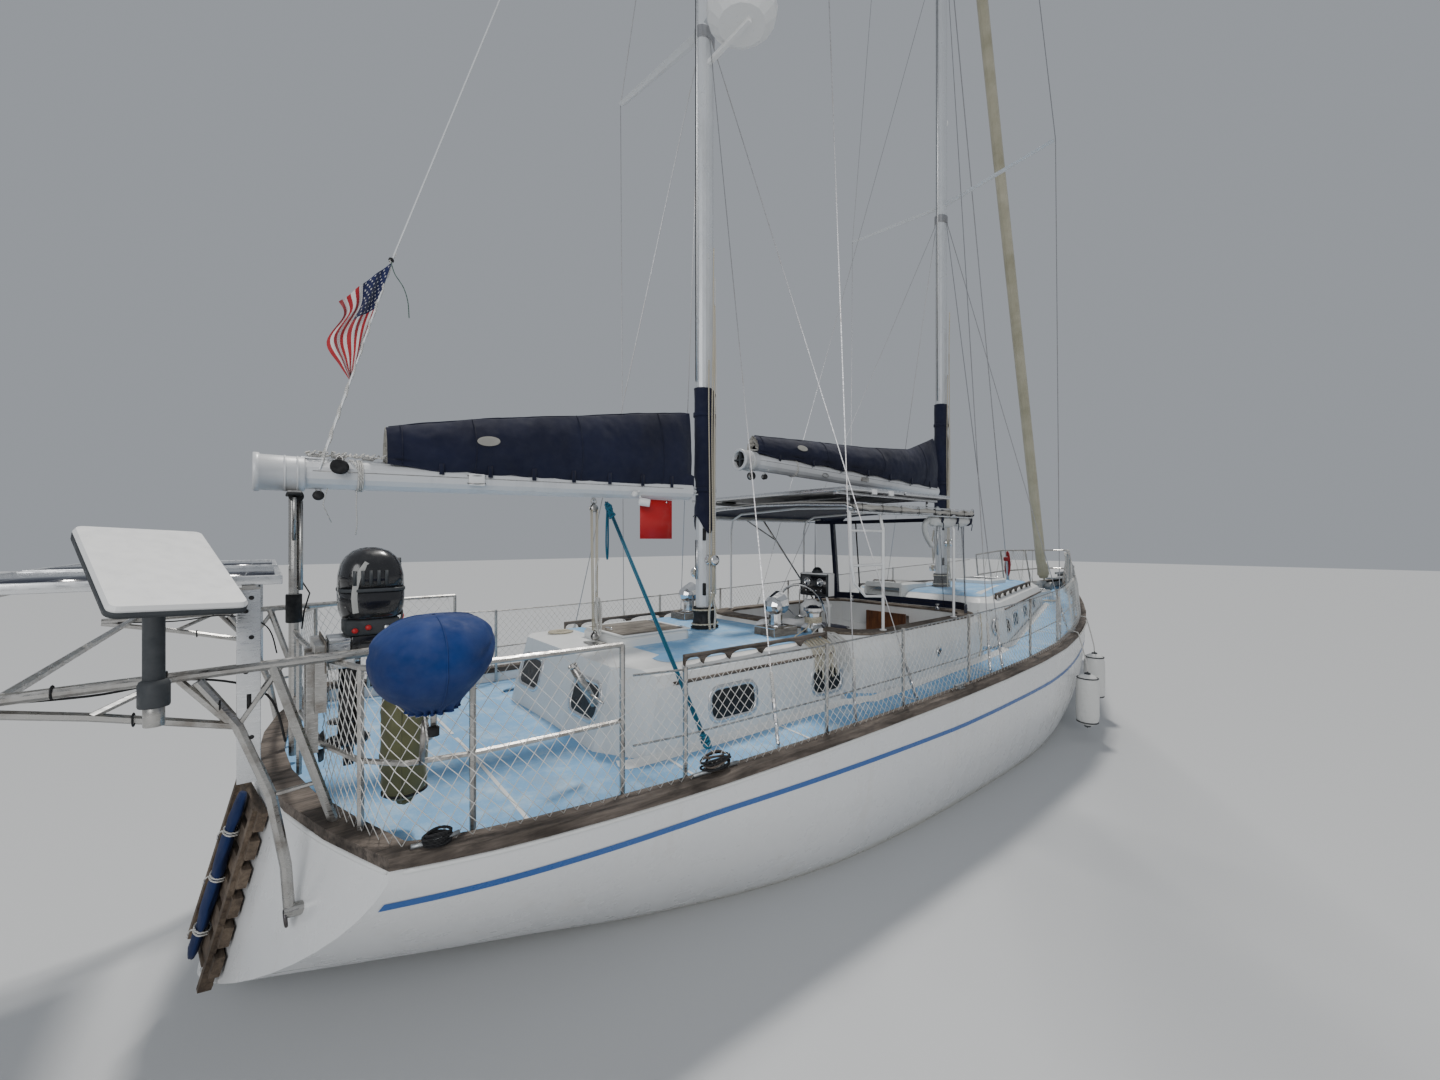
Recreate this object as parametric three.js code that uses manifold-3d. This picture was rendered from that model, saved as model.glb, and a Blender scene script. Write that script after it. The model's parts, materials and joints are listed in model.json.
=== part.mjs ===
// Centre-cockpit ketch, afloat: +X to the bow, +Y to port, +Z up, origin at the waterline amidships.
// Sizes below are in metres; every mesh is scaled to millimetres when it is made.
import * as THREE from 'three';
import { mergeVertices } from 'three/addons/utils/BufferGeometryUtils.js';
import Module from 'manifold-3d';

const wasm = await Module();
wasm.setup();

const MM = 1000;
const GAP = 0.0003;
const RUNNING = 0.006;
const SLIVER = 0.0001;

// driving sizes
const BULWARK = 0.07;
const DECK_DROP = 0.085;
const DECK_THICK = 0.03;
const DECK_CAMBER = 0.05;
const STERN_ROUND = 0.37;
const STERN_RAKE = 0.28;
const STERN_X = -6.26;

const MAIN = { x: 1.06, base: 1.66, head: 15.2, half: [0.10, 0.07] };
const MIZZEN = { x: -3.20, base: 1.52, head: 11.5, half: [0.09, 0.065] };
const MAIN_BOOM = { pivot: 0.92, end: -2.74, z: [2.97, 3.07], radius: 0.085 };
const MIZZEN_BOOM = { pivot: -3.33, end: -6.24, z: [2.735, 2.67], radius: 0.085 };
const RUDDER_X = -4.24;
const SHAFT_Z = -0.78;
const PROP_X = -3.98;
const WHEEL = { x: -1.92, z: 1.46, radius: 0.37 };
const COAMING = { x: [-2.46, 0.10], half: [1.22, 1.20], top: 1.46, corner: 0.5 };
const TUB = { x: [-2.20, -0.15], half: 0.98, bottom: 0.62, sole: 0.70, seat: 1.10, rim: 1.20 };
const TUB_CORNER = 0.32;
const WELL = { x: [-2.02, -0.30], half: 0.42 };
const AFT_TRUNK = { x: [-4.72, -2.48], half: [1.04, 1.10], roof: 1.50 };
// its leaning aft face: x at the foot, half-width, chamfer to the sides, lean
const AFT_FACE = { x: -4.70, half: 0.73, chamfer: [0.20, 0.29], lean: 0.27 };
const MAIN_TRUNK = { x: [0.12, 3.62], half: [1.16, 0.56], roof: 1.64 };
// the folding swim platform lies along the raked, rounded transom: hinge, turn in plan, lean, half-width
const PLATFORM = { x: -6.478, y: -0.31, z: 0.33, turn: 8, lean: 14.3, half: 0.30, ears: 0.16 };
const PANEL_Z = 2.15;
const BIMINI = { x: [-2.50, -0.09], half: 1.12, corner: 0.34, hoop: 2.60, cloth: 2.617, panels: 2.72 };

// hull stations: x, half-breadth at the sheer, sheer height, height and half-width of the bottom,
// and the two exponents of the section between them
const STATIONS = [
  { x: -6.26, hb: 1.57, zs: 1.10, zb: 0.10, kb: 0.03, a: 1.68, b: 1.0 },
  { x: -5.40, hb: 1.62, zs: 1.05, zb: -0.20, kb: 0.05, a: 1.88, b: 0.98 },
  { x: -4.40, hb: 1.66, zs: 1.01, zb: -0.42, kb: 0.08, a: 2.08, b: 0.75 },
  { x: -3.00, hb: 1.73, zs: 1.02, zb: -0.62, kb: 0.12, a: 2.7, b: 0.58 },
  { x: -1.20, hb: 1.78, zs: 1.06, zb: -0.74, kb: 0.14, a: 2.8, b: 0.55 },
  { x: 0.45, hb: 1.74, zs: 1.12, zb: -0.76, kb: 0.15, a: 2.8, b: 0.56 },
  { x: 1.90, hb: 1.50, zs: 1.21, zb: -0.72, kb: 0.14, a: 2.5, b: 0.60 },
  { x: 3.20, hb: 1.10, zs: 1.30, zb: -0.58, kb: 0.12, a: 2.1, b: 0.68 },
  { x: 4.30, hb: 0.68, zs: 1.38, zb: -0.26, kb: 0.09, a: 1.8, b: 0.76 },
  { x: 5.10, hb: 0.34, zs: 1.44, zb: 0.26, kb: 0.05, a: 1.6, b: 0.82 },
  { x: 5.60, hb: 0.15, zs: 1.48, zb: 0.84, kb: 0.04, a: 1.5, b: 0.86 },
  { x: 5.85, hb: 0.05, zs: 1.51, zb: 1.28, kb: 0.03, a: 1.5, b: 0.90 },
];

// materials: colour, roughness, metalness
const LOOKS = {
  gelcoat: [0xe9ebea, 0.35, 0.0],
  deck_blue: [0x9fc4e4, 0.75, 0.0],
  antifoul: [0x20304a, 0.8, 0.0],
  teak: [0x857a6b, 0.85, 0.0],
  brown_wood: [0x6b4426, 0.6, 0.0],
  bronze: [0x8c6a35, 0.4, 0.9],
  engine: [0x3f5a4a, 0.6, 0.2],
  spar: [0xd7d9da, 0.4, 0.6],
  stainless: [0xc4c8cb, 0.25, 1.0],
  navy_canvas: [0x10183a, 0.9, 0.0],
  blue_canvas: [0x1450c8, 0.9, 0.0],
  sail_cloth: [0xa9a48a, 0.9, 0.0],
  solar: [0x0c0f14, 0.2, 0.1],
  black: [0x15171a, 0.5, 0.0],
  white_plastic: [0xf0f0ee, 0.4, 0.0],
  clear_vinyl: [0xc9ced2, 0.1, 0.0],
  fender: [0xeeeeea, 0.5, 0.0],
  olive: [0x5c6146, 0.8, 0.0],
  red: [0xb3161b, 0.7, 0.0],
  galvanised: [0x8f9497, 0.5, 0.8],
};

const root = new THREE.Group();

// conversions
function toManifold(geometry) {
  let plain = geometry.clone();
  plain.deleteAttribute('normal');
  plain.deleteAttribute('uv');
  plain = mergeVertices(plain, 1e-7);
  const mesh = new wasm.Mesh({
    numProp: 3,
    vertProperties: new Float32Array(plain.attributes.position.array),
    triVerts: new Uint32Array(plain.index.array),
  });
  return new wasm.Manifold(mesh);
}

function toGeometry(solid) {
  const mesh = solid.getMesh();
  const geometry = new THREE.BufferGeometry();
  const positions = Float32Array.from(mesh.vertProperties, (v) => v * MM);
  geometry.setAttribute('position', new THREE.BufferAttribute(positions, 3));
  geometry.setIndex(new THREE.BufferAttribute(new Uint32Array(mesh.triVerts), 1));
  geometry.computeVertexNormals();
  return geometry;
}

// a cut can leave slivers thinner than its gap: the piece itself is kept, real pieces are never dropped
function withoutSlivers(name, solid) {
  const pieces = solid.decompose().sort((p, q) => q.volume() - p.volume());
  if (pieces.length > 1 && pieces[1].volume() > 5e-5) {
    throw new Error(`${name} falls apart: ${pieces.map((p) => p.volume())}`);
  }
  return pieces[0].simplify(SLIVER);
}

function add(name, body, look) {
  const solid = withoutSlivers(name, body);
  const [color, roughness, metalness] = LOOKS[look];
  const material = new THREE.MeshStandardMaterial({ color, roughness, metalness });
  const mesh = new THREE.Mesh(toGeometry(solid), material);
  mesh.name = name;
  root.add(mesh);
}

const fuse = (solids) => solids.reduce((sum, next) => sum.add(next));

// shapes
// rings: equal-length closed loops of [x, y, z]; the ends are closed by a fan from their centre
function loft(rings) {
  const count = rings[0].length;
  const points = rings.flat();
  const faces = [];
  for (let r = 0; r + 1 < rings.length; r += 1) {
    for (let i = 0; i < count; i += 1) {
      const j = (i + 1) % count;
      const [a, b, c, d] = [r * count + i, r * count + j, (r + 1) * count + j, (r + 1) * count + i];
      faces.push([a, b, c], [a, c, d]);
    }
  }
  for (const [r, flip] of [[0, true], [rings.length - 1, false]]) {
    const centre = [0, 1, 2].map((k) => rings[r].reduce((s, p) => s + p[k], 0) / count);
    points.push(centre);
    const c = points.length - 1;
    for (let i = 0; i < count; i += 1) {
      const [a, b] = [r * count + i, r * count + ((i + 1) % count)];
      faces.push(flip ? [c, b, a] : [c, a, b]);
    }
  }
  return fromFaces(points, faces);
}

function fromFaces(points, faces) {
  let volume = 0;
  for (const [a, b, c] of faces) {
    const [p, q, s] = [points[a], points[b], points[c]];
    volume += p[0] * (q[1] * s[2] - q[2] * s[1]) + p[1] * (q[2] * s[0] - q[0] * s[2])
      + p[2] * (q[0] * s[1] - q[1] * s[0]);
  }
  const geometry = new THREE.BufferGeometry();
  geometry.setAttribute('position', new THREE.Float32BufferAttribute(points.flat(), 3));
  geometry.setIndex(faces.flatMap(([a, b, c]) => (volume > 0 ? [a, b, c] : [a, c, b])));
  return toManifold(geometry);
}

function box(x, y, z) {
  const geometry = new THREE.BoxGeometry(x[1] - x[0], y[1] - y[0], z[1] - z[0]);
  geometry.translate((x[0] + x[1]) / 2, (y[0] + y[1]) / 2, (z[0] + z[1]) / 2);
  return toManifold(geometry);
}

// straight round bar between two points, with its own end radius
function bar(from, to, radius, sides = 6, endRadius = radius) {
  const [p, q] = [new THREE.Vector3(...from), new THREE.Vector3(...to)];
  const span = q.clone().sub(p);
  const geometry = new THREE.CylinderGeometry(endRadius, radius, span.length(), sides);
  geometry.applyQuaternion(new THREE.Quaternion().setFromUnitVectors(
    new THREE.Vector3(0, 1, 0), span.clone().normalize()));
  geometry.translate(...p.add(q).multiplyScalar(0.5).toArray());
  return toManifold(geometry);
}

// bent tube through points: one ring at every point, square to the path there
function tube(path, radius, sides = 6, closed = false) {
  const points = path.map((p) => new THREE.Vector3(...p));
  const count = points.length;
  const rings = [];
  let side = null;
  for (let i = 0; i < count; i += 1) {
    const before = points[closed ? (i + count - 1) % count : Math.max(i - 1, 0)];
    const after = points[closed ? (i + 1) % count : Math.min(i + 1, count - 1)];
    const along = after.clone().sub(before).normalize();
    if (!side) side = new THREE.Vector3(Math.abs(along.z) > 0.9 ? 1 : 0, 0, Math.abs(along.z) > 0.9 ? 0 : 1);
    side.sub(along.clone().multiplyScalar(side.dot(along))).normalize();
    const other = along.clone().cross(side);
    const ring = [];
    for (let k = 0; k < sides; k += 1) {
      const angle = (2 * Math.PI * k) / sides;
      ring.push(points[i].clone()
        .addScaledVector(side, radius * Math.cos(angle))
        .addScaledVector(other, radius * Math.sin(angle)).toArray());
    }
    rings.push(ring);
  }
  if (!closed) return loft(rings);
  const faces = [];
  for (let r = 0; r < count; r += 1) {
    for (let k = 0; k < sides; k += 1) {
      const [s, j] = [(r + 1) % count, (k + 1) % sides];
      faces.push([r * sides + k, r * sides + j, s * sides + j], [r * sides + k, s * sides + j, s * sides + k]);
    }
  }
  return fromFaces(rings.flat(), faces);
}

// round body turned about a vertical line at [x, y]: profile rows of [radius, z]
function turned(x, y, profile, sides = 16) {
  const geometry = new THREE.LatheGeometry(profile.map(([r, z]) => new THREE.Vector2(r, z)), sides);
  geometry.rotateX(Math.PI / 2);
  geometry.translate(x, y, 0);
  return toManifold(geometry);
}

// plan outline with round corners: half-breadths at both ends, moved in by inset
function planRing(x, half, corner, inset, z) {
  const ring = [];
  const radius = Math.max(corner - inset, 0.01);
  const corners = [
    [x[1] - inset, half[1] - inset, 1, 1, 0],
    [x[0] + inset, half[0] - inset, -1, 1, 1],
    [x[0] + inset, -half[0] + inset, -1, -1, 2],
    [x[1] - inset, -half[1] + inset, 1, -1, 3],
  ];
  for (const [cx, cy, sx, sy, turn] of corners) {
    for (let k = 0; k <= 4; k += 1) {
      const angle = ((turn + k / 4) * Math.PI) / 2;
      ring.push([cx - sx * radius + radius * Math.cos(angle), cy - sy * radius + radius * Math.sin(angle), z]);
    }
  }
  return ring;
}

// hull surface
function station(x) {
  const last = STATIONS.length - 1;
  let i = STATIONS.findIndex((s) => s.x > x) - 1;
  if (i < 0) i = x < 0 ? 0 : last - 1;
  const [p, q] = [STATIONS[i], STATIONS[i + 1]];
  const t = (x - p.x) / (q.x - p.x);
  const result = { x };
  for (const key of ['hb', 'zs', 'zb', 'kb', 'a', 'b']) {
    const before = STATIONS[Math.max(i - 1, 0)];
    const after = STATIONS[Math.min(i + 2, last)];
    const m0 = ((q[key] - before[key]) / (q.x - before.x)) * (q.x - p.x);
    const m1 = ((after[key] - p[key]) / (after.x - p.x)) * (q.x - p.x);
    result[key] = (2 * t ** 3 - 3 * t ** 2 + 1) * p[key] + (t ** 3 - 2 * t ** 2 + t) * m0
      + (-2 * t ** 3 + 3 * t ** 2) * q[key] + (t ** 3 - t ** 2) * m1;
  }
  return result;
}

// the stern is round in plan and leans a little: moves a point of a flat section there
function sternWarp([x, y, z]) {
  const w = Math.min(Math.max((-4.9 - x) / (-4.9 - STERN_X), 0), 1) ** 2;
  return [x + w * (STERN_ROUND * (y / 1.57) ** 2 - STERN_RAKE * (1 - z / 1.1)), y, z];
}

const LEVELS = [0, 0.05, 0.13, 0.25, 0.4, 0.58, 0.78, 1];
const sectionWidth = (s, u) => s.kb + (s.hb - s.kb) * (1 - (1 - u) ** s.a) ** s.b;

function hullRing(x) {
  const s = station(x);
  const left = LEVELS.map((u) => [x, sectionWidth(s, u), s.zb + u * (s.zs - s.zb)]);
  const right = left.map(([px, y, z]) => [px, -y, z]).reverse();
  return [...left, ...right].map(sternWarp);
}

const HULL_XS = STATIONS.slice(1).flatMap((next, i) => {
  const steps = i < 2 ? 3 : 2;
  const start = STATIONS[i].x;
  return Array.from({ length: steps }, (_, k) => start + ((next.x - start) * k) / steps);
}).concat(STATIONS[STATIONS.length - 1].x);
const ACROSS = [1, 0.75, 0.5, 0.25, 0, -0.25, -0.5, -0.75, -1];

function hullBody() {
  const rings = HULL_XS.map(hullRing);
  const count = rings[0].length;
  const points = rings.flat();
  const faces = [];
  for (let r = 0; r + 1 < rings.length; r += 1) {
    for (let i = 0; i < count; i += 1) {
      const j = (i + 1) % count;
      const [a, b, c, d] = [r * count + i, r * count + j, (r + 1) * count + j, (r + 1) * count + i];
      faces.push([a, b, c], [a, c, d]);
    }
  }
  const end = (rings.length - 1) * count;
  const rows = LEVELS.length;
  for (let k = 0; k + 1 < rows; k += 1) {
    const [a, b] = [end + k, end + k + 1];
    const [c, d] = [end + count - 2 - k, end + count - 1 - k];
    faces.push([a, b, c], [a, c, d]);
  }
  // the transom is curved, so its rows get points between the two edges
  const columns = 8;
  const grid = [];
  for (let k = 0; k < rows; k += 1) {
    const row = [k];
    const s = station(STERN_X);
    const y = sectionWidth(s, LEVELS[k]);
    const z = s.zb + LEVELS[k] * (s.zs - s.zb);
    for (let c = 1; c < columns; c += 1) {
      points.push(sternWarp([STERN_X, y * (1 - (2 * c) / columns), z]));
      row.push(points.length - 1);
    }
    row.push(count - 1 - k);
    grid.push(row);
  }
  for (let k = 0; k + 1 < rows; k += 1) {
    for (let c = 0; c < columns; c += 1) {
      const [a, b, p, q] = [grid[k][c], grid[k][c + 1], grid[k + 1][c + 1], grid[k + 1][c]];
      faces.push([a, b, p], [a, p, q]);
    }
  }
  // fill between the curved rows and the straight ends of the sheer plane and of the bottom strip
  for (let c = 1; c < columns; c += 1) {
    faces.push([grid[rows - 1][0], grid[rows - 1][c], grid[rows - 1][c + 1]]);
    faces.push([grid[0][0], grid[0][c + 1], grid[0][c]]);
  }
  return fromFaces(points, faces);
}

// slab over the hull's plan, moved in by inset: low and high are heights above base(x), the top crowned
// by up to crown
function planSlab(inset, base, low, high, crown = 0) {
  const xs = HULL_XS.map((x) => Math.min(Math.max(x, STERN_X + inset), 5.85 - 1.5 * inset));
  const rings = [...new Set(xs)].map((x) => {
    const slope = (station(Math.min(x + 0.04, 5.84)).hb - station(Math.max(x - 0.04, STERN_X)).hb) / 0.08;
    const half = Math.max(station(x).hb - inset * Math.sqrt(1 + slope ** 2), 0.02);
    const rise = (k) => crown * Math.min(half, 1) * (1 - k * k);
    const top = ACROSS.map((k) => [x, half * k, base(x) + high + rise(k)]);
    const bottom = [...ACROSS].reverse().map((k) => [x, half * k, base(x) + low]);
    return [...top, ...bottom].map(sternWarp);
  });
  return loft(rings);
}

const sheer = (x) => station(x).zs;
const deckEdge = (x) => sheer(x) - DECK_DROP;
const belowDeckTop = planSlab(BULWARK - 0.02, deckEdge, -3, GAP, DECK_CAMBER);
const onDeck = (solid) => solid.subtract(belowDeckTop);

function deckTop(x, y) {
  const half = Math.max(station(x).hb - BULWARK, 0.05);
  return deckEdge(x) + DECK_CAMBER * Math.min(half, 1) * Math.max(1 - (y / half) ** 2, 0);
}

// a mirrored pair from one starboard solid
const mirrored = (solid) => solid.mirror([0, 1, 0]);

// hull, deck, keel and steering gear
const tubPocket = loft([TUB.bottom - GAP, 3].map((z) => (
  planRing(TUB.x, [TUB.half, TUB.half], TUB_CORNER, -GAP, z))));
const engineBay = box([-1.76, -0.54], [-0.33, 0.33], [-0.30, TUB.bottom + 0.01]);
const companionRecess = box([-0.31, 0.06], [-0.22, 0.22], [0.76, 1.36]);
const foreWell = box([3.98, 4.40], [-0.22, 0.22], [1.00, 2.0]);
const rudderTube = bar([RUDDER_X, 0, -1], [RUDDER_X, 0, 0.08], 0.0309, 16);

const hullSolid = hullBody();
const atPlatform = (solid) => solid.rotate([0, 0, PLATFORM.turn]).translate([PLATFORM.x, PLATFORM.y, PLATFORM.z]);
const platformEars = atPlatform(fuse([-1, 1].map((side) => box([-0.022, 0.20],
  [side * PLATFORM.ears - 0.015, side * PLATFORM.ears + 0.015], [-0.03, 0.03]))));
const hull = hullSolid
  .subtract(planSlab(BULWARK, deckEdge, -DECK_THICK, 2))
  .subtract(tubPocket)
  .subtract(engineBay)
  .subtract(companionRecess)
  .subtract(foreWell)
  .subtract(rudderTube)
  .add(platformEars)
  .subtract(atPlatform(bar([0, -0.4, 0], [0, 0.4, 0], 0.015, 10)));
add('hull', hull, 'gelcoat');

const deck = planSlab(BULWARK + 0.003, deckEdge, -DECK_THICK + GAP, 0, DECK_CAMBER)
  .subtract(hull.translate([GAP, 0, 0]))
  .subtract(tubPocket)
  .subtract(companionRecess)
  .subtract(foreWell);
add('deck', deck, 'deck_blue');
const footed = (solid) => solid.subtract(deck.translate([0, 0, GAP]));

// the cap rail runs round the whole sheer as one closed loop: outer and inner overhang, thickness
const CAP = { out: 0.022, inner: 0.088, low: 0.003, high: 0.048 };
function capRailBody() {
  const side = HULL_XS.map((x) => {
    const [ex, ey, ez] = sternWarp([x, station(x).hb, sheer(x)]);
    return { outer: [ex, ey + CAP.out], inner: [ex, Math.max(ey - CAP.inner, 0.012)], z: ez };
  });
  const corner = side[0];
  corner.outer = [corner.outer[0] - 0.02, corner.outer[1] - 0.004];
  corner.inner = [corner.inner[0] + 0.05, corner.inner[1] + 0.01];
  const bow = side[side.length - 1];
  bow.outer = [bow.outer[0] + 0.03, bow.outer[1]];
  bow.inner = [bow.inner[0] - 0.10, 0.014];
  const across = ACROSS.slice(1, -1).map((k) => {
    const [ex, ey, ez] = sternWarp([STERN_X, k * 1.57, sheer(STERN_X)]);
    return { outer: [ex - CAP.out, ey], inner: [ex + CAP.inner, ey * 0.97], z: ez };
  });
  const flip = ({ outer, inner, z }) => ({ outer: [outer[0], -outer[1]], inner: [inner[0], -inner[1]], z });
  const loop = [...side.slice().reverse(), ...across, ...side.map(flip)];
  const rings = loop.map(({ outer, inner, z }) => [
    [...outer, z + CAP.low], [...inner, z + CAP.low], [...inner, z + CAP.high], [...outer, z + CAP.high]]);
  const count = rings.length;
  const faces = [];
  for (let r = 0; r < count; r += 1) {
    for (let k = 0; k < 4; k += 1) {
      const [s, j] = [(r + 1) % count, (k + 1) % 4];
      faces.push([r * 4 + k, r * 4 + j, s * 4 + j], [r * 4 + k, s * 4 + j, s * 4 + k]);
    }
  }
  return fromFaces(rings.flat(), faces);
}
const capRail = capRailBody();
add('cap_rail', capRail, 'teak');
const onCapRail = (solid) => solid.subtract(capRail).subtract(capRail.translate([0, 0, GAP]))
  .subtract(hullSolid.translate([0, 0, GAP]));

// keel sections: x, half-thickness at the root, in the middle and at the foot, foot height
const KEEL = [
  [-3.74, 0.040, 0.040, 0.035, -1.50],
  [-3.20, 0.085, 0.085, 0.070, -1.52],
  [-2.00, 0.140, 0.140, 0.110, -1.52],
  [0.00, 0.160, 0.160, 0.120, -1.52],
  [1.30, 0.140, 0.140, 0.100, -1.46],
  [2.40, 0.105, 0.100, 0.070, -1.26],
  [3.10, 0.060, 0.055, 0.040, -0.98],
  [3.50, 0.030, 0.028, 0.020, -0.72],
];
const keelBody = loft(KEEL.map(([x, root, middle, foot, z]) => [
  [x, root, -0.38], [x, middle, (z - 0.4) / 2], [x, foot, z],
  [x, -foot, z], [x, -middle, (z - 0.4) / 2], [x, -root, -0.38],
]));
const keelShoe = box([-4.36, -3.5], [-0.035, 0.035], [-1.52, -1.46]);
const keel = keelBody.add(keelShoe)
  .subtract(hullSolid.translate([0, 0, -GAP]))
  .subtract(bar([PROP_X, 0, SHAFT_Z], [-3.30, 0, SHAFT_Z], 0.0192, 16));
add('ballast_keel', keel, 'antifoul');

add('engine', box([-1.74, -0.56], [-0.28, 0.28], [-0.30 + GAP, 0.56]), 'engine');

// rudder sections: height, leading edge, trailing edge, half-thickness
const RUDDER = [
  [-1.452, -4.18, -4.96, 0.025],
  [-1.10, -4.18, -5.02, 0.032],
  [-0.70, -4.18, -4.98, 0.036],
  [-0.50, -4.18, -4.86, 0.036],
];
const rudderBlade = loft(RUDDER.map(([z, lead, trail, t]) => [
  [lead, 0, z], [lead - 0.03, t * 0.8, z], [lead - 0.16, t, z], [trail, 0.006, z],
  [trail, -0.006, z], [lead - 0.16, -t, z], [lead - 0.03, -t * 0.8, z],
]));
add('rudder', rudderBlade.add(bar([RUDDER_X, 0, -0.6], [RUDDER_X, 0, 0.05], 0.030, 16)), 'antifoul');

function propellerBlade(turn) {
  // radius, chord, twist in degrees
  const rows = [[0.02, 0.06, 62], [0.10, 0.13, 42], [0.18, 0.13, 30], [0.235, 0.05, 24]];
  const rings = rows.map(([r, chord, twist]) => {
    const t = THREE.MathUtils.degToRad(twist);
    return [[-0.5, 0], [-0.15, 0.008], [0.25, 0.007], [0.5, 0], [0.25, -0.004], [-0.15, -0.004]].map(([u, v]) => (
      [PROP_X + u * chord * Math.sin(t) + v * Math.cos(t), u * chord * Math.cos(t) - v * Math.sin(t), r]));
  });
  const spun = rings.map((ring) => ring.map(([x, y, z]) => [
    x, y * Math.cos(turn) - z * Math.sin(turn), SHAFT_Z + y * Math.sin(turn) + z * Math.cos(turn)]));
  return loft(spun);
}
const propeller = fuse([
  bar([PROP_X + 0.07, 0, SHAFT_Z], [PROP_X - 0.08, 0, SHAFT_Z], 0.045, 16, 0.022),
  bar([PROP_X, 0, SHAFT_Z], [-3.36, 0, SHAFT_Z], 0.0185, 16),
  ...[0, 1, 2].map((k) => propellerBlade((2 * Math.PI * k) / 3)),
]);
add('propeller', propeller, 'bronze');

// trunks, cockpit and hatches
// trunk levels: height, inset
const trunk = (size, corner, levels) => onDeck(loft(levels.map(([z, inset]) => (
  planRing(size.x, size.half, corner, inset, z)))));

function aftFaceRing(z) {
  const x = AFT_FACE.x + AFT_FACE.lean * (z - 0.90);
  const [dx, dy] = AFT_FACE.chamfer;
  const side = [[x, AFT_FACE.half], [x + dx, AFT_FACE.half + dy], [x + dx + 0.12, 1.32], [-2.2, 1.32]];
  return [...side.map(([px, y]) => [px, -y, z]), ...side.reverse().map(([px, y]) => [px, y, z])];
}
const aftTrunkShell = trunk(AFT_TRUNK, 0.16, [
  [0.80, 0], [1.37, 0.03], [1.44, 0.06], [1.475, 0.14], [AFT_TRUNK.roof, 0.36]])
  .intersect(loft([0.70, 1.60].map(aftFaceRing)));
const aftWell = box([-4.18, -3.66], [-0.27, 0.27], [1.24, 2]);
add('aft_cabin_trunk', aftTrunkShell.subtract(aftWell), 'gelcoat');

const mainTrunkShell = trunk(MAIN_TRUNK, 0.34, [
  [0.90, 0], [1.46, 0.06], [1.55, 0.11], [1.60, 0.20], [MAIN_TRUNK.roof, 0.42]]);
const slideRails = [[0.10, 0.13], [0.65, 0.68]].map((y) => box([0.20, 1.34], y, [1.5, 1.66]));
const mainTrunk = mainTrunkShell
  .subtract(box([0.30, 0.76], [0.16, 0.62], [1.35, 2]))
  .subtract(box([2.06, 2.50], [-0.22, 0.22], [1.35, 2]))
  .add(fuse(slideRails));
add('main_cabin_trunk', mainTrunk, 'gelcoat');

const coamingShape = (top, inset) => loft([[0.80, 0], [1.28, 0.02], [1.41, 0.05], [top, inset]].map(
  ([z, i]) => planRing(COAMING.x, COAMING.half, COAMING.corner, i, z)));
const coaming = onDeck(coamingShape(COAMING.top, 0.09)).subtract(tubPocket).subtract(companionRecess);
add('cockpit_coaming', coaming, 'gelcoat');

const capBottom = COAMING.top + GAP;
const coamingCap = loft([capBottom, COAMING.top + 0.024].map((z) => (
  planRing(COAMING.x, COAMING.half, COAMING.corner, 0.10, z)))).subtract(
  loft([1, 3].map((z) => planRing(TUB.x, [TUB.half, TUB.half], TUB_CORNER, 0.01, z))));
add('coaming_cap', coamingCap, 'teak');

const tub = loft([TUB.bottom, TUB.rim].map((z) => planRing(TUB.x, [TUB.half, TUB.half], TUB_CORNER, 0, z)))
  .subtract(loft([TUB.seat, 3].map((z) => planRing(TUB.x, [TUB.half, TUB.half], TUB_CORNER, 0.04, z))))
  .subtract(box(WELL.x, [-WELL.half, WELL.half], [TUB.sole, 3]))
  .subtract(companionRecess);
add('cockpit_tub', tub, 'gelcoat');

const cushion = loft([[TUB.seat + GAP, 0.01], [TUB.seat + 0.05, 0], [TUB.seat + 0.08, 0.02]].map(([z, inset]) => (
  planRing([-1.92, -0.42], [0.24, 0.24], 0.12, inset, z)))).translate([0, 0.685, 0]);
add('seat_cushion_port', cushion, 'navy_canvas');
add('seat_cushion_stbd', mirrored(cushion), 'navy_canvas');

add('companionway_door', box([-0.3283, -0.3003], [-0.27, 0.28], [0.73, 1.40]), 'brown_wood');

const slide = box([0.22, 0.84], [0.10, 0.68], [1.66 + GAP, 1.70])
  .add(box([0.22, 0.25], [0.12, 0.66], [1.69, 1.725]));
add('companionway_hatch', slide, 'gelcoat');

// hatch lids: name, x range, half-width, low and high height, what they stand on
const lid = (x, half, z) => loft([[z[0], 0], [z[1] - 0.02, 0], [z[1], 0.025]].map(([level, inset]) => (
  planRing(x, [half, half], 0.06, inset, level))));
add('aft_hatch', lid([-4.24, -3.60], 0.33, [1.40, 1.575]).subtract(aftTrunkShell.translate([0, 0, GAP])), 'gelcoat');
add('main_hatch', lid([2.00, 2.56], 0.28, [1.60, 1.71]).subtract(mainTrunkShell.translate([0, 0, GAP])), 'gelcoat');
add('fore_hatch', footed(lid([3.92, 4.46], 0.28, [1.285, 1.42]))
  .subtract(box([3.975, 4.405], [-0.225, 0.225], [1.2, 1.36])), 'gelcoat');

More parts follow.
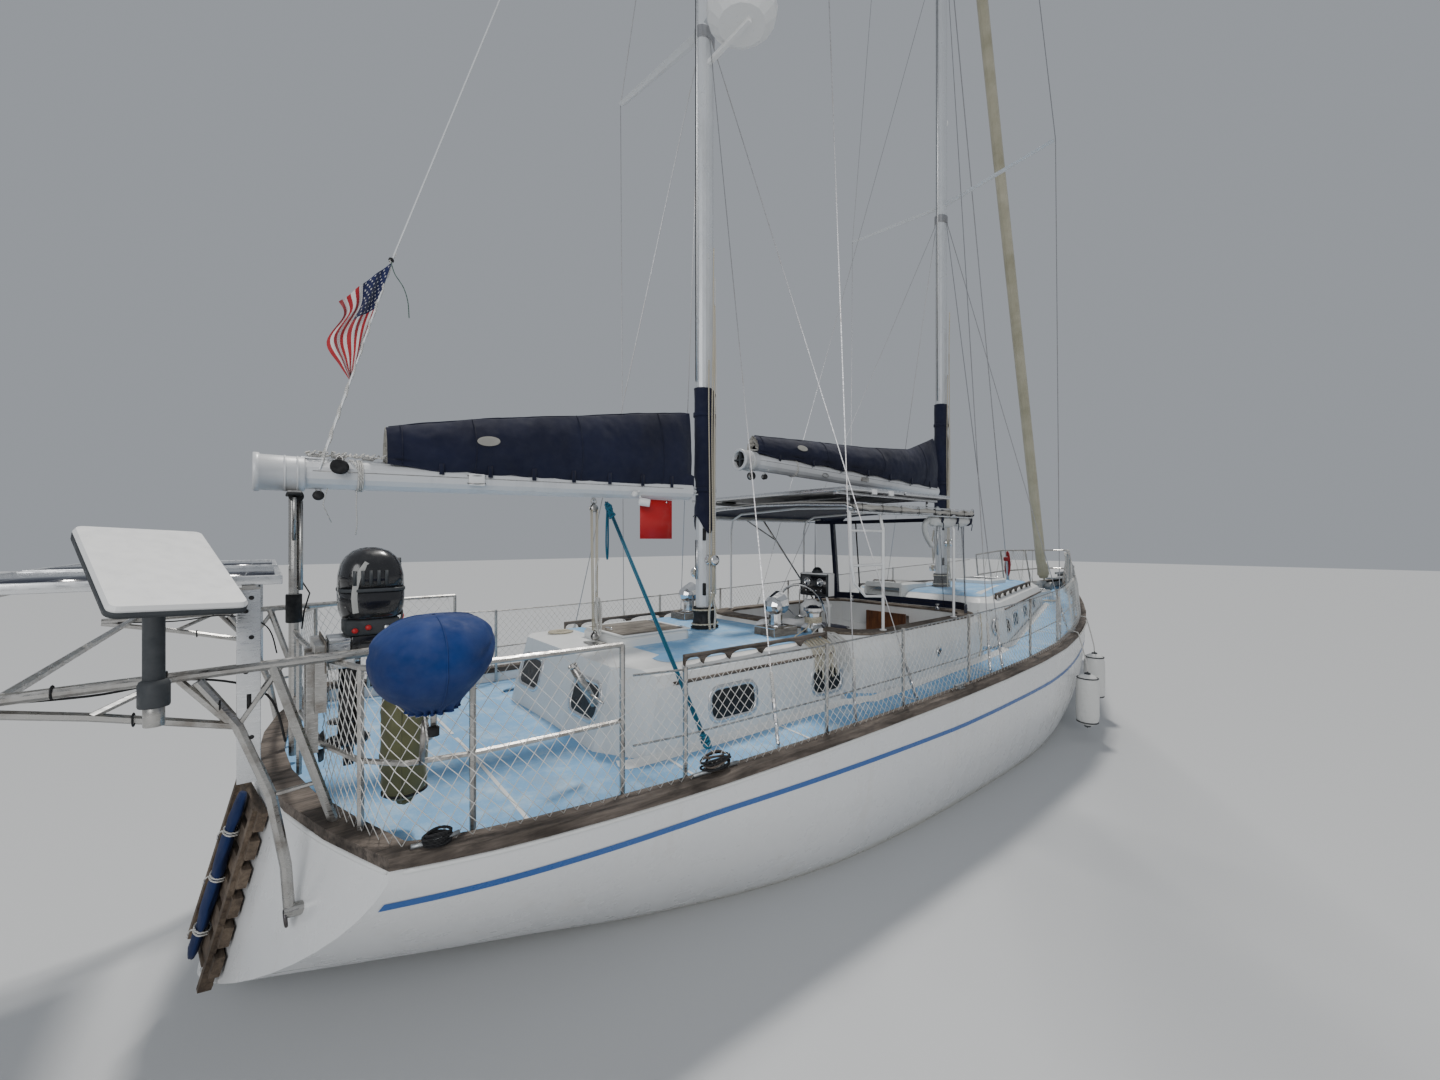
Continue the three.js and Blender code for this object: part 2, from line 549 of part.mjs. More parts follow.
// helm
const columnX = -1.74;
const pedestal = fuse([
  turned(columnX, 0, [[0, TUB.sole + GAP], [0.13, TUB.sole + GAP], [0.13, 0.74], [0.075, 0.80], [0.07, 1.44],
    [0.11, 1.54], [0.11, 1.60], [0.05, 1.66], [0, 1.66]], 16),
  tube([[-1.64, -0.17, TUB.sole + GAP], [-1.64, -0.17, 1.60], [-1.64, -0.13, 1.70], [-1.64, 0.13, 1.70],
    [-1.64, 0.17, 1.60], [-1.64, 0.17, TUB.sole + GAP]], 0.014),
  box([-1.66, -1.60], [-0.17, 0.17], [1.58, 1.61]),
  box([-1.68, -1.58], [-0.19, 0.19], [1.70, 1.93]),
]).subtract(bar([-1.86, 0, WHEEL.z], [-1.72, 0, WHEEL.z], 0.0135, 12));
add('helm_pedestal', pedestal, 'white_plastic');

const rim = new THREE.TorusGeometry(WHEEL.radius, 0.014, 6, 24);
rim.rotateY(Math.PI / 2);
rim.translate(WHEEL.x, 0, WHEEL.z);
const spokes = [0, 1, 2, 3, 4, 5].map((k) => {
  const angle = (k * Math.PI) / 3 + Math.PI / 6;
  return bar([WHEEL.x, 0, WHEEL.z], [WHEEL.x, WHEEL.radius * Math.cos(angle), WHEEL.z + WHEEL.radius * Math.sin(angle)],
    0.008, 4);
});
add('steering_wheel', fuse([
  toManifold(rim), ...spokes,
  bar([WHEEL.x - 0.03, 0, WHEEL.z], [WHEEL.x + 0.03, 0, WHEEL.z], 0.045, 16),
  bar([WHEEL.x, 0, WHEEL.z], [-1.735, 0, WHEEL.z], 0.0125, 12),
]), 'stainless');

// spars
const ellipse = (x, y, z, a, b, n = 16) => Array.from({ length: n }, (_, k) => {
  const angle = (2 * Math.PI * k) / n;
  return [x + a * Math.cos(angle), y + b * Math.sin(angle), z];
});

function spreaders(mast, z, half, sweep, rise) {
  return [1, -1].map((side) => {
    const ring = (t) => [[-0.055, 0], [0, 0.018], [0.055, 0], [0, -0.018]].map(([u, v]) => [
      mast.x + sweep * t + u * (1 - 0.35 * t), side * half * t, z + rise * t + v]);
    return loft([ring(0), ring(1)]);
  });
}

function gooseneck(mast, boom) {
  const ears = [-1, 1].map((side) => box([boom.pivot - 0.018, mast.x - mast.half[0] + 0.03], [-0.018, 0.018],
    [boom.z[0] + side * 0.0275 - 0.0055, boom.z[0] + side * 0.0275 + 0.0055]));
  return fuse([...ears, bar([boom.pivot, 0, boom.z[0] - 0.04], [boom.pivot, 0, boom.z[0] + 0.04], 0.0085, 10)]);
}

function mastBody(mast, boom, pairs) {
  const [a, b] = mast.half;
  const body = loft([
    ellipse(mast.x, 0, mast.base - 0.02 + GAP, a, b), ellipse(mast.x, 0, mast.head - 3, a, b),
    ellipse(mast.x, 0, mast.head, a * 0.75, b * 0.75)]);
  return fuse([body, gooseneck(mast, boom), ...pairs.flat()]);
}
const MAIN_SPREADERS = [{ z: 7.0, half: 1.45, rise: 0.10 }, { z: 10.8, half: 1.08, rise: 0.08 }];
const MIZZEN_SPREADERS = [{ z: 6.92, half: 1.40, rise: 0.16 }];
const spreaderSet = (mast, table) => table.map((s) => spreaders(mast, s.z, s.half, -0.06, s.rise));
add('main_mast', mastBody({ ...MAIN, base: MAIN_TRUNK.roof + 0.02 }, MAIN_BOOM,
  spreaderSet(MAIN, MAIN_SPREADERS)), 'spar');
add('mizzen_mast', mastBody({ ...MIZZEN, base: AFT_TRUNK.roof + 0.02 }, MIZZEN_BOOM,
  spreaderSet(MIZZEN, MIZZEN_SPREADERS)), 'spar');

// a round tongue at the boom's front end turns on the pin between the mast's two ears
function boomBody(boom) {
  return fuse([
    bar([boom.pivot - 0.06, 0, boom.z[0]], [boom.end, 0, boom.z[1]], boom.radius, 16),
    bar([boom.pivot + 0.022, 0, boom.z[0]], [boom.pivot - 0.12, 0, boom.z[0]], 0.02, 10),
  ]).subtract(bar([boom.pivot, 0, boom.z[0] - 0.1], [boom.pivot, 0, boom.z[0] + 0.1], 0.009, 10));
}
add('main_boom', boomBody(MAIN_BOOM), 'spar');

// the mizzen's topping lift swings with its boom and carries the ensign
const liftTop = [MIZZEN_BOOM.pivot - 0.01, 0, MIZZEN.head - 0.25];
const liftFork = [-5.64, 0, 4.07];
const liftEnd = [-6.02, -0.082, MIZZEN_BOOM.z[1] + 0.025];
const lift = fuse([
  bar(liftTop, liftFork, 0.006, 6),
  ...[1, -1].map((side) => bar(liftFork, [liftEnd[0], side * liftEnd[1], liftEnd[2]], 0.006, 6)),
]);
add('mizzen_boom', boomBody(MIZZEN_BOOM).add(lift), 'spar');

// sail covers: x, low height, high height, half-width
function coverBody(rows) {
  const arch = [[-0.55, 0], [-1, 0.28], [-0.9, 0.55], [-0.45, 0.88], [0, 1], [0.45, 0.88], [0.9, 0.55], [1, 0.28], [0.55, 0]];
  return loft(rows.map(([x, low, high, half]) => arch.map(([u, v]) => [x, u * half, low + v * (high - low)])));
}
const boomTop = (boom, x) => {
  const t = (x - boom.pivot) / (boom.end - boom.pivot);
  return boom.z[0] + (boom.z[1] - boom.z[0]) * t + boom.radius + 0.004;
};
const MIZZEN_COVER = [[-3.41, 3.42, 0.06], [-3.55, 3.395, 0.10], [-3.92, 3.335, 0.12], [-4.46, 3.235, 0.12],
  [-5.04, 3.135, 0.115], [-5.50, 3.035, 0.10], [-5.69, 2.985, 0.07]];
const MAIN_COVER = [[0.83, 3.70, 0.07], [0.60, 3.62, 0.12], [0.20, 3.48, 0.14], [-0.80, 3.40, 0.14],
  [-1.80, 3.36, 0.13], [-2.60, 3.32, 0.08]];
for (const [name, boom, rows] of [['main_sail_cover', MAIN_BOOM, MAIN_COVER],
  ['mizzen_sail_cover', MIZZEN_BOOM, MIZZEN_COVER]]) {
  const cover = coverBody(rows.map(([x, high, half]) => [x, boomTop(boom, x) - 0.012, high, half]));
  add(name, cover.subtract(boomBody(boom).translate([0, 0, GAP])), 'navy_canvas');
}

// the front flap of each cover is laced round the mast and stays with it
for (const [name, mast, boom, low, high] of [['main_cover_collar', MAIN, MAIN_BOOM, 2.62, 4.20],
  ['mizzen_cover_collar', MIZZEN, MIZZEN_BOOM, 2.36, 3.66]]) {
  const [a, b] = mast.half;
  const shape = (grow) => loft([low, (low + high) / 2, high].map((z) => ellipse(mast.x, 0, z, a + grow, b + grow)));
  const slot = box([mast.x - a - 0.1, mast.x - a + 0.04], [-0.05, 0.05], [boom.z[0] - 0.06, boom.z[0] + 0.06]);
  add(name, shape(0.022).subtract(shape(0.0004)).subtract(slot), 'navy_canvas');
}

const staysailFoot = [3.30, 0, MAIN_TRUNK.roof - 0.06];
add('inner_forestay', bar(staysailFoot, [MAIN.x + 0.13, 0, 11.3], 0.007, 6)
  .add(bar(staysailFoot, [3.22, 0, 2.02], 0.022, 10))
  .subtract(mainTrunkShell.translate([0, 0, GAP])), 'stainless');

// standing rigging: a collar on the mast carries the shrouds of both sides as one piece
function chainplate(x, inboard) {
  const y = station(x).hb - inboard;
  return [x, y, deckTop(x, y) - 0.004];
}
function shroudSet(mast, collarZ, table, extra = []) {
  const [a, b] = [mast.half[0] + 0.012, mast.half[1] + 0.012];
  const grow = (more) => loft([-0.05, 0.05].map((dz) => ellipse(mast.x, 0, collarZ + dz, a + more, b + more)));
  const wires = table.flatMap((via) => [1, -1].flatMap((side) => {
    const points = via.map(([x, y, z]) => [x, side * y, z]);
    const [foot, next] = [points[points.length - 1], points[points.length - 2]];
    const length = Math.hypot(...next.map((v, k) => v - foot[k]));
    const along = (d) => foot.map((v, k) => v + ((next[k] - v) * d) / length);
    return [
      tube(points, 0.005, 4),
      bar(along(0.10), along(0.42), 0.013, 5),
      bar(foot, along(0.12), 0.009, 5),
    ];
  }));
  const hole = loft([-0.4, 0.4].map((dz) => ellipse(mast.x, 0, collarZ + dz, mast.half[0] + GAP, mast.half[1] + GAP)));
  return footed(fuse([grow(0), ...wires, ...extra]).subtract(hole));
}
const tip = (mast, s, beyond = 0.016) => [mast.x - 0.06, s.half + beyond, s.z + s.rise];
const [lowMain, highMain] = MAIN_SPREADERS;
const [mizzenTip] = MIZZEN_SPREADERS;
const mainAt = (z) => [MAIN.x, MAIN.half[1], z];
const mizzenAt = (z) => [MIZZEN.x, MIZZEN.half[1], z];
const triatic = bar([MAIN.x, 0, MAIN.head - 0.10], [MIZZEN.x + 0.0715, 0, MIZZEN.head - 0.05], 0.005, 6);
const mainCaps = shroudSet(MAIN, 15.05, [
  [mainAt(15.05), tip(MAIN, highMain), tip(MAIN, lowMain), chainplate(1.0, 0.16)]], [triatic]);
add('main_cap_shrouds', mainCaps, 'stainless');
const furled = tube([[4.86, 0, 1.62], [4.72, 0, 1.90], [4.62, 0, 2.30], [2.90, 0, 8.60], [1.24, 0, 14.90]], 0.08, 10);
const drum = fuse([
  bar([4.94, 0, 1.36], [4.86, 0, 1.64], 0.014, 6),
  bar([4.84, 0, 1.66], [4.78, 0, 1.86], 0.10, 12, 0.085),
  bar([1.26, 0, 14.8], [1.165, 0, 15.05], 0.012, 6),
]);
add('furled_genoa', footed(furled.add(drum)).subtract(mainCaps.translate([GAP, 0, 0])), 'sail_cloth');
// the aft lower and the intermediate shroud of each side share one long chainplate
const [aftFoot, midFoot] = [chainplate(-0.85, 0.15), chainplate(-1.12, 0.15)];
const sharedPlates = [1, -1].map((side) => bar([aftFoot[0], side * aftFoot[1], aftFoot[2] + 0.012],
  [midFoot[0], side * midFoot[1], midFoot[2] + 0.012], 0.011, 6));
add('main_lower_shrouds', shroudSet(MAIN, 6.80, [
  [mainAt(6.80), chainplate(1.72, 0.17)], [mainAt(6.80), aftFoot]], [
  shroudSet(MAIN, 10.60, [[mainAt(10.60), midFoot]]), ...sharedPlates]), 'stainless');
add('mizzen_cap_shrouds', shroudSet(MIZZEN, 11.35, [
  [mizzenAt(11.35), tip(MIZZEN, mizzenTip), chainplate(-3.12, 0.14)]]), 'stainless');
add('mizzen_lower_shrouds', shroudSet(MIZZEN, 6.85, [
  [mizzenAt(6.85), chainplate(-3.84, 0.14)], [mizzenAt(6.85), chainplate(-2.32, 0.14)]]), 'stainless');

// rails
const onRail = (x, inboard) => {
  const y = station(x).hb - inboard;
  return sternWarp([x, y, deckTop(x, y) - 0.004]);
};
const STANCHIONS = [-4.55, -3.45, -2.60, -1.62, -0.30, 0.62, 2.00, 3.15];
function lifelines() {
  const feet = STANCHIONS.map((x) => onRail(x, 0.115));
  const heads = feet.map(([x, y, z]) => [x, y, z + 0.70]);
  const run = (drop) => heads.map(([x, y, z]) => [x, y, z - drop]);
  const aft = [-4.86, station(-4.86).hb - 0.115, deckTop(-4.86, 1.5) + 0.70];
  const fore = [3.66, station(3.66).hb - 0.115, deckTop(3.66, 0.8) + 0.70];
  const wires = [0.012, 0.36].flatMap((drop) => {
    const path = [[aft[0], aft[1], aft[2] - drop], ...run(drop), [fore[0], fore[1], fore[2] - drop]];
    return [tube(path, 0.006, 4)];
  });
  return footed(fuse([...feet.map((foot, k) => bar(foot, heads[k], 0.0135, 6)), ...wires]));
}
const portLifelines = lifelines();
add('lifelines_port', portLifelines, 'stainless');
add('lifelines_stbd', mirrored(portLifelines), 'stainless');

const railPoint = (x, inboard, height) => {
  const [px, py] = onRail(x, inboard);
  return [px, py, height];
};
const PUSHPIT_TOP = 1.79;
const PUSHPIT_MID = 1.42;
const quarter = [[-4.92, 0.115], [-5.30, 0.115], [-5.70, 0.12], [-6.02, 0.16], [-6.15, 0.30], [-6.17, 0.62]];
const pushpitPath = (z) => {
  const port = quarter.map(([x, inboard]) => railPoint(x, inboard, z));
  const across = [0.60, 0.30, 0].map((y) => [-6.125 + 0.09 * y ** 2, y, z]);
  const half = [...port, ...across];
  return [...half, ...half.slice(0, -1).reverse().map(([x, y, h]) => [x, -y, h])];
};
const pushpitPosts = [quarter[0], quarter[2], quarter[4]].flatMap(([x, inboard]) => [1, -1].map((side) => {
  const [px, py, pz] = onRail(x, inboard);
  return bar([px, side * py, pz], [px, side * py, PUSHPIT_TOP], 0.0135, 6);
}));
const sternPosts = [0.34, -0.34].map((y) => bar([-6.12, y, deckTop(-6.12, y) - 0.004], [-6.12, y, PUSHPIT_TOP], 0.0135, 6));
const outboardPad = fuse([
  box([-6.095, -6.055], [-1.06, -0.74], [1.58, 1.86]),
  ...[-0.98, -0.82].map((y) => box([-6.12, -6.08], [y - 0.02, y + 0.02], [1.40, 1.82])),
]);
const crutchX = -6.13;
const crutchFoot = deckTop(-6.13, 0) - 0.004;
const crutchTop = MIZZEN_BOOM.z[1] - MIZZEN_BOOM.radius - RUNNING;
const boomCrutch = fuse([
  bar([crutchX, 0, crutchFoot], [crutchX, 0, crutchTop - 0.02], 0.024, 12),
  bar([crutchX, 0, 1.84], [crutchX, 0, 2.0], 0.034, 12),
  box([crutchX - 0.03, crutchX + 0.03], [-0.09, 0.09], [crutchTop - 0.03, crutchTop - 0.008]),
]);
const pushpit = footed(onCapRail(fuse([tube(pushpitPath(PUSHPIT_TOP), 0.0135),
  tube(pushpitPath(PUSHPIT_MID), 0.0125), ...pushpitPosts, ...sternPosts, outboardPad, boomCrutch])));
add('pushpit', pushpit, 'stainless');

// pulpit posts: foot x, foot inboard of the hull's side, and the rail point that they carry
const PULPIT = [
  { x: 3.86, inboard: 0.13, head: [3.78, 0.76, 2.03] },
  { x: 4.42, inboard: 0.13, head: [4.34, 0.56, 2.10] },
  { x: 4.98, inboard: 0.14, head: [4.96, 0.36, 2.10] },
  { x: 5.36, inboard: 0.08, head: [5.46, 0.20, 2.10] },
];
const pulpitRail = (share) => {
  const side = PULPIT.map(({ x, inboard, head }) => {
    const foot = onRail(x, inboard);
    return head.map((v, k) => foot[k] + (v - foot[k]) * share);
  });
  const nose = side[3].map((v, k) => [v + 0.14, 0.4 * v, v][k]);
  const half = [...side, nose];
  return [...half, ...half.slice().reverse().map(([x, y, z]) => [x, -y, z])];
};
const pulpitPosts = PULPIT.flatMap(({ x, inboard, head }) => [1, -1].map((side) => {
  const foot = onRail(x, inboard);
  return bar([foot[0], side * foot[1], foot[2]], [head[0], side * head[1], head[2]], 0.0135, 6);
}));
add('pulpit', footed(onCapRail(fuse([tube(pulpitRail(1), 0.0135), tube(pulpitRail(0.52), 0.0125),
  ...pulpitPosts]))), 'stainless');

// stern gear
// davit arms: a truss of two tubes out from the pushpit, braced down to the deck
const DAVIT = { y: 1.12, root: -6.14, tip: -7.02, top: 1.818 };
const davitArm = fuse([
  bar([DAVIT.root + 0.30, DAVIT.y, DAVIT.top + 0.006], [DAVIT.tip, DAVIT.y, DAVIT.top - 0.02], 0.019, 10),
  tube([[-6.33, DAVIT.y, 1.60], [-6.70, DAVIT.y, 1.71], [DAVIT.tip, DAVIT.y, DAVIT.top - 0.03]], 0.015, 6),
  bar([-6.33, DAVIT.y, 1.60], [-6.20, DAVIT.y, DAVIT.top], 0.012, 6),
  bar([-6.35, DAVIT.y, 1.61], [-6.50, DAVIT.y, DAVIT.top - 0.005], 0.012, 6),
  bar([-6.70, DAVIT.y, 1.71], [-6.50, DAVIT.y, DAVIT.top - 0.005], 0.012, 6),
  // the leg on the cap rail and the curved leg down to the transom, with a rung between them
  bar([-6.03, DAVIT.y, 1.12], [-6.23, DAVIT.y, DAVIT.top], 0.019, 8),
  tube([[-6.44, DAVIT.y, 1.785], [-6.40, DAVIT.y, 1.72], [-6.33, DAVIT.y, 1.60], [-6.235, DAVIT.y, 1.31],
    [-6.190, DAVIT.y, 1.02], [-6.178, DAVIT.y, 0.82]], 0.019, 8),
  bar([-6.196, DAVIT.y, 0.84], [-6.100, DAVIT.y, 0.83], 0.026, 10),
  bar([-6.235, DAVIT.y, 1.31], [-6.085, DAVIT.y, 1.32], 0.009, 6),
]);
const davits = fuse([
  davitArm, mirrored(davitArm),
  bar([-6.88, -DAVIT.y, DAVIT.top - 0.01], [-6.88, DAVIT.y, DAVIT.top - 0.01], 0.016, 6),
  ...[-1, 1].flatMap((side) => [[-6.30, 0.034, 1.38], [-6.94, 0.02, DAVIT.top - 0.03]].map(([x, half, foot]) => (
    box([x - half, x + half], [side * DAVIT.y - 0.005, side * DAVIT.y + 0.005], [foot, PANEL_Z - 0.03])))),
  ...[-6.30, -6.94].map((x) => box([x - 0.02, x + 0.02], [-1.13, 1.13], [PANEL_Z - 0.0383, PANEL_Z - 0.0223])),
]);
const railCut = fuse([tube(pushpitPath(PUSHPIT_TOP), 0.0135 + GAP), tube(pushpitPath(PUSHPIT_MID), 0.0125 + GAP)]);
const davitArms = onCapRail(davits.subtract(railCut)).subtract(hullSolid.translate([-GAP, 0, 0]));
add('davits', davitArms, 'stainless');
const panelPair = [-1, 1].map((side) => box([-7.10, -6.20], side > 0 ? [0.07, 1.12] : [-1.12, -0.07],
  [PANEL_Z - 0.022, PANEL_Z + 0.013]));
add('davit_solar_panels', fuse([...panelPair, box([-7.10, -7.06], [-0.1, 0.1], [PANEL_Z - 0.022, PANEL_Z + 0.01])]),
  'solar');

const POLE = { x: -6.52, y: -1.40 };
const dish = loft([-0.035, -0.012, 0].map((z, k) => planRing([-0.1515, 0.1515], [0.2565, 0.2565], 0.025, k === 1 ? 0 : 0.006, z)));
add('satellite_antenna', fuse([
  dish.rotate([26.2, 3.1, 19.2]).translate([-6.497, -1.454, 2.226]),
  bar([POLE.x, POLE.y, 1.72], [POLE.x, POLE.y, 2.24], 0.024, 12),
  bar([POLE.x, POLE.y, 1.80], [POLE.x, -DAVIT.y - 0.01, 1.80], 0.016, 6),
]).subtract(davitArms).subtract(davitArms.translate([0, -GAP, 0])), 'white_plastic');

const grillAt = [-5.78, -1.66, 1.86];
add('grill', fuse([
  turned(grillAt[0], grillAt[1], [[0, 1.70], [0.10, 1.705], [0.19, 1.76], [0.215, 1.84], [0.205, 1.92], [0.13, 2.0],
    [0, 2.03]], 16),
  bar([grillAt[0], grillAt[1], 1.72], [grillAt[0], -1.515, 1.60], 0.012, 6),
  bar([grillAt[0], -1.515, 1.60], [grillAt[0], -1.46, 1.42], 0.012, 6),
]).subtract(railCut), 'blue_canvas');

const motorAt = [-6.00, -0.90];
const motor = fuse([
  loft([[1.88, 0.02], [1.94, 0], [2.12, 0], [2.22, 0.03], [2.27, 0.09]].map(([z, inset]) => (
    planRing([-6.12, -5.80], [0.125, 0.125], 0.08, inset, z)))).translate([0.02, motorAt[1], 0]),
  bar([-5.96, motorAt[1], 1.90], [-5.96, motorAt[1], 1.46], 0.045, 10, 0.035),
  bar([-5.88, motorAt[1], 1.40], [-6.06, motorAt[1], 1.40], 0.035, 10, 0.02),
  box([-6.00, -5.92], [motorAt[1] - 0.012, motorAt[1] + 0.012], [1.28, 1.50]),
  box([-6.0547, -5.94], [motorAt[1] - 0.08, motorAt[1] + 0.08], [1.72, 1.88]),
]);
add('outboard_motor', motor.subtract(pushpit).subtract(pushpit.translate([GAP, 0, 0])), 'black');

// folding swim platform on the transom, hinged near its foot
const slats = [0.09, 0.21, 0.33, 0.45, 0.57, 0.69].map((z) => (
  box([-0.018, 0.018], [-PLATFORM.half, PLATFORM.half], [z - 0.04, z + 0.04])));
const platformRails = [-0.24, 0.24].map((y) => box([-0.035, -0.012], [y - 0.02, y + 0.02], [-0.012, 0.73]));
const platformFeet = [-0.24, 0.24].map((y) => box([-0.035, 0.012], [y - 0.02, y + 0.02], [-0.02, 0.045]));
const platformPin = bar([0, -0.262, 0], [0, 0.262, 0], 0.014, 10);
add('swim_platform', atPlatform(fuse([...slats, ...platformRails, ...platformFeet, platformPin])
  .rotate([0, PLATFORM.lean, 0])), 'teak');
function fender(x, y, z, radius, length) {
  const r = radius;
  return turned(x, y, [[0, z - length / 2], [r * 0.45, z - length / 2 + 0.01], [r, z - length / 2 + 0.09],
    [r, z + length / 2 - 0.09], [r * 0.45, z + length / 2 - 0.01], [0.02, z + length / 2 + 0.03],
    [0, z + length / 2 + 0.03]], 12);
}
const quarterRail = pushpitPath(PUSHPIT_TOP).slice(-5)[0];
add('fender_quarter', fender(-5.78, -1.12, 1.42, 0.095, 0.56).add(
  bar([-5.78, -1.12, 1.71], quarterRail, 0.008, 5)).subtract(pushpit.translate([GAP, 0, 0])), 'olive');
const outboardSide = (x, z) => -(sectionWidth(station(x), (z - station(x).zb) / (station(x).zs - station(x).zb)));
const fenderAt = [[1.05, 0.45], [2.05, 0.52]].map(([x, z]) => [x, outboardSide(x, z + 0.33) - 0.126, z]);
const railOutside = (x) => [x, -station(x).hb - CAP.out - 0.004, sheer(x) + 0.022];
const fenderLines = fenderAt.map(([x, y, z]) => bar([x, y, z + 0.31], railOutside(x), 0.008, 6));
add('fenders_bow', fuse([...fenderAt.map(([x, y, z]) => fender(x, y, z, 0.12, 0.62)), ...fenderLines,
  tube([1.05, 1.30, 1.55, 1.80, 2.05].map(railOutside), 0.008, 6)])
  .subtract(capRail.translate([0, -GAP, 0])), 'fender');

// deck gear
const winch = (x, y, base, size) => turned(x, y, [[0, -0.04], [0.105, -0.04], [0.105, 0.05], [0.075, 0.075], [0.062, 0.12],
  [0.068, 0.17], [0.085, 0.19], [0.085, 0.215], [0.05, 0.225], [0.03, 0.235], [0, 0.235]]
  .map(([r, z]) => [r * size, base + z * size]), 14);
add('winch_stbd', winch(-2.62, -0.78, AFT_TRUNK.roof + GAP, 1).subtract(aftTrunkShell.translate([0, 0, GAP])), 'stainless');
add('winch_port', winch(-2.62, 0.78, AFT_TRUNK.roof + GAP, 1).subtract(aftTrunkShell.translate([0, 0, GAP])), 'stainless');

// cowl ventilator: wooden box, upright pipe and a mouth that opens to the bow
function cowlVent(x, y) {
  const foot = AFT_TRUNK.roof - 0.02;
  const pipe = bar([x, y, foot + 0.09], [x, y, foot + 0.24], 0.058, 12);
  const bend = bar([x - 0.045, y, foot + 0.27], [x + 0.055, y, foot + 0.29], 0.075, 12, 0.102);
  const dome = toManifold(new THREE.SphereGeometry(0.088, 12, 6)).translate([x - 0.02, y, foot + 0.265]);
  const mouth = bar([x + 0.0, y, foot + 0.28], [x + 0.09, y, foot + 0.295], 0.065, 12, 0.090);
  return box([x - 0.14, x + 0.14], [y - 0.12, y + 0.12], [foot - 0.05, foot + 0.09])
    .subtract(aftTrunkShell.translate([0, 0, GAP]))
    .add(fuse([pipe, bend, dome]).subtract(mouth).translate([0, 0, -0.002]));
}
for (const [side, y] of [['port', 0.62], ['stbd', -0.62]]) {
  add(`cowl_vent_${side}`, cowlVent(-2.92, y), 'stainless');
}

const bowTop = (x) => station(x).zs + 0.045 + 0.002;
const roller = onCapRail(fuse([
  box([5.20, 6.10], [-0.085, 0.085], [bowTop(5.83) - 0.0, bowTop(5.83) + 0.025]),
  ...[-1, 1].map((s) => box([5.80, 6.14], [s * 0.075 - 0.006, s * 0.075 + 0.006], [bowTop(5.83) + 0.0, bowTop(5.83) + 0.10])),
  bar([6.08, -0.075, bowTop(5.83) + 0.055], [6.08, 0.075, bowTop(5.83) + 0.055], 0.03, 12),
]));
const anchorZ = bowTop(5.83) + 0.055 + 0.03 + 0.018;
add('anchor_and_roller', fuse([
  roller,
  box([5.45, 6.26], [-0.012, 0.012], [anchorZ - 0.02, anchorZ + 0.022]),
  box([6.20, 6.27], [-0.013, 0.013], [anchorZ - 0.30, anchorZ + 0.02]),
  loft([[-0.30, 0.03, 5.94], [-0.28, 0.13, 6.04], [-0.20, 0.11, 6.22], [-0.14, 0.02, 6.31]].map(([dz, w, x]) => [
    [x, -w, anchorZ + dz], [x, w, anchorZ + dz], [x + 0.012, w * 0.9, anchorZ + dz - 0.02],
    [x + 0.012, -w * 0.9, anchorZ + dz - 0.02]])),
]), 'galvanised');
add('windlass', footed(fuse([
  loft([[1.33, 0], [1.50, 0], [1.55, 0.03]].map(([z, inset]) => planRing([4.68, 4.98], [0.10, 0.09], 0.05, inset, z)))
    .translate([-0.16, 0, 0]),
  bar([4.67, -0.19, 1.46], [4.67, 0.19, 1.46], 0.055, 12),
  bar([4.67, -0.20, 1.46], [4.67, -0.14, 1.46], 0.075, 12),
  bar([4.67, 0.14, 1.46], [4.67, 0.20, 1.46], 0.075, 12),
])), 'galvanised');

// bimini and dodger
// two hoops stand on the coaming cap; the aft one carries a short ladder on the starboard side
const HOOPS = [-1.97, -0.66];
const HOOP_Y = 1.045;
function hoop(x, top) {
  const foot = [x, HOOP_Y, COAMING.top + 0.024 + GAP];
  const port = [foot, [x, HOOP_Y, 2.40], [x, 1.01, 2.54], [x, 0.86, top], [x, 0, top + 0.03]];
  return fuse([
    tube([...port, ...port.slice(0, -1).reverse().map(([a, b, c]) => [a, -b, c])], 0.0135, 6),
    ...[1, -1].map((side) => bar([x, side * HOOP_Y, foot[2]], [x, side * HOOP_Y, foot[2] + 0.008], 0.032, 12)),
  ]);
}
const sideRails = [1, -1].map((side) => bar([-2.47, side * 1.03, 2.545], [-0.62, side * 1.03, 2.545], 0.012, 6));
const ladder = fuse([
  tube([[-2.45, -1.035, 2.55], [-2.44, -HOOP_Y, 2.10], [-2.40, -HOOP_Y, 1.93], [-2.24, -HOOP_Y, 1.81],
    [-1.97, -HOOP_Y, 1.79]], 0.012, 6),
  ...[2.08, 2.38].map((z) => bar([-2.44, -HOOP_Y, z], [-1.97, -HOOP_Y, z], 0.010, 6)),
]);
add('bimini_frame', fuse([...HOOPS.map((x) => hoop(x, BIMINI.hoop)), ...sideRails, ladder]), 'stainless');
const biminiArch = [[1, -0.055], [0.93, -0.01], [0.5, 0.025], [0, 0.04], [-0.5, 0.025], [-0.93, -0.01], [-1, -0.055]]
  .map(([k, dz]) => [k * BIMINI.half, dz]);
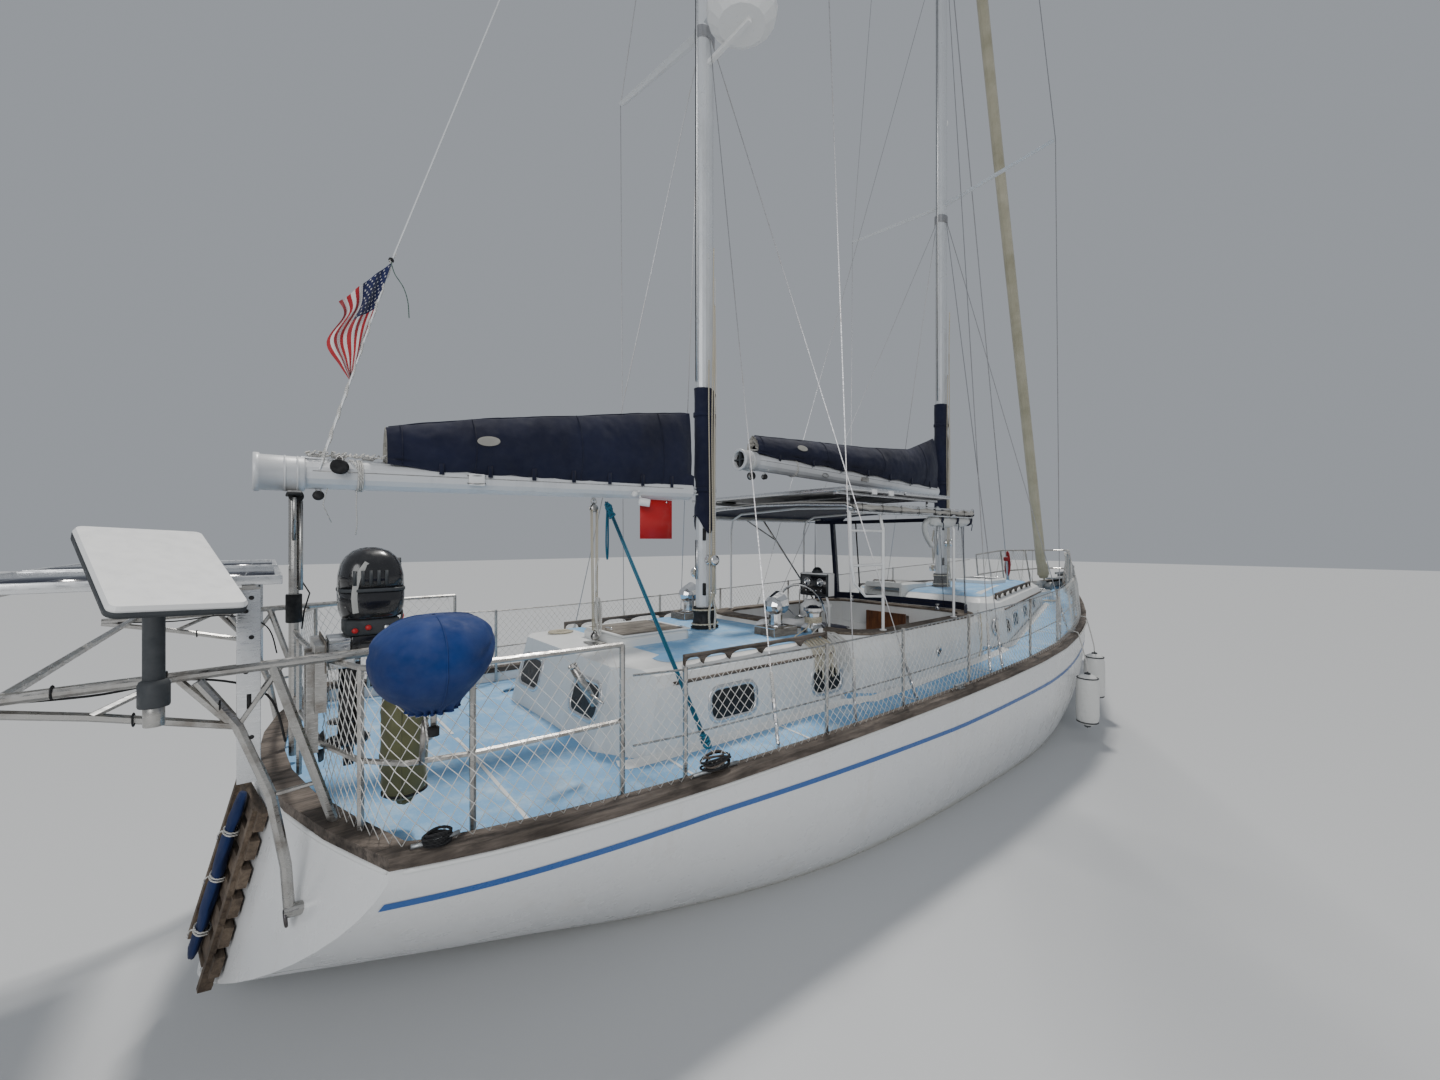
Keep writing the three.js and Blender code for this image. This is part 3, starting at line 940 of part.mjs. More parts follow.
// the arch in y and z, drawn out along x
function biminiShell(thick, z) {
  const upper = biminiArch.map(([y, dz]) => [y, z + dz]);
  const lower = biminiArch.map(([y, dz]) => [y * (Math.abs(y) > 1.1 ? 0.994 : 1), z + dz - thick]).reverse();
  const arch = new wasm.CrossSection([[...upper, ...lower]], 'EvenOdd').extrude(BIMINI.x[1] - BIMINI.x[0]);
  // the two forward corners are rounded
  return arch.transform([0, 1, 0, 0, 0, 0, 1, 0, 1, 0, 0, 0, BIMINI.x[0], 0, 0, 1]).intersect(loft([2, 4].map((level) => (
    planRing([BIMINI.x[0] - 1, BIMINI.x[1]], [BIMINI.half, BIMINI.half], BIMINI.corner, 0, level)))));
}
add('bimini_top', biminiShell(0.008, BIMINI.cloth), 'navy_canvas');
const panelBattens = [-0.93, 0.93].map((y) => (
  box([-2.51, -0.82], [y - 0.02, y + 0.02], [BIMINI.panels - 0.025, BIMINI.panels + 0.01])));
const panelFeet = [-2.32, -1.0].flatMap((x) => [-0.93, 0.93].map((y) => (
  bar([x, y, BIMINI.cloth - 0.015], [x, y, BIMINI.panels], 0.012, 6))));
add('bimini_solar_panels', fuse([
  box([-2.53, -1.68], [-1.08, 1.08], [BIMINI.panels, BIMINI.panels + 0.035]),
  box([-1.65, -0.80], [-1.08, 1.08], [BIMINI.panels, BIMINI.panels + 0.035]),
  ...panelBattens,
  ...panelFeet,
]).subtract(biminiShell(0.03, BIMINI.cloth + GAP)), 'solar');

const aboveBimini = biminiShell(0.308, BIMINI.cloth + 0.3 - GAP);
const dodgerShape = (t) => loft([[capBottom + 0.0245, 0], [2.05, 0.05], [2.66, 0.12]].map(([z, lean]) => (
  planRing([-0.85, 0.0 - lean], [1.10, 1.02], 0.34, 0.012 + t, z))));
const dodgerHem = dodgerShape(0).subtract(dodgerShape(0.05)).intersect(box([-1, 0.2], [-2, 2], [2.50, 2.53]));
add('dodger', dodgerShape(0).subtract(dodgerShape(0.012)).add(dodgerHem)
  .subtract(box([-2, -0.43], [-2, 2], [0, 4]))
  .subtract(aboveBimini), 'clear_vinyl');

const radomeAt = [MIZZEN.x, -0.50];
add('radome', fuse([
  turned(radomeAt[0], radomeAt[1], [[0, 6.60], [0.20, 6.60], [0.29, 6.66], [0.30, 6.74], [0.26, 6.81], [0.12, 6.84],
    [0, 6.84]], 16),
  box([MIZZEN.x - 0.018, MIZZEN.x + 0.018], [-0.60, -0.06], [6.565, 6.605]),
]).subtract(loft([6.3, 6.9].map((z) => ellipse(MIZZEN.x, 0, z, 0.0903, 0.0653)))), 'white_plastic');

// the ensign hangs limp along the starboard leg of the topping lift: height, width, droop, sway
const legAt = (z) => {
  const t = (z - liftFork[2]) / (liftEnd[2] - liftFork[2]);
  return liftFork.map((v, k) => v + (liftEnd[k] - v) * t);
};
add('ensign', loft([[4.02, 0.03, 0.04, 0.004], [3.88, 0.09, 0.08, 0.014], [3.70, 0.17, 0.04, 0.03],
  [3.46, 0.15, 0.06, 0.02], [3.27, 0.04, 0.05, 0.005]].map(([z, width, droop, sway]) => {
  const [x, y] = legAt(z);
  return [[x - 0.0067, y - 0.002, z], [x - 0.0067, y + 0.002, z],
    [x - width, y - sway + 0.002, z - droop], [x - width, y - sway - 0.002, z - droop]];
})), 'red');

export default root;
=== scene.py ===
import json
import math
from math import cos, pi, sin

import bpy
import bmesh
import numpy as np
from mathutils import Euler, Matrix, Vector, noise

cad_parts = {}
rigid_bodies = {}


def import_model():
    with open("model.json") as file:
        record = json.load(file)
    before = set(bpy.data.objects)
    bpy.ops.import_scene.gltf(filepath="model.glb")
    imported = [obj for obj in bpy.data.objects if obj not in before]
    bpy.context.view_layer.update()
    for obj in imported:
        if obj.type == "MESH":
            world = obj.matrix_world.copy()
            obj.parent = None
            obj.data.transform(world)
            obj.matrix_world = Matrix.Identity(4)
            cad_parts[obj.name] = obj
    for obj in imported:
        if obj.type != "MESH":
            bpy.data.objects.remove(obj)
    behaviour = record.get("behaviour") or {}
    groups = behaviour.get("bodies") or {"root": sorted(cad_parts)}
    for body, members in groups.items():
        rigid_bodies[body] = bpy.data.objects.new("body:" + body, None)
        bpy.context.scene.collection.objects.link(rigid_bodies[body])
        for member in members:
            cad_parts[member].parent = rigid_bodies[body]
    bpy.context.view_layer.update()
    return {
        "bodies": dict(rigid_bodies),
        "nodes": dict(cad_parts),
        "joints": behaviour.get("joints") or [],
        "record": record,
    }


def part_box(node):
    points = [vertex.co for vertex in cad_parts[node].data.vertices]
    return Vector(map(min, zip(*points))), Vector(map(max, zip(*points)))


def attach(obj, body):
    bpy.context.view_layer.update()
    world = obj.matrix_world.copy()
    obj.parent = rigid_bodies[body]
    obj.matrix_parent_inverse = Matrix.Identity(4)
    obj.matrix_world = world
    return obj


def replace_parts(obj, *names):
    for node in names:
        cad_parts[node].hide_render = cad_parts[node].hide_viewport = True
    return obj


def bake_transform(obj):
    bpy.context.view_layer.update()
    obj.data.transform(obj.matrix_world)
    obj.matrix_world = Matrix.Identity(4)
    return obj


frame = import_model()
NODES = frame["nodes"]

# Camera at the photograph's place: on the dock off the starboard quarter.
camera_data = bpy.data.cameras.new("camera")
camera_data.sensor_width = 36.0
camera_data.lens = 13.53
camera_data.clip_end = 200
camera = bpy.data.objects.new("camera", camera_data)
camera.location = (-6.25, -3.85, 2.3)
camera.rotation_euler = (math.radians(90), 0, math.radians(-40))
bpy.context.scene.collection.objects.link(camera)
bpy.context.scene.camera = camera


# ---- hull lines: the table that the CAD solids have too
STATIONS = np.array([
    # x, half-breadth, sheer, bottom, bottom half-width, section exponents
    (-6.26, 1.57, 1.10, 0.10, 0.03, 1.68, 1.0), (-5.40, 1.62, 1.05, -0.20, 0.05, 1.88, 0.98),
    (-4.40, 1.66, 1.01, -0.42, 0.08, 2.08, 0.75), (-3.00, 1.73, 1.02, -0.62, 0.12, 2.7, 0.58),
    (-1.20, 1.78, 1.06, -0.74, 0.14, 2.8, 0.55), (0.45, 1.74, 1.12, -0.76, 0.15, 2.8, 0.56),
    (1.90, 1.50, 1.21, -0.72, 0.14, 2.5, 0.60), (3.20, 1.10, 1.30, -0.58, 0.12, 2.1, 0.68),
    (4.30, 0.68, 1.38, -0.26, 0.09, 1.8, 0.76), (5.10, 0.34, 1.44, 0.26, 0.05, 1.6, 0.82),
    (5.60, 0.15, 1.48, 0.84, 0.04, 1.5, 0.86), (5.85, 0.05, 1.51, 1.28, 0.03, 1.5, 0.90)])
STERN_X = -6.26


def station(x):
    i = int(np.clip(np.searchsorted(STATIONS[:, 0], x, side="right") - 1, 0, len(STATIONS) - 2))
    p, q = STATIONS[i], STATIONS[i + 1]
    before, after = STATIONS[max(i - 1, 0)], STATIONS[min(i + 2, len(STATIONS) - 1)]
    t = (x - p[0]) / (q[0] - p[0])
    m0 = (q - before) / (q[0] - before[0]) * (q[0] - p[0])
    m1 = (after - p) / (after[0] - p[0]) * (q[0] - p[0])
    return (2*t**3 - 3*t**2 + 1) * p + (t**3 - 2*t**2 + t) * m0 + (-2*t**3 + 3*t**2) * q + (t**3 - t**2) * m1


def width_at(s, u):
    return s[4] + (s[1] - s[4]) * (1 - max(1 - u, 0) ** s[5]) ** s[6]


def stern_warp(x, y, z):
    w = min(max((-4.9 - x) / 1.36, 0), 1) ** 2
    return Vector((x + w * (0.37 * (y / 1.57) ** 2 - 0.28 * (1 - z / 1.1)), y, z))


def sheer(x):
    return float(station(x)[2])


def half_breadth(x):
    return float(station(x)[1])


def deck_top(x, y):
    half = max(half_breadth(x) - 0.07, 0.05)
    return sheer(x) - 0.085 + 0.05 * min(half, 1) * max(1 - (y / half) ** 2, 0)


def hull_point(x, z, out=0.0):
    s = station(x)
    u = (z - s[3]) / (s[2] - s[3])
    return stern_warp(x, width_at(s, u) + out, z)


# ---- materials
def new_material(name, color, roughness=0.5, metallic=0.0, **sockets):
    material = bpy.data.materials.new(name)
    material.use_nodes = True
    shader = material.node_tree.nodes["Principled BSDF"]
    shader.inputs["Base Color"].default_value = (*color, 1)
    shader.inputs["Roughness"].default_value = roughness
    shader.inputs["Metallic"].default_value = metallic
    for key, value in sockets.items():
        shader.inputs[key.replace("_", " ")].default_value = value
    return material


WAVE_TURN = 6.28  # texture scale that gives one band in each unit of pitch


class Graph:
    """A new material, with short names for the nodes that the materials share."""

    def __init__(self, *looks, **sockets):
        self.material = new_material(*looks, **sockets)
        self.tree = self.material.node_tree
        self.shader = self.tree.nodes["Principled BSDF"]
        self.coords = self.add("ShaderNodeTexCoord").outputs["Object"]

    def add(self, kind, **settings):
        node = self.tree.nodes.new(kind)
        for key, value in settings.items():
            setattr(node, key, value)
        return node

    def link(self, output, socket):
        self.tree.links.new(output, socket)

    def scaled(self, scale, source=None):
        mapping = self.add("ShaderNodeMapping")
        mapping.inputs["Scale"].default_value = scale
        self.link(source or self.coords, mapping.inputs["Vector"])
        return mapping.outputs["Vector"]

    def noise(self, scale, detail=4.0, roughness=0.55, stretch=(1, 1, 1), distortion=0.0):
        node = self.add("ShaderNodeTexNoise")
        node.inputs["Scale"].default_value = scale
        node.inputs["Detail"].default_value = detail
        node.inputs["Roughness"].default_value = roughness
        node.inputs["Distortion"].default_value = distortion
        self.link(self.scaled(stretch), node.inputs["Vector"])
        return node.outputs["Fac"]

    def wave(self, scale, direction="X", distortion=0.0, detail=0.0, stretch=(1, 1, 1), profile="SIN", source=None):
        node = self.add("ShaderNodeTexWave", bands_direction=direction, wave_profile=profile)
        node.inputs["Scale"].default_value = scale
        node.inputs["Distortion"].default_value = distortion
        node.inputs["Detail"].default_value = detail
        self.link(self.scaled(stretch, source), node.inputs["Vector"])
        return node.outputs["Fac"]

    def ramp(self, source, stops):
        node = self.add("ShaderNodeValToRGB")
        while len(node.color_ramp.elements) < len(stops):
            node.color_ramp.elements.new(0.5)
        for element, (place, color) in zip(node.color_ramp.elements, stops):
            element.position = place
            element.color = (*color, 1) if len(color) == 3 else color
        self.link(source, node.inputs["Fac"])
        return node.outputs["Color"]

    def mix(self, factor, a, b, blend="MIX"):
        node = self.add("ShaderNodeMix", data_type="RGBA", blend_type=blend)
        for value, socket in ((factor, node.inputs[0]), (a, node.inputs[6]), (b, node.inputs[7])):
            if isinstance(value, bpy.types.NodeSocket):
                self.link(value, socket)
            elif isinstance(value, tuple):
                socket.default_value = (*value, 1)
            else:
                socket.default_value = value
        return node.outputs[2]

    def math(self, kind, a, b=0.0, c=0.0):
        node = self.add("ShaderNodeMath", operation=kind)
        for value, socket in ((a, node.inputs[0]), (b, node.inputs[1]), (c, node.inputs[2])):
            if isinstance(value, bpy.types.NodeSocket):
                self.link(value, socket)
            else:
                socket.default_value = value
        return node.outputs[0]

    def remap(self, source, low, high, to_low, to_high):
        node = self.add("ShaderNodeMapRange")
        self.link(source, node.inputs["Value"])
        for key, value in (("From Min", low), ("From Max", high), ("To Min", to_low), ("To Max", to_high)):
            node.inputs[key].default_value = value
        return node.outputs["Result"]

    def axis(self, name):
        node = self.add("ShaderNodeSeparateXYZ")
        self.link(self.coords, node.inputs["Vector"])
        return node.outputs[name]

    def color(self, output):
        self.link(output, self.shader.inputs["Base Color"])

    def rough(self, output):
        self.link(output, self.shader.inputs["Roughness"])

    def bump(self, height, strength=0.3, distance=0.002):
        node = self.add("ShaderNodeBump")
        node.inputs["Strength"].default_value = strength
        node.inputs["Distance"].default_value = distance
        self.link(height, node.inputs["Height"])
        self.link(node.outputs["Normal"], self.shader.inputs["Normal"])


def painted(name, color, roughness=0.4, dirt=(0.45, 0.42, 0.36), dirt_share=0.35, grain=60.0, coat=0.0,
            metallic=0.0):
    """Paint or gelcoat: faint cloudiness, dirt in patches, fine orange peel."""
    g = Graph(name, color, roughness, metallic, Coat_Weight=coat)
    soft = g.noise(1.7, 6, 0.6)
    streaks = g.noise(3.0, 8, 0.7, stretch=(1.5, 1.5, 0.35))
    stain = g.ramp(streaks, [(0.52, (0, 0, 0)), (0.78, (dirt_share,) * 3)])
    tone = g.mix(soft, tuple(c * 0.93 for c in color), tuple(min(c * 1.05, 1) for c in color))
    g.color(g.mix(stain, tone, dirt))
    g.rough(g.remap(g.noise(9.0, 5), 0.3, 0.7, roughness * 0.8, min(roughness * 1.35, 1)))
    g.bump(g.noise(grain, 3), 0.06, 0.002)
    return g.material


def metal(name, color, roughness=0.25, tint=(0.30, 0.20, 0.12), tint_share=0.35, metallic=1.0):
    """Polished tube: brushed grain with tea-coloured stains."""
    g = Graph(name, color, roughness, metallic)
    stain = g.ramp(g.noise(7.0, 8, 0.65), [(0.5, (0, 0, 0)), (0.75, (tint_share,) * 3)])
    g.color(g.mix(stain, color, tint))
    g.rough(g.remap(g.noise(30.0, 4, stretch=(1, 1, 6)), 0.3, 0.7, roughness * 0.6, roughness * 1.7))
    g.bump(g.noise(180.0, 2, stretch=(1, 1, 0.1)), 0.05, 0.001)
    return g.material


def wood(name, light, dark, grain_axis=(0.12, 1, 1), roughness=0.8):
    """Bare or varnished wood with its grain along one axis."""
    g = Graph(name, light, roughness)
    fibre = g.noise(38.0, 9, 0.7, stretch=grain_axis, distortion=0.4)
    patch = g.noise(2.2, 5, 0.6)
    tone = g.ramp(fibre, [(0.33, dark), (0.5, tuple((a + b) / 2 for a, b in zip(light, dark))), (0.68, light)])
    worn = g.ramp(patch, [(0.45, (0, 0, 0)), (0.7, (0.7, 0.7, 0.7))])
    g.color(g.mix(worn, tone, dark, "MULTIPLY"))
    g.rough(g.remap(patch, 0.3, 0.7, roughness * 0.8, min(roughness * 1.2, 1)))
    g.bump(fibre, 0.5, 0.003)
    return g.material


def fabric(name, color, fade, weave=700.0, roughness=0.92, sheen=0.25, crumple=0.35):
    """Woven cloth: crossed threads, faded areas and soft crumples."""
    g = Graph(name, color, roughness, Sheen_Weight=sheen)
    threads = g.math("MULTIPLY", g.wave(weave / WAVE_TURN, "X"), g.wave(weave / WAVE_TURN, "Z"))
    worn = g.noise(2.5, 6, 0.6)
    g.color(g.mix(g.remap(worn, 0.35, 0.75, 0.0, 1.0), color, fade))
    g.rough(g.remap(g.noise(14.0, 4), 0.3, 0.7, roughness * 0.9, 1.0))
    height = g.math("ADD", g.math("MULTIPLY", threads, 0.12), g.math("MULTIPLY", g.noise(9.0, 4, 0.5), crumple))
    g.bump(height, 0.45, 0.006)
    return g.material


def glossy(name, color, roughness=0.3, speck=0.25, metallic=0.0, coat=0.0):
    """Moulded plastic or enamel with handling marks."""
    g = Graph(name, color, roughness, metallic, Coat_Weight=coat)
    marks = g.ramp(g.noise(6.0, 9, 0.7), [(0.55, (0, 0, 0)), (0.8, (speck,) * 3)])
    g.color(g.mix(marks, color, tuple(min(c * 0.6 + 0.12, 1) for c in color)))
    g.rough(g.remap(g.noise(25.0, 4), 0.3, 0.7, roughness * 0.7, min(roughness * 1.5, 1)))
    g.bump(g.noise(150.0, 2), 0.04, 0.001)
    return g.material


def rope(name, color, dark, pitch=260.0):
    """Laid rope: fine diagonal strands."""
    g = Graph(name, color, 0.9)
    strands = g.wave(pitch / WAVE_TURN, "DIAGONAL", 0.6, 1.0)
    g.color(g.mix(g.ramp(strands, [(0.25, (0.75,) * 3), (0.6, (0.0,) * 3)]), color, dark))
    g.bump(strands, 0.6, 0.003)
    return g.material


def hull_paint():
    color, below = (0.72, 0.73, 0.73), (0.012, 0.022, 0.05)
    g = Graph("hull_gelcoat", color, 0.28, Coat_Weight=0.15, Coat_Roughness=0.2)
    streaks = g.noise(2.4, 8, 0.7, stretch=(2.2, 2.2, 0.22))
    stain = g.ramp(streaks, [(0.54, (0, 0, 0)), (0.80, (0.30,) * 3)])
    rub = g.ramp(g.noise(11.0, 9, 0.75, stretch=(0.5, 1, 1.6)), [(0.63, (0, 0, 0)), (0.70, (0.25,) * 3)])
    tone = g.mix(g.noise(1.1, 5), (0.68, 0.70, 0.72), (0.77, 0.77, 0.76))
    tone = g.mix(stain, tone, (0.52, 0.47, 0.38))
    tone = g.mix(rub, tone, (0.92, 0.92, 0.90))
    height = g.math("ADD", g.axis("Z"), g.math("MULTIPLY", g.noise(5.0, 4), 0.02))
    scum = g.remap(height, 0.02, 0.10, 0.55, 0.0)
    tone = g.mix(scum, tone, (0.33, 0.31, 0.22))
    g.color(g.mix(g.remap(height, 0.0, 0.012, 1.0, 0.0), tone, below))
    g.rough(g.remap(g.noise(6.0, 6), 0.3, 0.7, 0.18, 0.42))
    g.bump(g.noise(3.0, 2), 0.05, 0.01)
    return g.material


def deck_paint():
    blue = (0.20, 0.42, 0.68)
    g = Graph("deck_non_slip", blue, 0.8)
    worn = g.ramp(g.noise(5.0, 9, 0.72), [(0.47, (0, 0, 0)), (0.70, (0.75,) * 3)])
    tone = g.mix(g.noise(0.9, 4), (0.17, 0.39, 0.66), (0.25, 0.48, 0.73))
    tone = g.mix(worn, tone, (0.55, 0.69, 0.80))
    dirt = g.ramp(g.noise(2.6, 7, 0.6), [(0.58, (0, 0, 0)), (0.82, (0.45,) * 3)])
    g.color(g.mix(dirt, tone, (0.38, 0.37, 0.34)))
    g.bump(g.noise(320.0, 3, 0.8), 0.35, 0.003)
    return g.material


def solar_cells(pitch=0.125):
    g = Graph("solar_cells", (0.008, 0.010, 0.018), 0.12, Coat_Weight=0.6, Coat_Roughness=0.05)

    def line(axis, step, thick):
        place = g.math("FRACT", g.math("DIVIDE", g.axis(axis), step))
        return g.math("LESS_THAN", g.math("ABSOLUTE", g.math("SUBTRACT", place, 0.5)), thick / step / 2)

    grid = g.math("MAXIMUM", line("X", pitch, 0.004), line("Y", pitch, 0.004))
    fingers = g.math("MULTIPLY", line("Y", pitch / 3, 0.0016), 0.6)
    tone = g.mix(g.noise(3.0, 3), (0.006, 0.009, 0.020), (0.010, 0.014, 0.032))
    g.color(g.mix(g.math("MAXIMUM", grid, fingers), tone, (0.16, 0.17, 0.19)))
    g.rough(g.remap(g.noise(8.0, 5), 0.3, 0.7, 0.08, 0.25))
    return g.material


def netting():
    g = Graph("net_twine", (0.72, 0.71, 0.68), 0.85)
    g.color(g.mix(g.noise(9.0, 6), (0.56, 0.55, 0.52), (0.86, 0.85, 0.82)))
    g.bump(g.noise(400.0, 2), 0.3, 0.001)
    return g.material


def clear_sheet():
    g = Graph("clear_window_sheet", (0.80, 0.84, 0.86), 0.08, Alpha=0.22, Coat_Weight=0.3)
    g.color(g.mix(g.noise(4.0, 6), (0.70, 0.74, 0.76), (0.88, 0.90, 0.91)))
    g.rough(g.remap(g.noise(7.0, 5), 0.3, 0.7, 0.05, 0.2))
    g.bump(g.noise(3.5, 4), 0.35, 0.02)
    return g.material


M = {
    "hull": hull_paint(),
    "white": painted("white_gelcoat", (0.76, 0.77, 0.76), 0.38, dirt_share=0.30),
    "deck": deck_paint(),
    "antifoul": painted("antifouling", (0.012, 0.022, 0.05), 0.85, dirt=(0.06, 0.07, 0.04), dirt_share=0.8,
                        grain=25),
    "rail_wood": wood("weathered_rail_wood", (0.215, 0.175, 0.145), (0.035, 0.027, 0.022), (0.10, 1, 1)),
    "teak": wood("weathered_teak", (0.26, 0.215, 0.17), (0.06, 0.045, 0.034), (0.14, 1, 1)),
    "slat_wood": wood("platform_wood", (0.20, 0.15, 0.105), (0.05, 0.034, 0.024), (1, 0.12, 1)),
    "brown_wood": wood("varnished_wood", (0.22, 0.085, 0.030), (0.07, 0.022, 0.010), (1, 1, 0.12), 0.35),
    "grey_wood": wood("grey_box_wood", (0.30, 0.27, 0.23), (0.10, 0.085, 0.07), (0.2, 1, 1)),
    "steel": metal("stainless_tube", (0.46, 0.45, 0.43), 0.3, (0.12, 0.085, 0.06), 0.75),
    "chrome": metal("polished_steel", (0.80, 0.80, 0.80), 0.10, tint_share=0.10),
    "spar": painted("white_spar_paint", (0.70, 0.71, 0.72), 0.35, dirt=(0.20, 0.20, 0.20), dirt_share=0.30,
                    metallic=0.1),
    "mast": painted("silver_mast_paint", (0.66, 0.68, 0.70), 0.32, dirt=(0.25, 0.24, 0.22), dirt_share=0.35,
                    metallic=0.35),
    "dark_metal": metal("dark_metal", (0.10, 0.10, 0.11), 0.45),
    "wire": metal("rigging_wire", (0.42, 0.42, 0.43), 0.35),
    "navy": fabric("navy_canvas", (0.0038, 0.0056, 0.022), (0.0085, 0.012, 0.040), sheen=0.08),
    "blue_cloth": fabric("bright_blue_canvas", (0.0007, 0.017, 0.098), (0.0015, 0.036, 0.19), crumple=0.45,
                         roughness=0.60, sheen=0.03),
    "strap_cloth": fabric("dark_blue_strap", (0.0010, 0.010, 0.055), (0.003, 0.022, 0.11), crumple=0.8, sheen=0.04),
    "strip_cloth": fabric("sun_strip_canvas", (0.33, 0.31, 0.22), (0.50, 0.47, 0.36)),
    "olive": fabric("olive_canvas", (0.085, 0.090, 0.040), (0.17, 0.17, 0.085)),
    "solar": solar_cells(),
    "aluminium": metal("panel_frame", (0.72, 0.73, 0.74), 0.3, tint_share=0.1),
    "black": glossy("black_enamel", (0.010, 0.010, 0.012), 0.22, coat=0.5),
    "grey_plastic": glossy("dark_grey_plastic", (0.040, 0.045, 0.050), 0.6),
    "plastic": glossy("white_plastic", (0.82, 0.82, 0.81), 0.35, speck=0.08),
    "vinyl": clear_sheet(),
    "vinyl_rolled": fabric("rolled_clear_curtain", (0.42, 0.43, 0.42), (0.66, 0.67, 0.66), weave=90.0,
                           roughness=0.35, crumple=0.9),
    "flag_red": fabric("flag_red", (0.34, 0.010, 0.020), (0.50, 0.040, 0.045), weave=500.0),
    "flag_white": fabric("flag_white", (0.62, 0.61, 0.60), (0.80, 0.79, 0.78), weave=500.0),
    "flag_blue": fabric("flag_blue", (0.006, 0.010, 0.060), (0.014, 0.022, 0.10), weave=500.0),
    "motor_stripe": glossy("motor_stripe", (0.42, 0.42, 0.40), 0.35, speck=0.1),
    "navy_piping": fabric("navy_piping", (0.004, 0.006, 0.020), (0.010, 0.014, 0.042)),
    "dark_glass": glossy("dark_window", (0.010, 0.012, 0.014), 0.30, speck=0.1),
    "fender": glossy("fender_vinyl", (0.72, 0.72, 0.70), 0.45, speck=0.3),
    "galvanised": metal("galvanised_steel", (0.42, 0.44, 0.45), 0.5, tint_share=0.5),
    "bronze": metal("cast_bronze", (0.36, 0.22, 0.08), 0.4, tint=(0.05, 0.12, 0.09), tint_share=0.6),
    "engine": painted("engine_paint", (0.06, 0.11, 0.08), 0.5),
    "rubber": glossy("black_rubber", (0.012, 0.012, 0.013), 0.7),
    "red": painted("red_sign_paint", (0.50, 0.010, 0.012), 0.35, dirt_share=0.2),
    "blue_line": glossy("hull_stripe_paint", (0.030, 0.115, 0.36), 0.3),
    "net": netting(),
    "mesh_cloth": fabric("grey_lining", (0.30, 0.29, 0.26), (0.48, 0.46, 0.42)),
    "green_cord": rope("green_cord", (0.10, 0.16, 0.13), (0.03, 0.06, 0.05)),
    "rope_cream": rope("cream_rope", (0.62, 0.57, 0.45), (0.30, 0.26, 0.19)),
    "rope_white": rope("white_rope", (0.70, 0.69, 0.66), (0.36, 0.35, 0.32)),
    "rope_blue": rope("turquoise_rope", (0.020, 0.15, 0.24), (0.008, 0.05, 0.09)),
    "rope_red": rope("red_rope", (0.42, 0.035, 0.04), (0.14, 0.01, 0.012)),
    "rope_black": rope("black_rope", (0.02, 0.02, 0.022), (0.006, 0.006, 0.007)),
}

NODES_BY_LOOK = {
    "hull": ("hull",),
    "deck": ("deck",),
    "rail_wood": ("cap_rail",),
    "teak": ("coaming_cap",),
    "slat_wood": ("swim_platform",),
    "antifoul": ("ballast_keel", "rudder"),
    "engine": ("engine",),
    "bronze": ("propeller",),
    "white": ("aft_cabin_trunk", "main_cabin_trunk", "cockpit_coaming", "cockpit_tub", "companionway_hatch",
              "aft_hatch", "main_hatch", "fore_hatch"),
    "brown_wood": ("companionway_door",),
    "plastic": ("helm_pedestal", "bimini_frame", "satellite_antenna", "radome"),
    "chrome": ("steering_wheel", "winch_port", "winch_stbd", "cowl_vent_port", "cowl_vent_stbd"),
    "mast": ("main_mast", "mizzen_mast"),
    "spar": ("main_boom", "mizzen_boom"),
    "wire": ("inner_forestay", "main_cap_shrouds", "main_lower_shrouds", "mizzen_cap_shrouds",
             "mizzen_lower_shrouds"),
    "steel": ("lifelines_port", "lifelines_stbd", "pushpit", "pulpit", "davits"),
    "strip_cloth": ("furled_genoa",),
    "solar": ("davit_solar_panels", "bimini_solar_panels"),
    "navy": ("seat_cushion_port", "seat_cushion_stbd", "main_sail_cover", "mizzen_sail_cover",
             "main_cover_collar", "mizzen_cover_collar", "bimini_top"),
    "blue_cloth": ("grill",),
    "black": ("outboard_motor",),
    "olive": ("fender_quarter",),
    "fender": ("fenders_bow",),
    "galvanised": ("anchor_and_roller", "windlass"),
    "vinyl": ("dodger",),
    "red": ("ensign",),
}
for look, nodes in NODES_BY_LOOK.items():
    for node in nodes:
        slots = NODES[node].data.materials
        slots.clear()
        slots.append(M[look])


# ---- mesh helpers
def obj_from(name, points, faces, materials, body="yacht", face_slots=None):
    """A smooth-shaded mesh that rides a body, or none; materials are keys of M or materials."""
    mesh = bpy.data.meshes.new(name)
    mesh.from_pydata([tuple(p) for p in points], [], [tuple(f) for f in faces])
    for m in materials if isinstance(materials, list) else [materials]:
        mesh.materials.append(M[m] if isinstance(m, str) else m)
    if face_slots is not None:
        mesh.polygons.foreach_set("material_index", face_slots)
    mesh.validate()
    mesh.polygons.foreach_set("use_smooth", [True] * len(mesh.polygons))
    mesh.update()
    obj = bpy.data.objects.new(name, mesh)
    bpy.context.scene.collection.objects.link(obj)
    if body:
        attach(obj, body)
    return obj


def circle(count):
    """The angles of a full turn in equal steps."""
    return np.linspace(0, 2 * pi, count, endpoint=False)


def oval(centre, a, b, count, plane="xy"):
    """An ellipse with the half-axes a and b along the two axes of its plane."""
    i, j = ("xyz".index(axis) for axis in plane)
    points = []
    for w in circle(count):
        p = list(centre)
        p[i] += a * cos(w)
        p[j] += b * sin(w)
        points.append(tuple(p))
    return points


def disc(radius, height):
    """Lathe profile of a plain cylinder."""
    return [(0, 0), (radius, 0), (radius, height), (0, height)]


def flipped(faces):
    return [tuple(reversed(f)) for f in faces]


def flat(rows):
    return [p for row in rows for p in row]


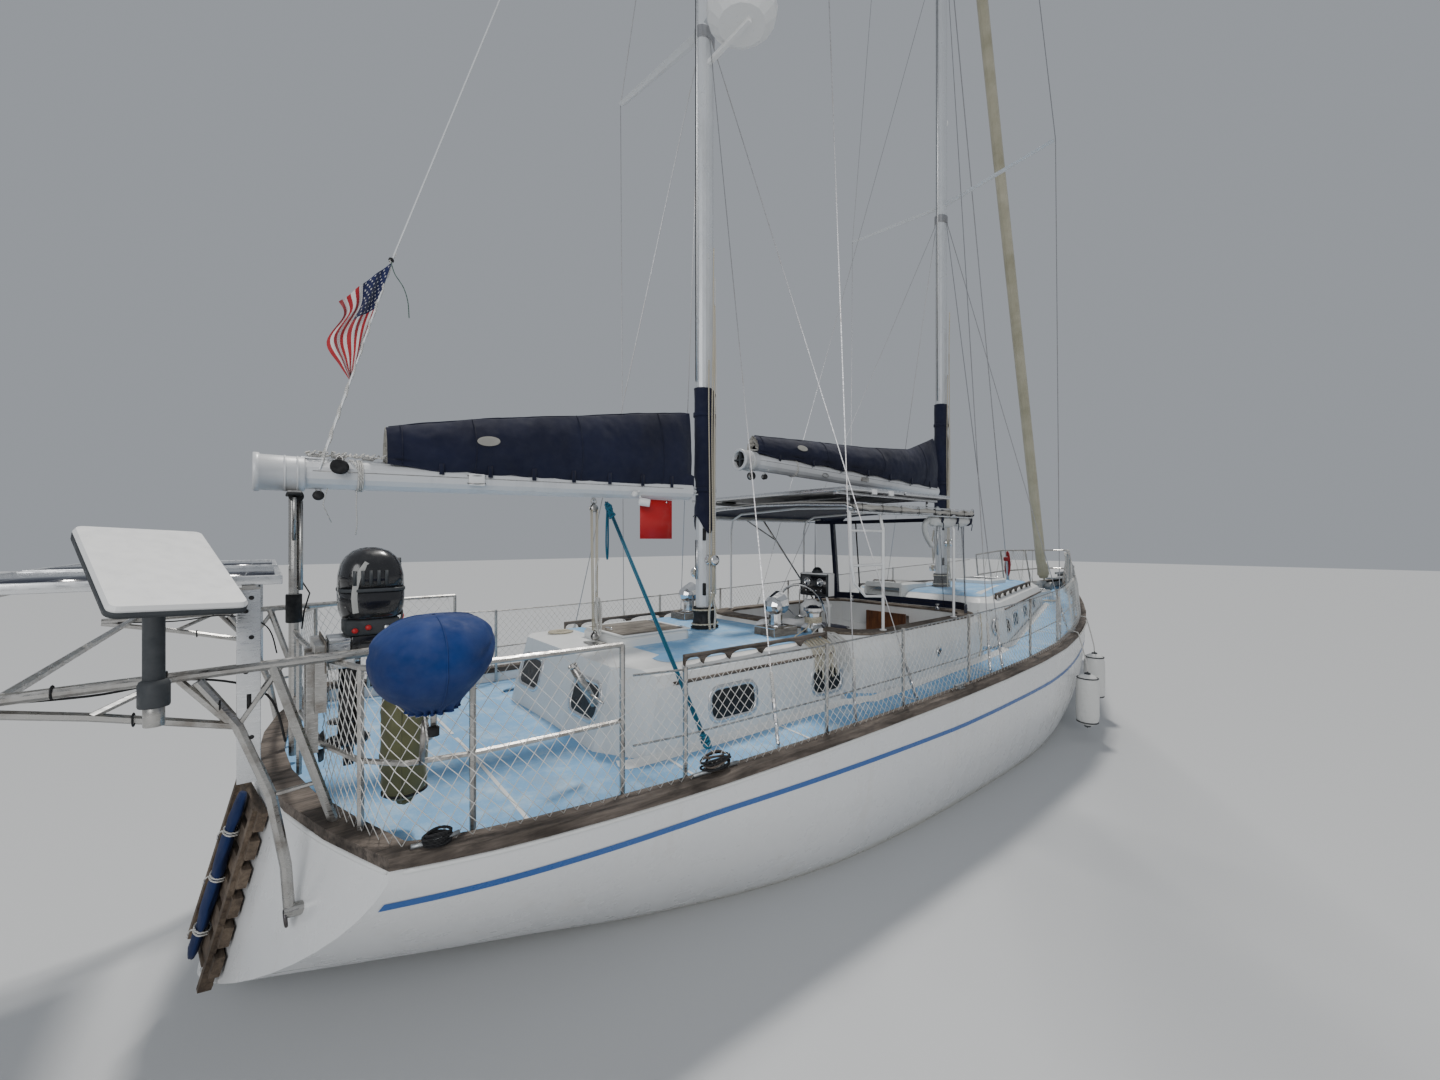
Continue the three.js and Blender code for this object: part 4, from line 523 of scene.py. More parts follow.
def grid_faces(rows, columns, close_columns=False, offset=0):
    """Quads between rows of points."""
    faces = []
    for r in range(rows - 1):
        for c in range(columns if close_columns else columns - 1):
            d = (c + 1) % columns
            faces.append((offset + r*columns + c, offset + r*columns + d,
                          offset + (r + 1)*columns + d, offset + (r + 1)*columns + c))
    return faces


def spline(points, count):
    """Points along a smooth curve through the given points, at equal steps of its parameter."""
    p = np.array([tuple(v) for v in points], float)
    if len(p) < 3:
        return [Vector(p[0] + (p[-1] - p[0]) * k / (count - 1)) for k in range(count)]
    result = []
    for k in range(count):
        t = k / (count - 1) * (len(p) - 1)
        i = min(int(t), len(p) - 2)
        f = t - i
        a, b, c, d = p[max(i - 1, 0)], p[i], p[i + 1], p[min(i + 2, len(p) - 1)]
        result.append(Vector(0.5 * ((2*b) + (-a + c)*f + (2*a - 5*b + 4*c - d)*f*f + (-a + 3*b - 3*c + d)*f**3)))
    return result


def sagging(a, b, sag, count=9):
    a, b = Vector(a), Vector(b)
    return [a.lerp(b, t) - Vector((0, 0, 4 * sag * t * (1 - t))) for t in np.linspace(0, 1, count)]


def tube_data(path, radius, sides=6, closed=False, caps=True, start=0):
    """Points and faces of a tube; radius is a number or one for each point."""
    path = [Vector(p) for p in path]
    count = len(path)
    radii = radius if isinstance(radius, (list, tuple, np.ndarray)) else [radius] * count
    points, side = [], None
    for i, p in enumerate(path):
        before = path[(i - 1) % count] if closed else path[max(i - 1, 0)]
        after = path[(i + 1) % count] if closed else path[min(i + 1, count - 1)]
        along = (after - before).normalized()
        if side is None:
            side = Vector((1, 0, 0)) if abs(along.z) > 0.9 else Vector((0, 0, 1))
        side = (side - along * side.dot(along)).normalized()
        other = along.cross(side)
        for k in range(sides):
            w = 2 * pi * k / sides
            points.append(p + side * (radii[i] * cos(w)) + other * (radii[i] * sin(w)))
    faces = grid_faces(count, sides, True, start)
    if closed:
        for k in range(sides):
            j = (k + 1) % sides
            a, b = start + (count - 1)*sides + k, start + (count - 1)*sides + j
            faces.append((a, b, start + j, start + k))
    elif caps:
        faces.append(tuple(start + k for k in reversed(range(sides))))
        faces.append(tuple(start + (count - 1)*sides + k for k in range(sides)))
    return points, faces


class Batch:
    """Collects many small shapes into one object; a slot is a number, or a key of the list given here."""

    def __init__(self, keys=None):
        self.keys, self.points, self.faces, self.slots = keys, [], [], []

    def add(self, points, faces, slot=0):
        slot = self.keys.index(slot) if isinstance(slot, str) else slot
        start = len(self.points)
        self.points += [tuple(p) for p in points]
        self.faces += [tuple(start + i for i in f) for f in faces]
        self.slots += [slot] * len(faces)

    def tube(self, path, radius, sides=6, closed=False, slot=0):
        self.add(*tube_data(path, radius, sides, closed), slot)

    def sheet(self, rows, slot=0, flip=False):
        faces = grid_faces(len(rows), len(rows[0]))
        self.add(flat(rows), flipped(faces) if flip else faces, slot)

    def loft(self, rings, slot=0, cap=True):
        count = len(rings[0])
        faces = grid_faces(len(rings), count, True)
        if cap:
            faces.append(tuple(reversed(range(count))))
            faces.append(tuple((len(rings) - 1)*count + k for k in range(count)))
        self.add(flat(rings), faces, slot)

    def lathe(self, origin, profile, sides=24, axis=(0, 0, 1), slot=0, cap=True):
        axis = Vector(axis).normalized()
        side = Vector((1, 0, 0)) if abs(axis.x) < 0.9 else Vector((0, 1, 0))
        side = (side - axis * side.dot(axis)).normalized()
        other = axis.cross(side)
        rings = []
        for r, h in profile:
            rings.append([Vector(origin) + axis*h + side*(r*cos(2*pi*k/sides))
                          + other*(r*sin(2*pi*k/sides)) for k in range(sides)])
        self.loft(rings, slot, cap)

    def box(self, low, high, slot=0, round_by=0.0):
        x0, y0, z0 = low
        x1, y1, z1 = high
        r = round_by
        if r <= 0:
            corners = [(x, y, z) for z in (z0, z1) for x, y in ((x0, y0), (x1, y0), (x1, y1), (x0, y1))]
            self.add(corners, [(3, 2, 1, 0), (4, 5, 6, 7), (0, 1, 5, 4), (1, 2, 6, 5), (2, 3, 7, 6), (3, 0, 4, 7)],
                     slot)
            return
        rings = []
        for z, inset in ((z0, r), (z0 + 0.3*r, 0.3*r), (z0 + r, 0), (z1 - r, 0), (z1 - 0.3*r, 0.3*r), (z1, r)):
            rings.append(round_ring((x0, x1), (y0, y1), max(r, 0.002), inset, z))
        self.loft(rings, slot)

    def build(self, name, materials=None, body="yacht"):
        return obj_from(name, self.points, self.faces, materials or self.keys, body, self.slots)


CORNERS = ((1, 1), (-1, 1), (-1, -1), (1, -1))


def round_ring(x, y, corner, inset, z, steps=4):
    """Outline of a rectangle with rounded corners, drawn in by the inset."""
    radius = max(corner - inset * 0.5, 0.002)
    ring = []
    for turn, (sx, sy) in enumerate(CORNERS):
        cx, cy = x[sx > 0] - sx * inset, y[sy > 0] - sy * inset
        for k in range(steps + 1):
            angle = (turn + k / steps) * pi / 2
            ring.append(Vector((cx - sx*radius + radius*cos(angle), cy - sy*radius + radius*sin(angle), z)))
    return ring


def shade_by_angle(obj, angle):
    obj.data.polygons.foreach_set("use_smooth", [True] * len(obj.data.polygons))
    with bpy.context.temp_override(object=obj, active_object=obj, selected_objects=[obj],
                                   selected_editable_objects=[obj]):
        bpy.ops.object.shade_smooth_by_angle(angle=math.radians(angle))


SMOOTH_NODES = ["main_mast", "mizzen_mast", "main_boom", "mizzen_boom", "pushpit", "pulpit", "davits",
                "lifelines_port", "lifelines_stbd", "bimini_frame", "steering_wheel", "helm_pedestal", "winch_port",
                "winch_stbd", "cowl_vent_port", "cowl_vent_stbd", "propeller", "rudder", "ballast_keel", "radome",
                "aft_cabin_trunk", "main_cabin_trunk", "cockpit_coaming", "furled_genoa", "windlass",
                "anchor_and_roller", "cap_rail", "inner_forestay", "coaming_cap", "cockpit_tub"]
for node in SMOOTH_NODES:
    shade_by_angle(NODES[node], 38)


# ---- hull skin, rub moulding and painted line
SKIN_OUT, TRANSOM_OUT = 0.0035, Vector((-0.004, 0, 0))


def hull_skin():
    xs = np.concatenate([np.linspace(STERN_X, -4.8, 22), np.linspace(-4.7, 5.2, 60), np.linspace(5.25, 5.85, 10)])
    levels = [0, 0.02, 0.05, 0.09, 0.13, 0.18, 0.25, 0.32, 0.4, 0.48, 0.56, 0.64, 0.72, 0.80, 0.88, 0.95, 1.0]
    points, rows = [], len(levels)
    for x in xs:
        s = station(x)
        side = [(width_at(s, u) + SKIN_OUT, s[3] + u * (s[2] - s[3])) for u in levels]
        ring = [(y, z) for y, z in side] + [(-y, z) for y, z in reversed(side)]
        points += [stern_warp(x, y, z) + (TRANSOM_OUT if x <= STERN_X else Vector((0, 0, 0))) for y, z in ring]
    columns = 2 * rows
    faces = []
    for r in range(len(xs) - 1):
        for c in range(columns - 1):
            if c == rows - 1:
                continue
            faces.append((r*columns + c, r*columns + c + 1, (r + 1)*columns + c + 1, (r + 1)*columns + c))
        faces.append((r*columns, (r + 1)*columns, (r + 1)*columns + columns - 1, r*columns + columns - 1))
    # transom with its rows curved in plan
    across, grid = 20, []
    s = station(STERN_X)
    for k, u in enumerate(levels):
        row = [k]
        y, z = width_at(s, u) + SKIN_OUT, s[3] + u * (s[2] - s[3])
        for c in range(1, across):
            points.append(stern_warp(STERN_X, y * (1 - 2*c/across), z) + TRANSOM_OUT)
            row.append(len(points) - 1)
        row.append(columns - 1 - k)
        grid.append(row)
    for k in range(rows - 1):
        for c in range(across):
            faces.append((grid[k][c], grid[k + 1][c], grid[k + 1][c + 1], grid[k][c + 1]))
    skin = obj_from("hull_skin", points, faces, "hull")
    mesh = bmesh.new()
    mesh.from_mesh(skin.data)
    bmesh.ops.recalc_face_normals(mesh, faces=mesh.faces)
    mesh.to_mesh(skin.data)
    mesh.free()
    shade_by_angle(skin, 40)
    return skin


hull_skin()

# stations of the painted line and the rub moulding
SIDE_XS = np.concatenate([np.linspace(-6.20, -4.8, 16), np.linspace(-4.6, 5.3, 64), np.linspace(5.4, 5.84, 5)])
LINE_DROPS = [(-6.3, 0.16), (-4.4, 0.15), (-3.4, 0.185), (-2.0, 0.235), (0.0, 0.26), (3.0, 0.24), (5.9, 0.22)]


def line_drop(x):
    return float(np.interp(x, [a for a, _ in LINE_DROPS], [b for _, b in LINE_DROPS]))


def hull_ribbon(name, material, drop, height, out):
    batch = Batch()
    for side in (1, -1):
        rows = []
        for x in SIDE_XS:
            d = drop(x)
            edges = [hull_point(x, z, out) for z in (sheer(x) - d + height / 2, sheer(x) - d - height / 2)]
            rows.append([(p.x, side * p.y, p.z) for p in edges])
        batch.sheet(rows, flip=side < 0)
    return batch.build(name, material)


hull_ribbon("painted_hull_line", "blue_line", line_drop, 0.032, 0.0055)

moulding = Batch()
for side in (1, -1):
    path = []
    for x in SIDE_XS:
        p = hull_point(x, sheer(x) - 0.014, 0.004)
        path.append((p.x, side * p.y, p.z))
    moulding.tube(path, 0.013, 6)
moulding.tube([stern_warp(STERN_X, y, 1.086) + Vector((-0.006, 0, 0)) for y in np.linspace(-1.55, 1.55, 24)], 0.013,
              6)
moulding.build("rub_moulding", "white")


# ---- windows in the trunk sides
def window_on(batch, centre, along, up, size, corner=0.06):
    """Rounded window on a wall: frame ring (slot 0), glass (1) and screws (2)."""
    along, up = Vector(along).normalized(), Vector(up).normalized()
    normal = along.cross(up).normalized()
    w, h = size[0] / 2, size[1] / 2

    def ring(grow, out):
        pts = []
        for turn, (sx, sy) in enumerate(CORNERS):
            r = max(corner + grow, 0.01)
            for k in range(6):
                angle = (turn + k / 5) * pi / 2
                a = sx*w + sx*grow - sx*r + r*cos(angle)
                b = sy*h + sy*grow - sy*r + r*sin(angle)
                pts.append(Vector(centre) + along*a + up*b + normal*out)
        return pts

    rings = [ring(0.034, -0.002), ring(0.034, 0.004), ring(0.028, 0.009), ring(0.010, 0.010), ring(0.002, 0.006),
             ring(0.0, 0.001)]
    batch.loft(rings, 0, False)
    glass = ring(0.001, 0.002)
    batch.add(glass, [tuple(range(len(glass)))], 1)
    for k in range(8):
        angle = 2 * pi * k / 8
        a, b = ((half + 0.018) * math.copysign(min(abs(f) * 1.25, 1), f)
                for half, f in ((w, cos(angle)), (h, sin(angle))))
        batch.lathe(Vector(centre) + along*a*0.97 + up*b*0.97 + normal*0.009, [(0.0055, 0), (0.004, 0.002)], 8,
                    normal, 2)


AFT = {"x": (-4.72, -2.48), "half": (1.04, 1.10), "corner": 0.16}
MAIN = {"x": (0.12, 3.62), "half": (1.16, 0.56), "corner": 0.34}


def trunk_half(size, x, inset=0.0):
    """Half-width of a trunk at x; its ends are rounded in plan."""
    (x0, x1), (h0, h1), c = size["x"], size["half"], size["corner"]
    t = min(max((x - x0 - c) / (x1 - x0 - 2 * c), 0.0), 1.0)
    over = max(x0 + c - x, x - x1 + c, 0.0)
    radius = max(c - inset, 0.01)
    return h0 + (h1 - h0) * t - inset - (radius - math.sqrt(max(radius * radius - over * over, 0.0)))


def trunk_side(size, x, z, levels):
    inset = float(np.interp(z, [a for a, _ in levels], [b for _, b in levels]))
    return trunk_half(size, x, inset)


AFT_LEVELS = [(0.80, 0), (1.37, 0.03), (1.44, 0.06), (1.475, 0.14), (1.50, 0.36)]
MAIN_LEVELS = [(0.90, 0), (1.46, 0.06), (1.55, 0.11), (1.60, 0.20), (1.64, 0.42)]


def side_windows(name, size, levels, rows):
    batch = Batch()
    for x, z, w, h in rows:
        for side in (1, -1):
            p0 = Vector((x - 0.1, side * trunk_side(size, x - 0.1, z, levels), z))
            p1 = Vector((x + 0.1, side * trunk_side(size, x + 0.1, z, levels), z))
            top = Vector((x, side * trunk_side(size, x, z + 0.1, levels), z + 0.1))
            low = Vector((x, side * trunk_side(size, x, z - 0.1, levels), z - 0.1))
            centre = (p0 + p1) / 2
            along = (p1 - p0) * (-1 if side > 0 else 1)
            window_on(batch, centre, along, top - low, (w, h))
    return batch.build(name, ["aluminium", "dark_glass", "chrome"])


side_windows("aft_trunk_windows", AFT, AFT_LEVELS, [(-3.77, 1.19, 0.38, 0.19), (-2.80, 1.185, 0.32, 0.18)])
side_windows("main_trunk_windows", MAIN, MAIN_LEVELS, [
    (0.42, 1.28, 0.34, 0.15), (1.06, 1.30, 0.34, 0.15), (1.76, 1.325, 0.32, 0.14), (2.50, 1.35, 0.28, 0.12)])
aft_face = Batch()
for y in (-0.48, 0.48):
    window_on(aft_face, (-4.608, y, 1.24), (0, -1, 0), (0.27, 0, 1), (0.36, 0.21))
aft_face.build("aft_face_windows", ["aluminium", "dark_glass", "chrome"])


# ---- light blue roof panels, handrails and eyebrows of the trunks
def roof_z(size, levels, x, y):
    x0, x1 = size["x"]
    inset = max(min(x - x0, x1 - x, trunk_half(size, x) - abs(y)), 0)
    return float(np.interp(inset, [i for _, i in levels], [z for z, _ in levels]))


def roof_patch(name, size, levels, x, inset, corner):
    half = [trunk_half(size, v) - inset for v in x]
    rings = []
    for shrink in (0.0, 0.05, 0.10, 0.16, 0.24, 0.40):
        ring = []
        for turn, (sx, sy) in enumerate(CORNERS):
            cx, cy = x[sx > 0], sy * half[sx > 0]
            r = max(corner - shrink * 0.5, 0.03)
            for k in range(6):
                angle = (turn + k / 5) * pi / 2
                px = cx - sx * (shrink + r) + r * cos(angle)
                py = cy - sy * (min(shrink, max(abs(cy) - r - 0.02, 0.0)) + r) + r * sin(angle)
                ring.append(Vector((px, py, roof_z(size, levels, px, py) + 0.0025)))
        rings.append(ring)
    count = len(rings[0])
    faces = grid_faces(len(rings), count, True)
    faces.append(tuple((len(rings) - 1)*count + k for k in range(count)))
    return obj_from(name, flat(rings), faces, "deck")


roof_patch("aft_roof_paint", AFT, AFT_LEVELS, (-4.24, -2.62), 0.17, 0.12)
roof_patch("main_roof_paint", MAIN, MAIN_LEVELS, (0.36, 3.30), 0.24, 0.14)


def handrail(batch, points, loops, rise=0.052):
    """Wooden grab rail: a flat bar over long oval gaps."""
    steps = 12
    path = spline(points, loops * steps + 1)
    for low_side in (False, True):
        rings = []
        for k, p in enumerate(path):
            phase = (k % steps) / steps
            gap = max(sin(pi * phase), 0) ** 0.35 if k % steps else 0.0
            top, low = (rise + 0.022, rise) if not low_side else (rise + 0.001, rise - (1 - gap) * (rise + 0.006))
            rings.append([p + Vector((0, y, z)) for y, z in ((-0.014, low), (-0.014, top - 0.004), (-0.008, top),
                                                             (0.008, top), (0.014, top - 0.004), (0.014, low))])
        batch.loft(rings)


def roof_line(size, levels, inset, xs, lift=0.0):
    z = float(np.interp(inset, [i for _, i in levels], [z for z, _ in levels])) + lift
    return [Vector((x, trunk_half(size, x, inset), z)) for x in xs]


rails = Batch()
for flip in (1, -1):
    for size, levels, inset, xs, loops in (
            (AFT, AFT_LEVELS, 0.115, (-4.12, -3.6, -2.70), 5), (MAIN, MAIN_LEVELS, 0.17, (0.50, 1.6, 2.95), 7)):
        line = roof_line(size, levels, inset, xs)
        handrail(rails, [(p.x, flip * p.y, p.z) for p in line], loops)
rails.build("roof_handrails", "rail_wood")

eyebrows = Batch()
for flip in (1, -1):
    for size, levels, inset, xs in ((AFT, AFT_LEVELS, 0.036, np.linspace(-4.26, -2.52, 9)),
                                    (MAIN, MAIN_LEVELS, 0.066, np.linspace(0.26, 3.3, 12))):
        line = roof_line(size, levels, inset, xs)
        eyebrows.tube([(p.x, flip * (p.y + 0.006), p.z) for p in line], 0.0125, 6)
eyebrows.build("trunk_eyebrows", "rail_wood")


# ---- netting from the cap rail to the top wires
def net_side():
    batch = Batch()
    low, high = [], []
    xs = np.linspace(-4.90, 4.95, 120)
    for x in xs:
        y = half_breadth(x)
        low.append(Vector((x, y - 0.045, sheer(x) + 0.050)))
        rail = Vector((x, y - 0.115, deck_top(x, y - 0.115) + 0.684))
        if x > 3.55:
            f = min((x - 3.55) / 0.5, 1)
            rail = rail.lerp(Vector((x, y - 0.10, 2.04 + 0.05 * min(max(x - 3.8, 0), 1))), f)
        high.append(rail)
    # round the quarter to the stern post
    quarter = [(-4.92, 0.115), (-5.30, 0.115), (-5.70, 0.12), (-6.02, 0.16), (-6.15, 0.30), (-6.17, 0.62)]
    tops = [stern_warp(x, half_breadth(x) - inboard, 1.0) for x, inboard in quarter]
    top_line = spline([(p.x, p.y, 1.775) for p in tops], 24)
    foot_line = []
    for k in range(24):
        t = k / 23
        x = -4.92 - 1.32 * min(t * 1.25, 1)
        y = (half_breadth(max(x, STERN_X)) - 0.05) * (1 - max(t - 0.8, 0) * 1.9)
        p = stern_warp(max(x, STERN_X), y, 1.1)
        foot_line.append(Vector((p.x + 0.05 * max(t - 0.6, 0) / 0.4, p.y, sheer(max(x, STERN_X)) + 0.050)))
    low = list(reversed(foot_line))[:-1] + low
    high = list(reversed(top_line))[:-1] + high
    lengths = [0.0]
    for a, b in zip(low, low[1:]):
        lengths.append(lengths[-1] + (b - a).length)
    total = lengths[-1]

    def at(s, h):
        s = min(max(s, 0), total)
        i = min(np.searchsorted(lengths, s, side="right") - 1, len(low) - 2)
        f = (s - lengths[i]) / max(lengths[i + 1] - lengths[i], 1e-6)
        a, b = low[i].lerp(low[i + 1], f), high[i].lerp(high[i + 1], f)
        sag = 0.012 * sin(s * 9.0) + 0.02 * noise.noise(Vector((s * 1.3, h * 2.0, 0)))
        return a.lerp(b, h) + Vector((0, -sag * sin(pi * h), -0.010 * sin(pi * h)))

    pitch, steps = 0.062, 7
    slant = pitch * 8
    count = int((total + slant) / pitch)
    for direction in (1, -1):
        for k in range(count):
            start = k * pitch - (slant if direction > 0 else 0)
            path = []
            for j in range(steps + 1):
                h = j / steps
                s = start + direction * slant * h
                if -1e-6 <= s <= total + 1e-6:
                    path.append(at(s, h))
            if len(path) > 1:
                batch.tube(path, 0.0019, 3)
    return batch


net = net_side()
net.build("rail_net_port", "net")
obj_from("rail_net_stbd", [(x, -y, z) for x, y, z in net.points], flipped(net.faces), "net")


# ---- cloth
def cloth(obj, length, held, rests_on=(), **more):
    return obj


def surface(name, rows, materials, body="yacht", closed=False, face_slot=None):
    """One open sheet through rows of points."""
    count = len(rows[0])
    faces = grid_faces(len(rows), count, closed)
    slots = None
    if face_slot:
        wide = count if closed else count - 1
        slots = [face_slot(k // wide, k % wide) for k in range(len(faces))]
    return obj_from(name, flat(rows), faces, materials, body, slots)


def wrinkle(x, y, z, seed=0.0, octaves=3):
    return noise.fractal(Vector((x, y, z + seed)), 0.7, 2.1, octaves)


def ribbon_along(batch, path, normals, width, slot=0):
    """Flat strip on a surface: path points with outward normals."""
    rows = []
    for k, (p, n) in enumerate(zip(path, normals)):
        ahead = Vector(path[min(k + 1, len(path) - 1)]) - Vector(path[max(k - 1, 0)])
        across = Vector(n).cross(ahead).normalized() * (width / 2)
        rows.append((Vector(p) - across, Vector(p) - across*0.4 + Vector(n)*0.0012,
                     Vector(p) + across*0.4 + Vector(n)*0.0012, Vector(p) + across))
    batch.sheet(rows, slot)


MAIN_BOOM = {"pivot": 0.92, "end": -2.74, "z": (2.97, 3.07)}
MIZZEN_BOOM = {"pivot": -3.33, "end": -6.24, "z": (2.735, 2.67)}
BOOM_R = 0.085


def boom_z(boom, x):
    t = (x - boom["pivot"]) / (boom["end"] - boom["pivot"])
    return boom["z"][0] + (boom["z"][1] - boom["z"][0]) * t


ARCH = spline([(-0.62, -0.10, 0), (-1.0, 0.22, 0), (-0.93, 0.52, 0), (-0.60, 0.80, 0), (-0.20, 0.97, 0),
               (0, 1.0, 0), (0.20, 0.97, 0), (0.60, 0.80, 0), (0.93, 0.52, 0), (1.0, 0.22, 0), (0.62, -0.10, 0)],
               61)
RIDGE, EDGE = 30, 60  # places in the arch: its top and its far edge


def sail_cover(name, node, boom, rows, body, seams, seed):
    xs_table = [r[0] for r in rows][::-1]
    highs = [r[1] for r in rows][::-1]
    halves = [r[2] for r in rows][::-1]
    count = 150
    xs = np.linspace(rows[0][0], rows[-1][0], count)
    ties = np.linspace(rows[0][0] - 0.25, rows[-1][0] + 0.30, 7)
    grid = []
    for x in xs:
        high = float(np.interp(x, xs_table, highs))
        half = float(np.interp(x, xs_table, halves))
        low = boom_z(boom, x) + BOOM_R - 0.004
        between = min(abs(x - t) for t in ties)
        row = []
        for j, a in enumerate(ARCH):
            v = a.y
            side = 1 if a.x >= 0 else -1
            fold = wrinkle(x * 5.5, side * 2.0, v * 1.6, seed) * 0.55
            fold += wrinkle(x * 14, side * 3.0, v * 5.0 + seed, seed + 4) * 0.20
            hang = 0.5 + 0.5 * sin(min(max(v, 0), 1) * pi)
            swell = 0.013 * fold * hang + 0.004 * sin(between * 9.0) * (1 - min(max(v, 0), 1))
            y = a.x * half + side * swell * (1 - abs(v - 0.1) * 0.2)
            z = low + max(v, -0.12) * (high - low) + 0.006 * fold * v
            if v < 0.05:
                z -= 0.012 * cos(between * 12.0) - 0.006
                z = max(z, low - 0.045)
                y = side * max(abs(y), 0.072)
            row.append(Vector((x, y, z)))
        grid.append(row)
    cover = surface(name, grid, "navy", body)
    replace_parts(cover, node)
    trim = Batch()
    for x in seams:
        i = int(np.argmin(abs(xs - x)))
        path = [p + Vector((0, 0.003 * (1 if p.y > 0 else -1), 0.003)) for p in grid[i]]
        trim.tube(path, 0.0028, 5)
    ridge = [grid[i][RIDGE] + Vector((0, 0.0, 0.003)) for i in range(0, count, 2)]
    trim.tube(ridge, 0.005, 6)
    for edge in (0, EDGE):
        trim.tube([grid[i][edge] for i in range(0, count, 2)], 0.0042, 6)
    for x in ties:
        i = int(np.argmin(abs(xs - x)))
        for side, j in ((-1, 3), (1, 57)):
            p = grid[i][j]
            lowest = grid[i][0 if side < 0 else EDGE]
            trim.box((p.x - 0.014, min(p.y, p.y + side * 0.006), lowest.z - 0.020),
                     (p.x + 0.014, max(p.y, p.y + side * 0.006), p.z + 0.01), 1, 0.0)
            trim.tube([(p.x, lowest.y, lowest.z - 0.012), (p.x + 0.008, lowest.y + side*0.008, lowest.z - 0.024),
                       (p.x, lowest.y - side * 0.004, lowest.z - 0.032)], 0.0028, 5, slot=2)
    trim.build(name + "_seams_and_ties", ["navy", "navy", "grey_plastic"], body)
    return cover, grid


MIZZEN_COVER = [(-3.375, 3.415, 0.034), (-3.45, 3.41, 0.075), (-3.55, 3.395, 0.10), (-3.92, 3.335, 0.12),
                (-4.46, 3.235, 0.12), (-5.04, 3.135, 0.115), (-5.50, 3.035, 0.10), (-5.69, 2.985, 0.07)]
MAIN_COVER = [(0.83, 3.70, 0.07), (0.60, 3.62, 0.12), (0.20, 3.48, 0.14), (-0.80, 3.40, 0.14), (-1.80, 3.36, 0.13),
              (-2.60, 3.32, 0.08)]
main_cover, main_grid = sail_cover("main_sail_cover_cloth", "main_sail_cover", MAIN_BOOM, MAIN_COVER, "main_boom",
                                   (0.45, -0.55, -1.60, -2.52), 3.0)
mizzen_cover, mizzen_grid = sail_cover("mizzen_sail_cover_cloth", "mizzen_sail_cover", MIZZEN_BOOM, MIZZEN_COVER,
                                       "mizzen_boom", (-3.72, -4.45, -5.20, -5.62), 11.0)
cloth(main_cover, 3.4, "hung", ["main_boom"])
cloth(mizzen_cover, 2.3, "hung", ["mizzen_boom"])


def sail_end(name, grid, body, seed):
    """The flaked sail that shows in the open end of a cover, with its grey lining."""
    edge = grid[-1]
    centre = sum(edge, Vector()) / len(edge)
    rows = []
    for k, (shrink, back) in enumerate(((0.97, -0.004), (0.86, 0.02), (0.62, 0.035), (0.36, 0.012), (0.12, 0.035))):
        row = []
        for j, p in enumerate(edge):
            q = centre + (p - centre) * shrink
            wave = 0.012 * sin(j * 1.15 + seed + k) * (k > 0)
            row.append(Vector((edge[0].x + back + wave, q.y, q.z + 0.006 * cos(j * 0.9 + k))))
        rows.append(row)
    return surface(name, rows, "mesh_cloth", body)


sail_end("mizzen_sail_in_cover_end", mizzen_grid, "mizzen_boom", 1.0)
sail_end("main_sail_in_cover_end", main_grid, "main_boom", 2.4)

# the covers' flaps that are laced round the masts
MASTS = {"main": {"x": 1.06, "half": (0.10, 0.07)}, "mizzen": {"x": -3.20, "half": (0.09, 0.065)}}


def collar(name, node, mast, low, high, seed, boom):
    x0, (a, b) = mast["x"], mast["half"]
    rows, columns = [], 72
    levels = np.linspace(0, 1, 46)
    for t in levels:
        row = []
        for k in range(columns + 1):
            angle = math.radians(8 + 344 * k / columns)
            side = sin(angle)
            front = max(cos(angle), 0)
            drop = 0.16 * abs(side) ** 2 * (1 - t) - 0.14 * front * (1 - t) + 0.05 * front * t
            z = low + 0.16 + (high - low - 0.16) * t - drop
            fold = wrinkle(cos(angle) * 1.2, side * 1.2, z * 4.0, seed) * 0.5
            pull = 0.006 * sin(z * 21.0) * front
            grow = 0.0135 + 0.0085 * fold + pull
            # drawn in tight where the boom's end swings past
            tight = min(max((0.135 - abs(z - boom["z"][0])) / 0.03, 0), 1)
            tight *= min(max(-cos(angle) - 0.05, 0) / 0.3, 1)
            grow += (0.003 - grow) * tight
            row.append(Vector((x0 + (a + grow) * cos(angle), (b + grow) * sin(angle), z)))
        rows.append(row)
    flap = surface(name, rows, "navy")
    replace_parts(flap, node)
    trim = Batch(["navy", "rope_white"])
    trim.tube(rows[0], 0.0038, 5)
    trim.tube(rows[-1], 0.0038, 5)
    trim.tube([row[0] for row in rows], 0.0036, 5)
    trim.tube([row[-1] for row in rows], 0.0036, 5)
    for t in np.linspace(0.08, 0.94, 7):
        row = rows[int(t * 45)]
        p, q = row[0], row[-1]
        trim.tube([p, (p + q) / 2 + Vector((0.006, 0, 0.010)), q + Vector((0.004, 0, 0.018)), q], 0.003, 5,
                  slot="rope_white")
        trim.tube([q, q + Vector((0.012, -0.006, -0.03)), q + Vector((0.008, -0.010, -0.075))], 0.0028, 5,
                  slot="rope_white")
    for t in (0.30, 0.82):
        z = low + (high - low) * t
        trim.loft([[Vector((x0 + (a + g) * cos(w), (b + g) * sin(w), z + dz)) for w in circle(40)]
                   for g, dz in ((0.018, -0.019), (0.0235, -0.017), (0.0235, 0.017), (0.018, 0.019))], "navy",
                   False)
    trim.build(name + "_edges_and_ties")
    return flap


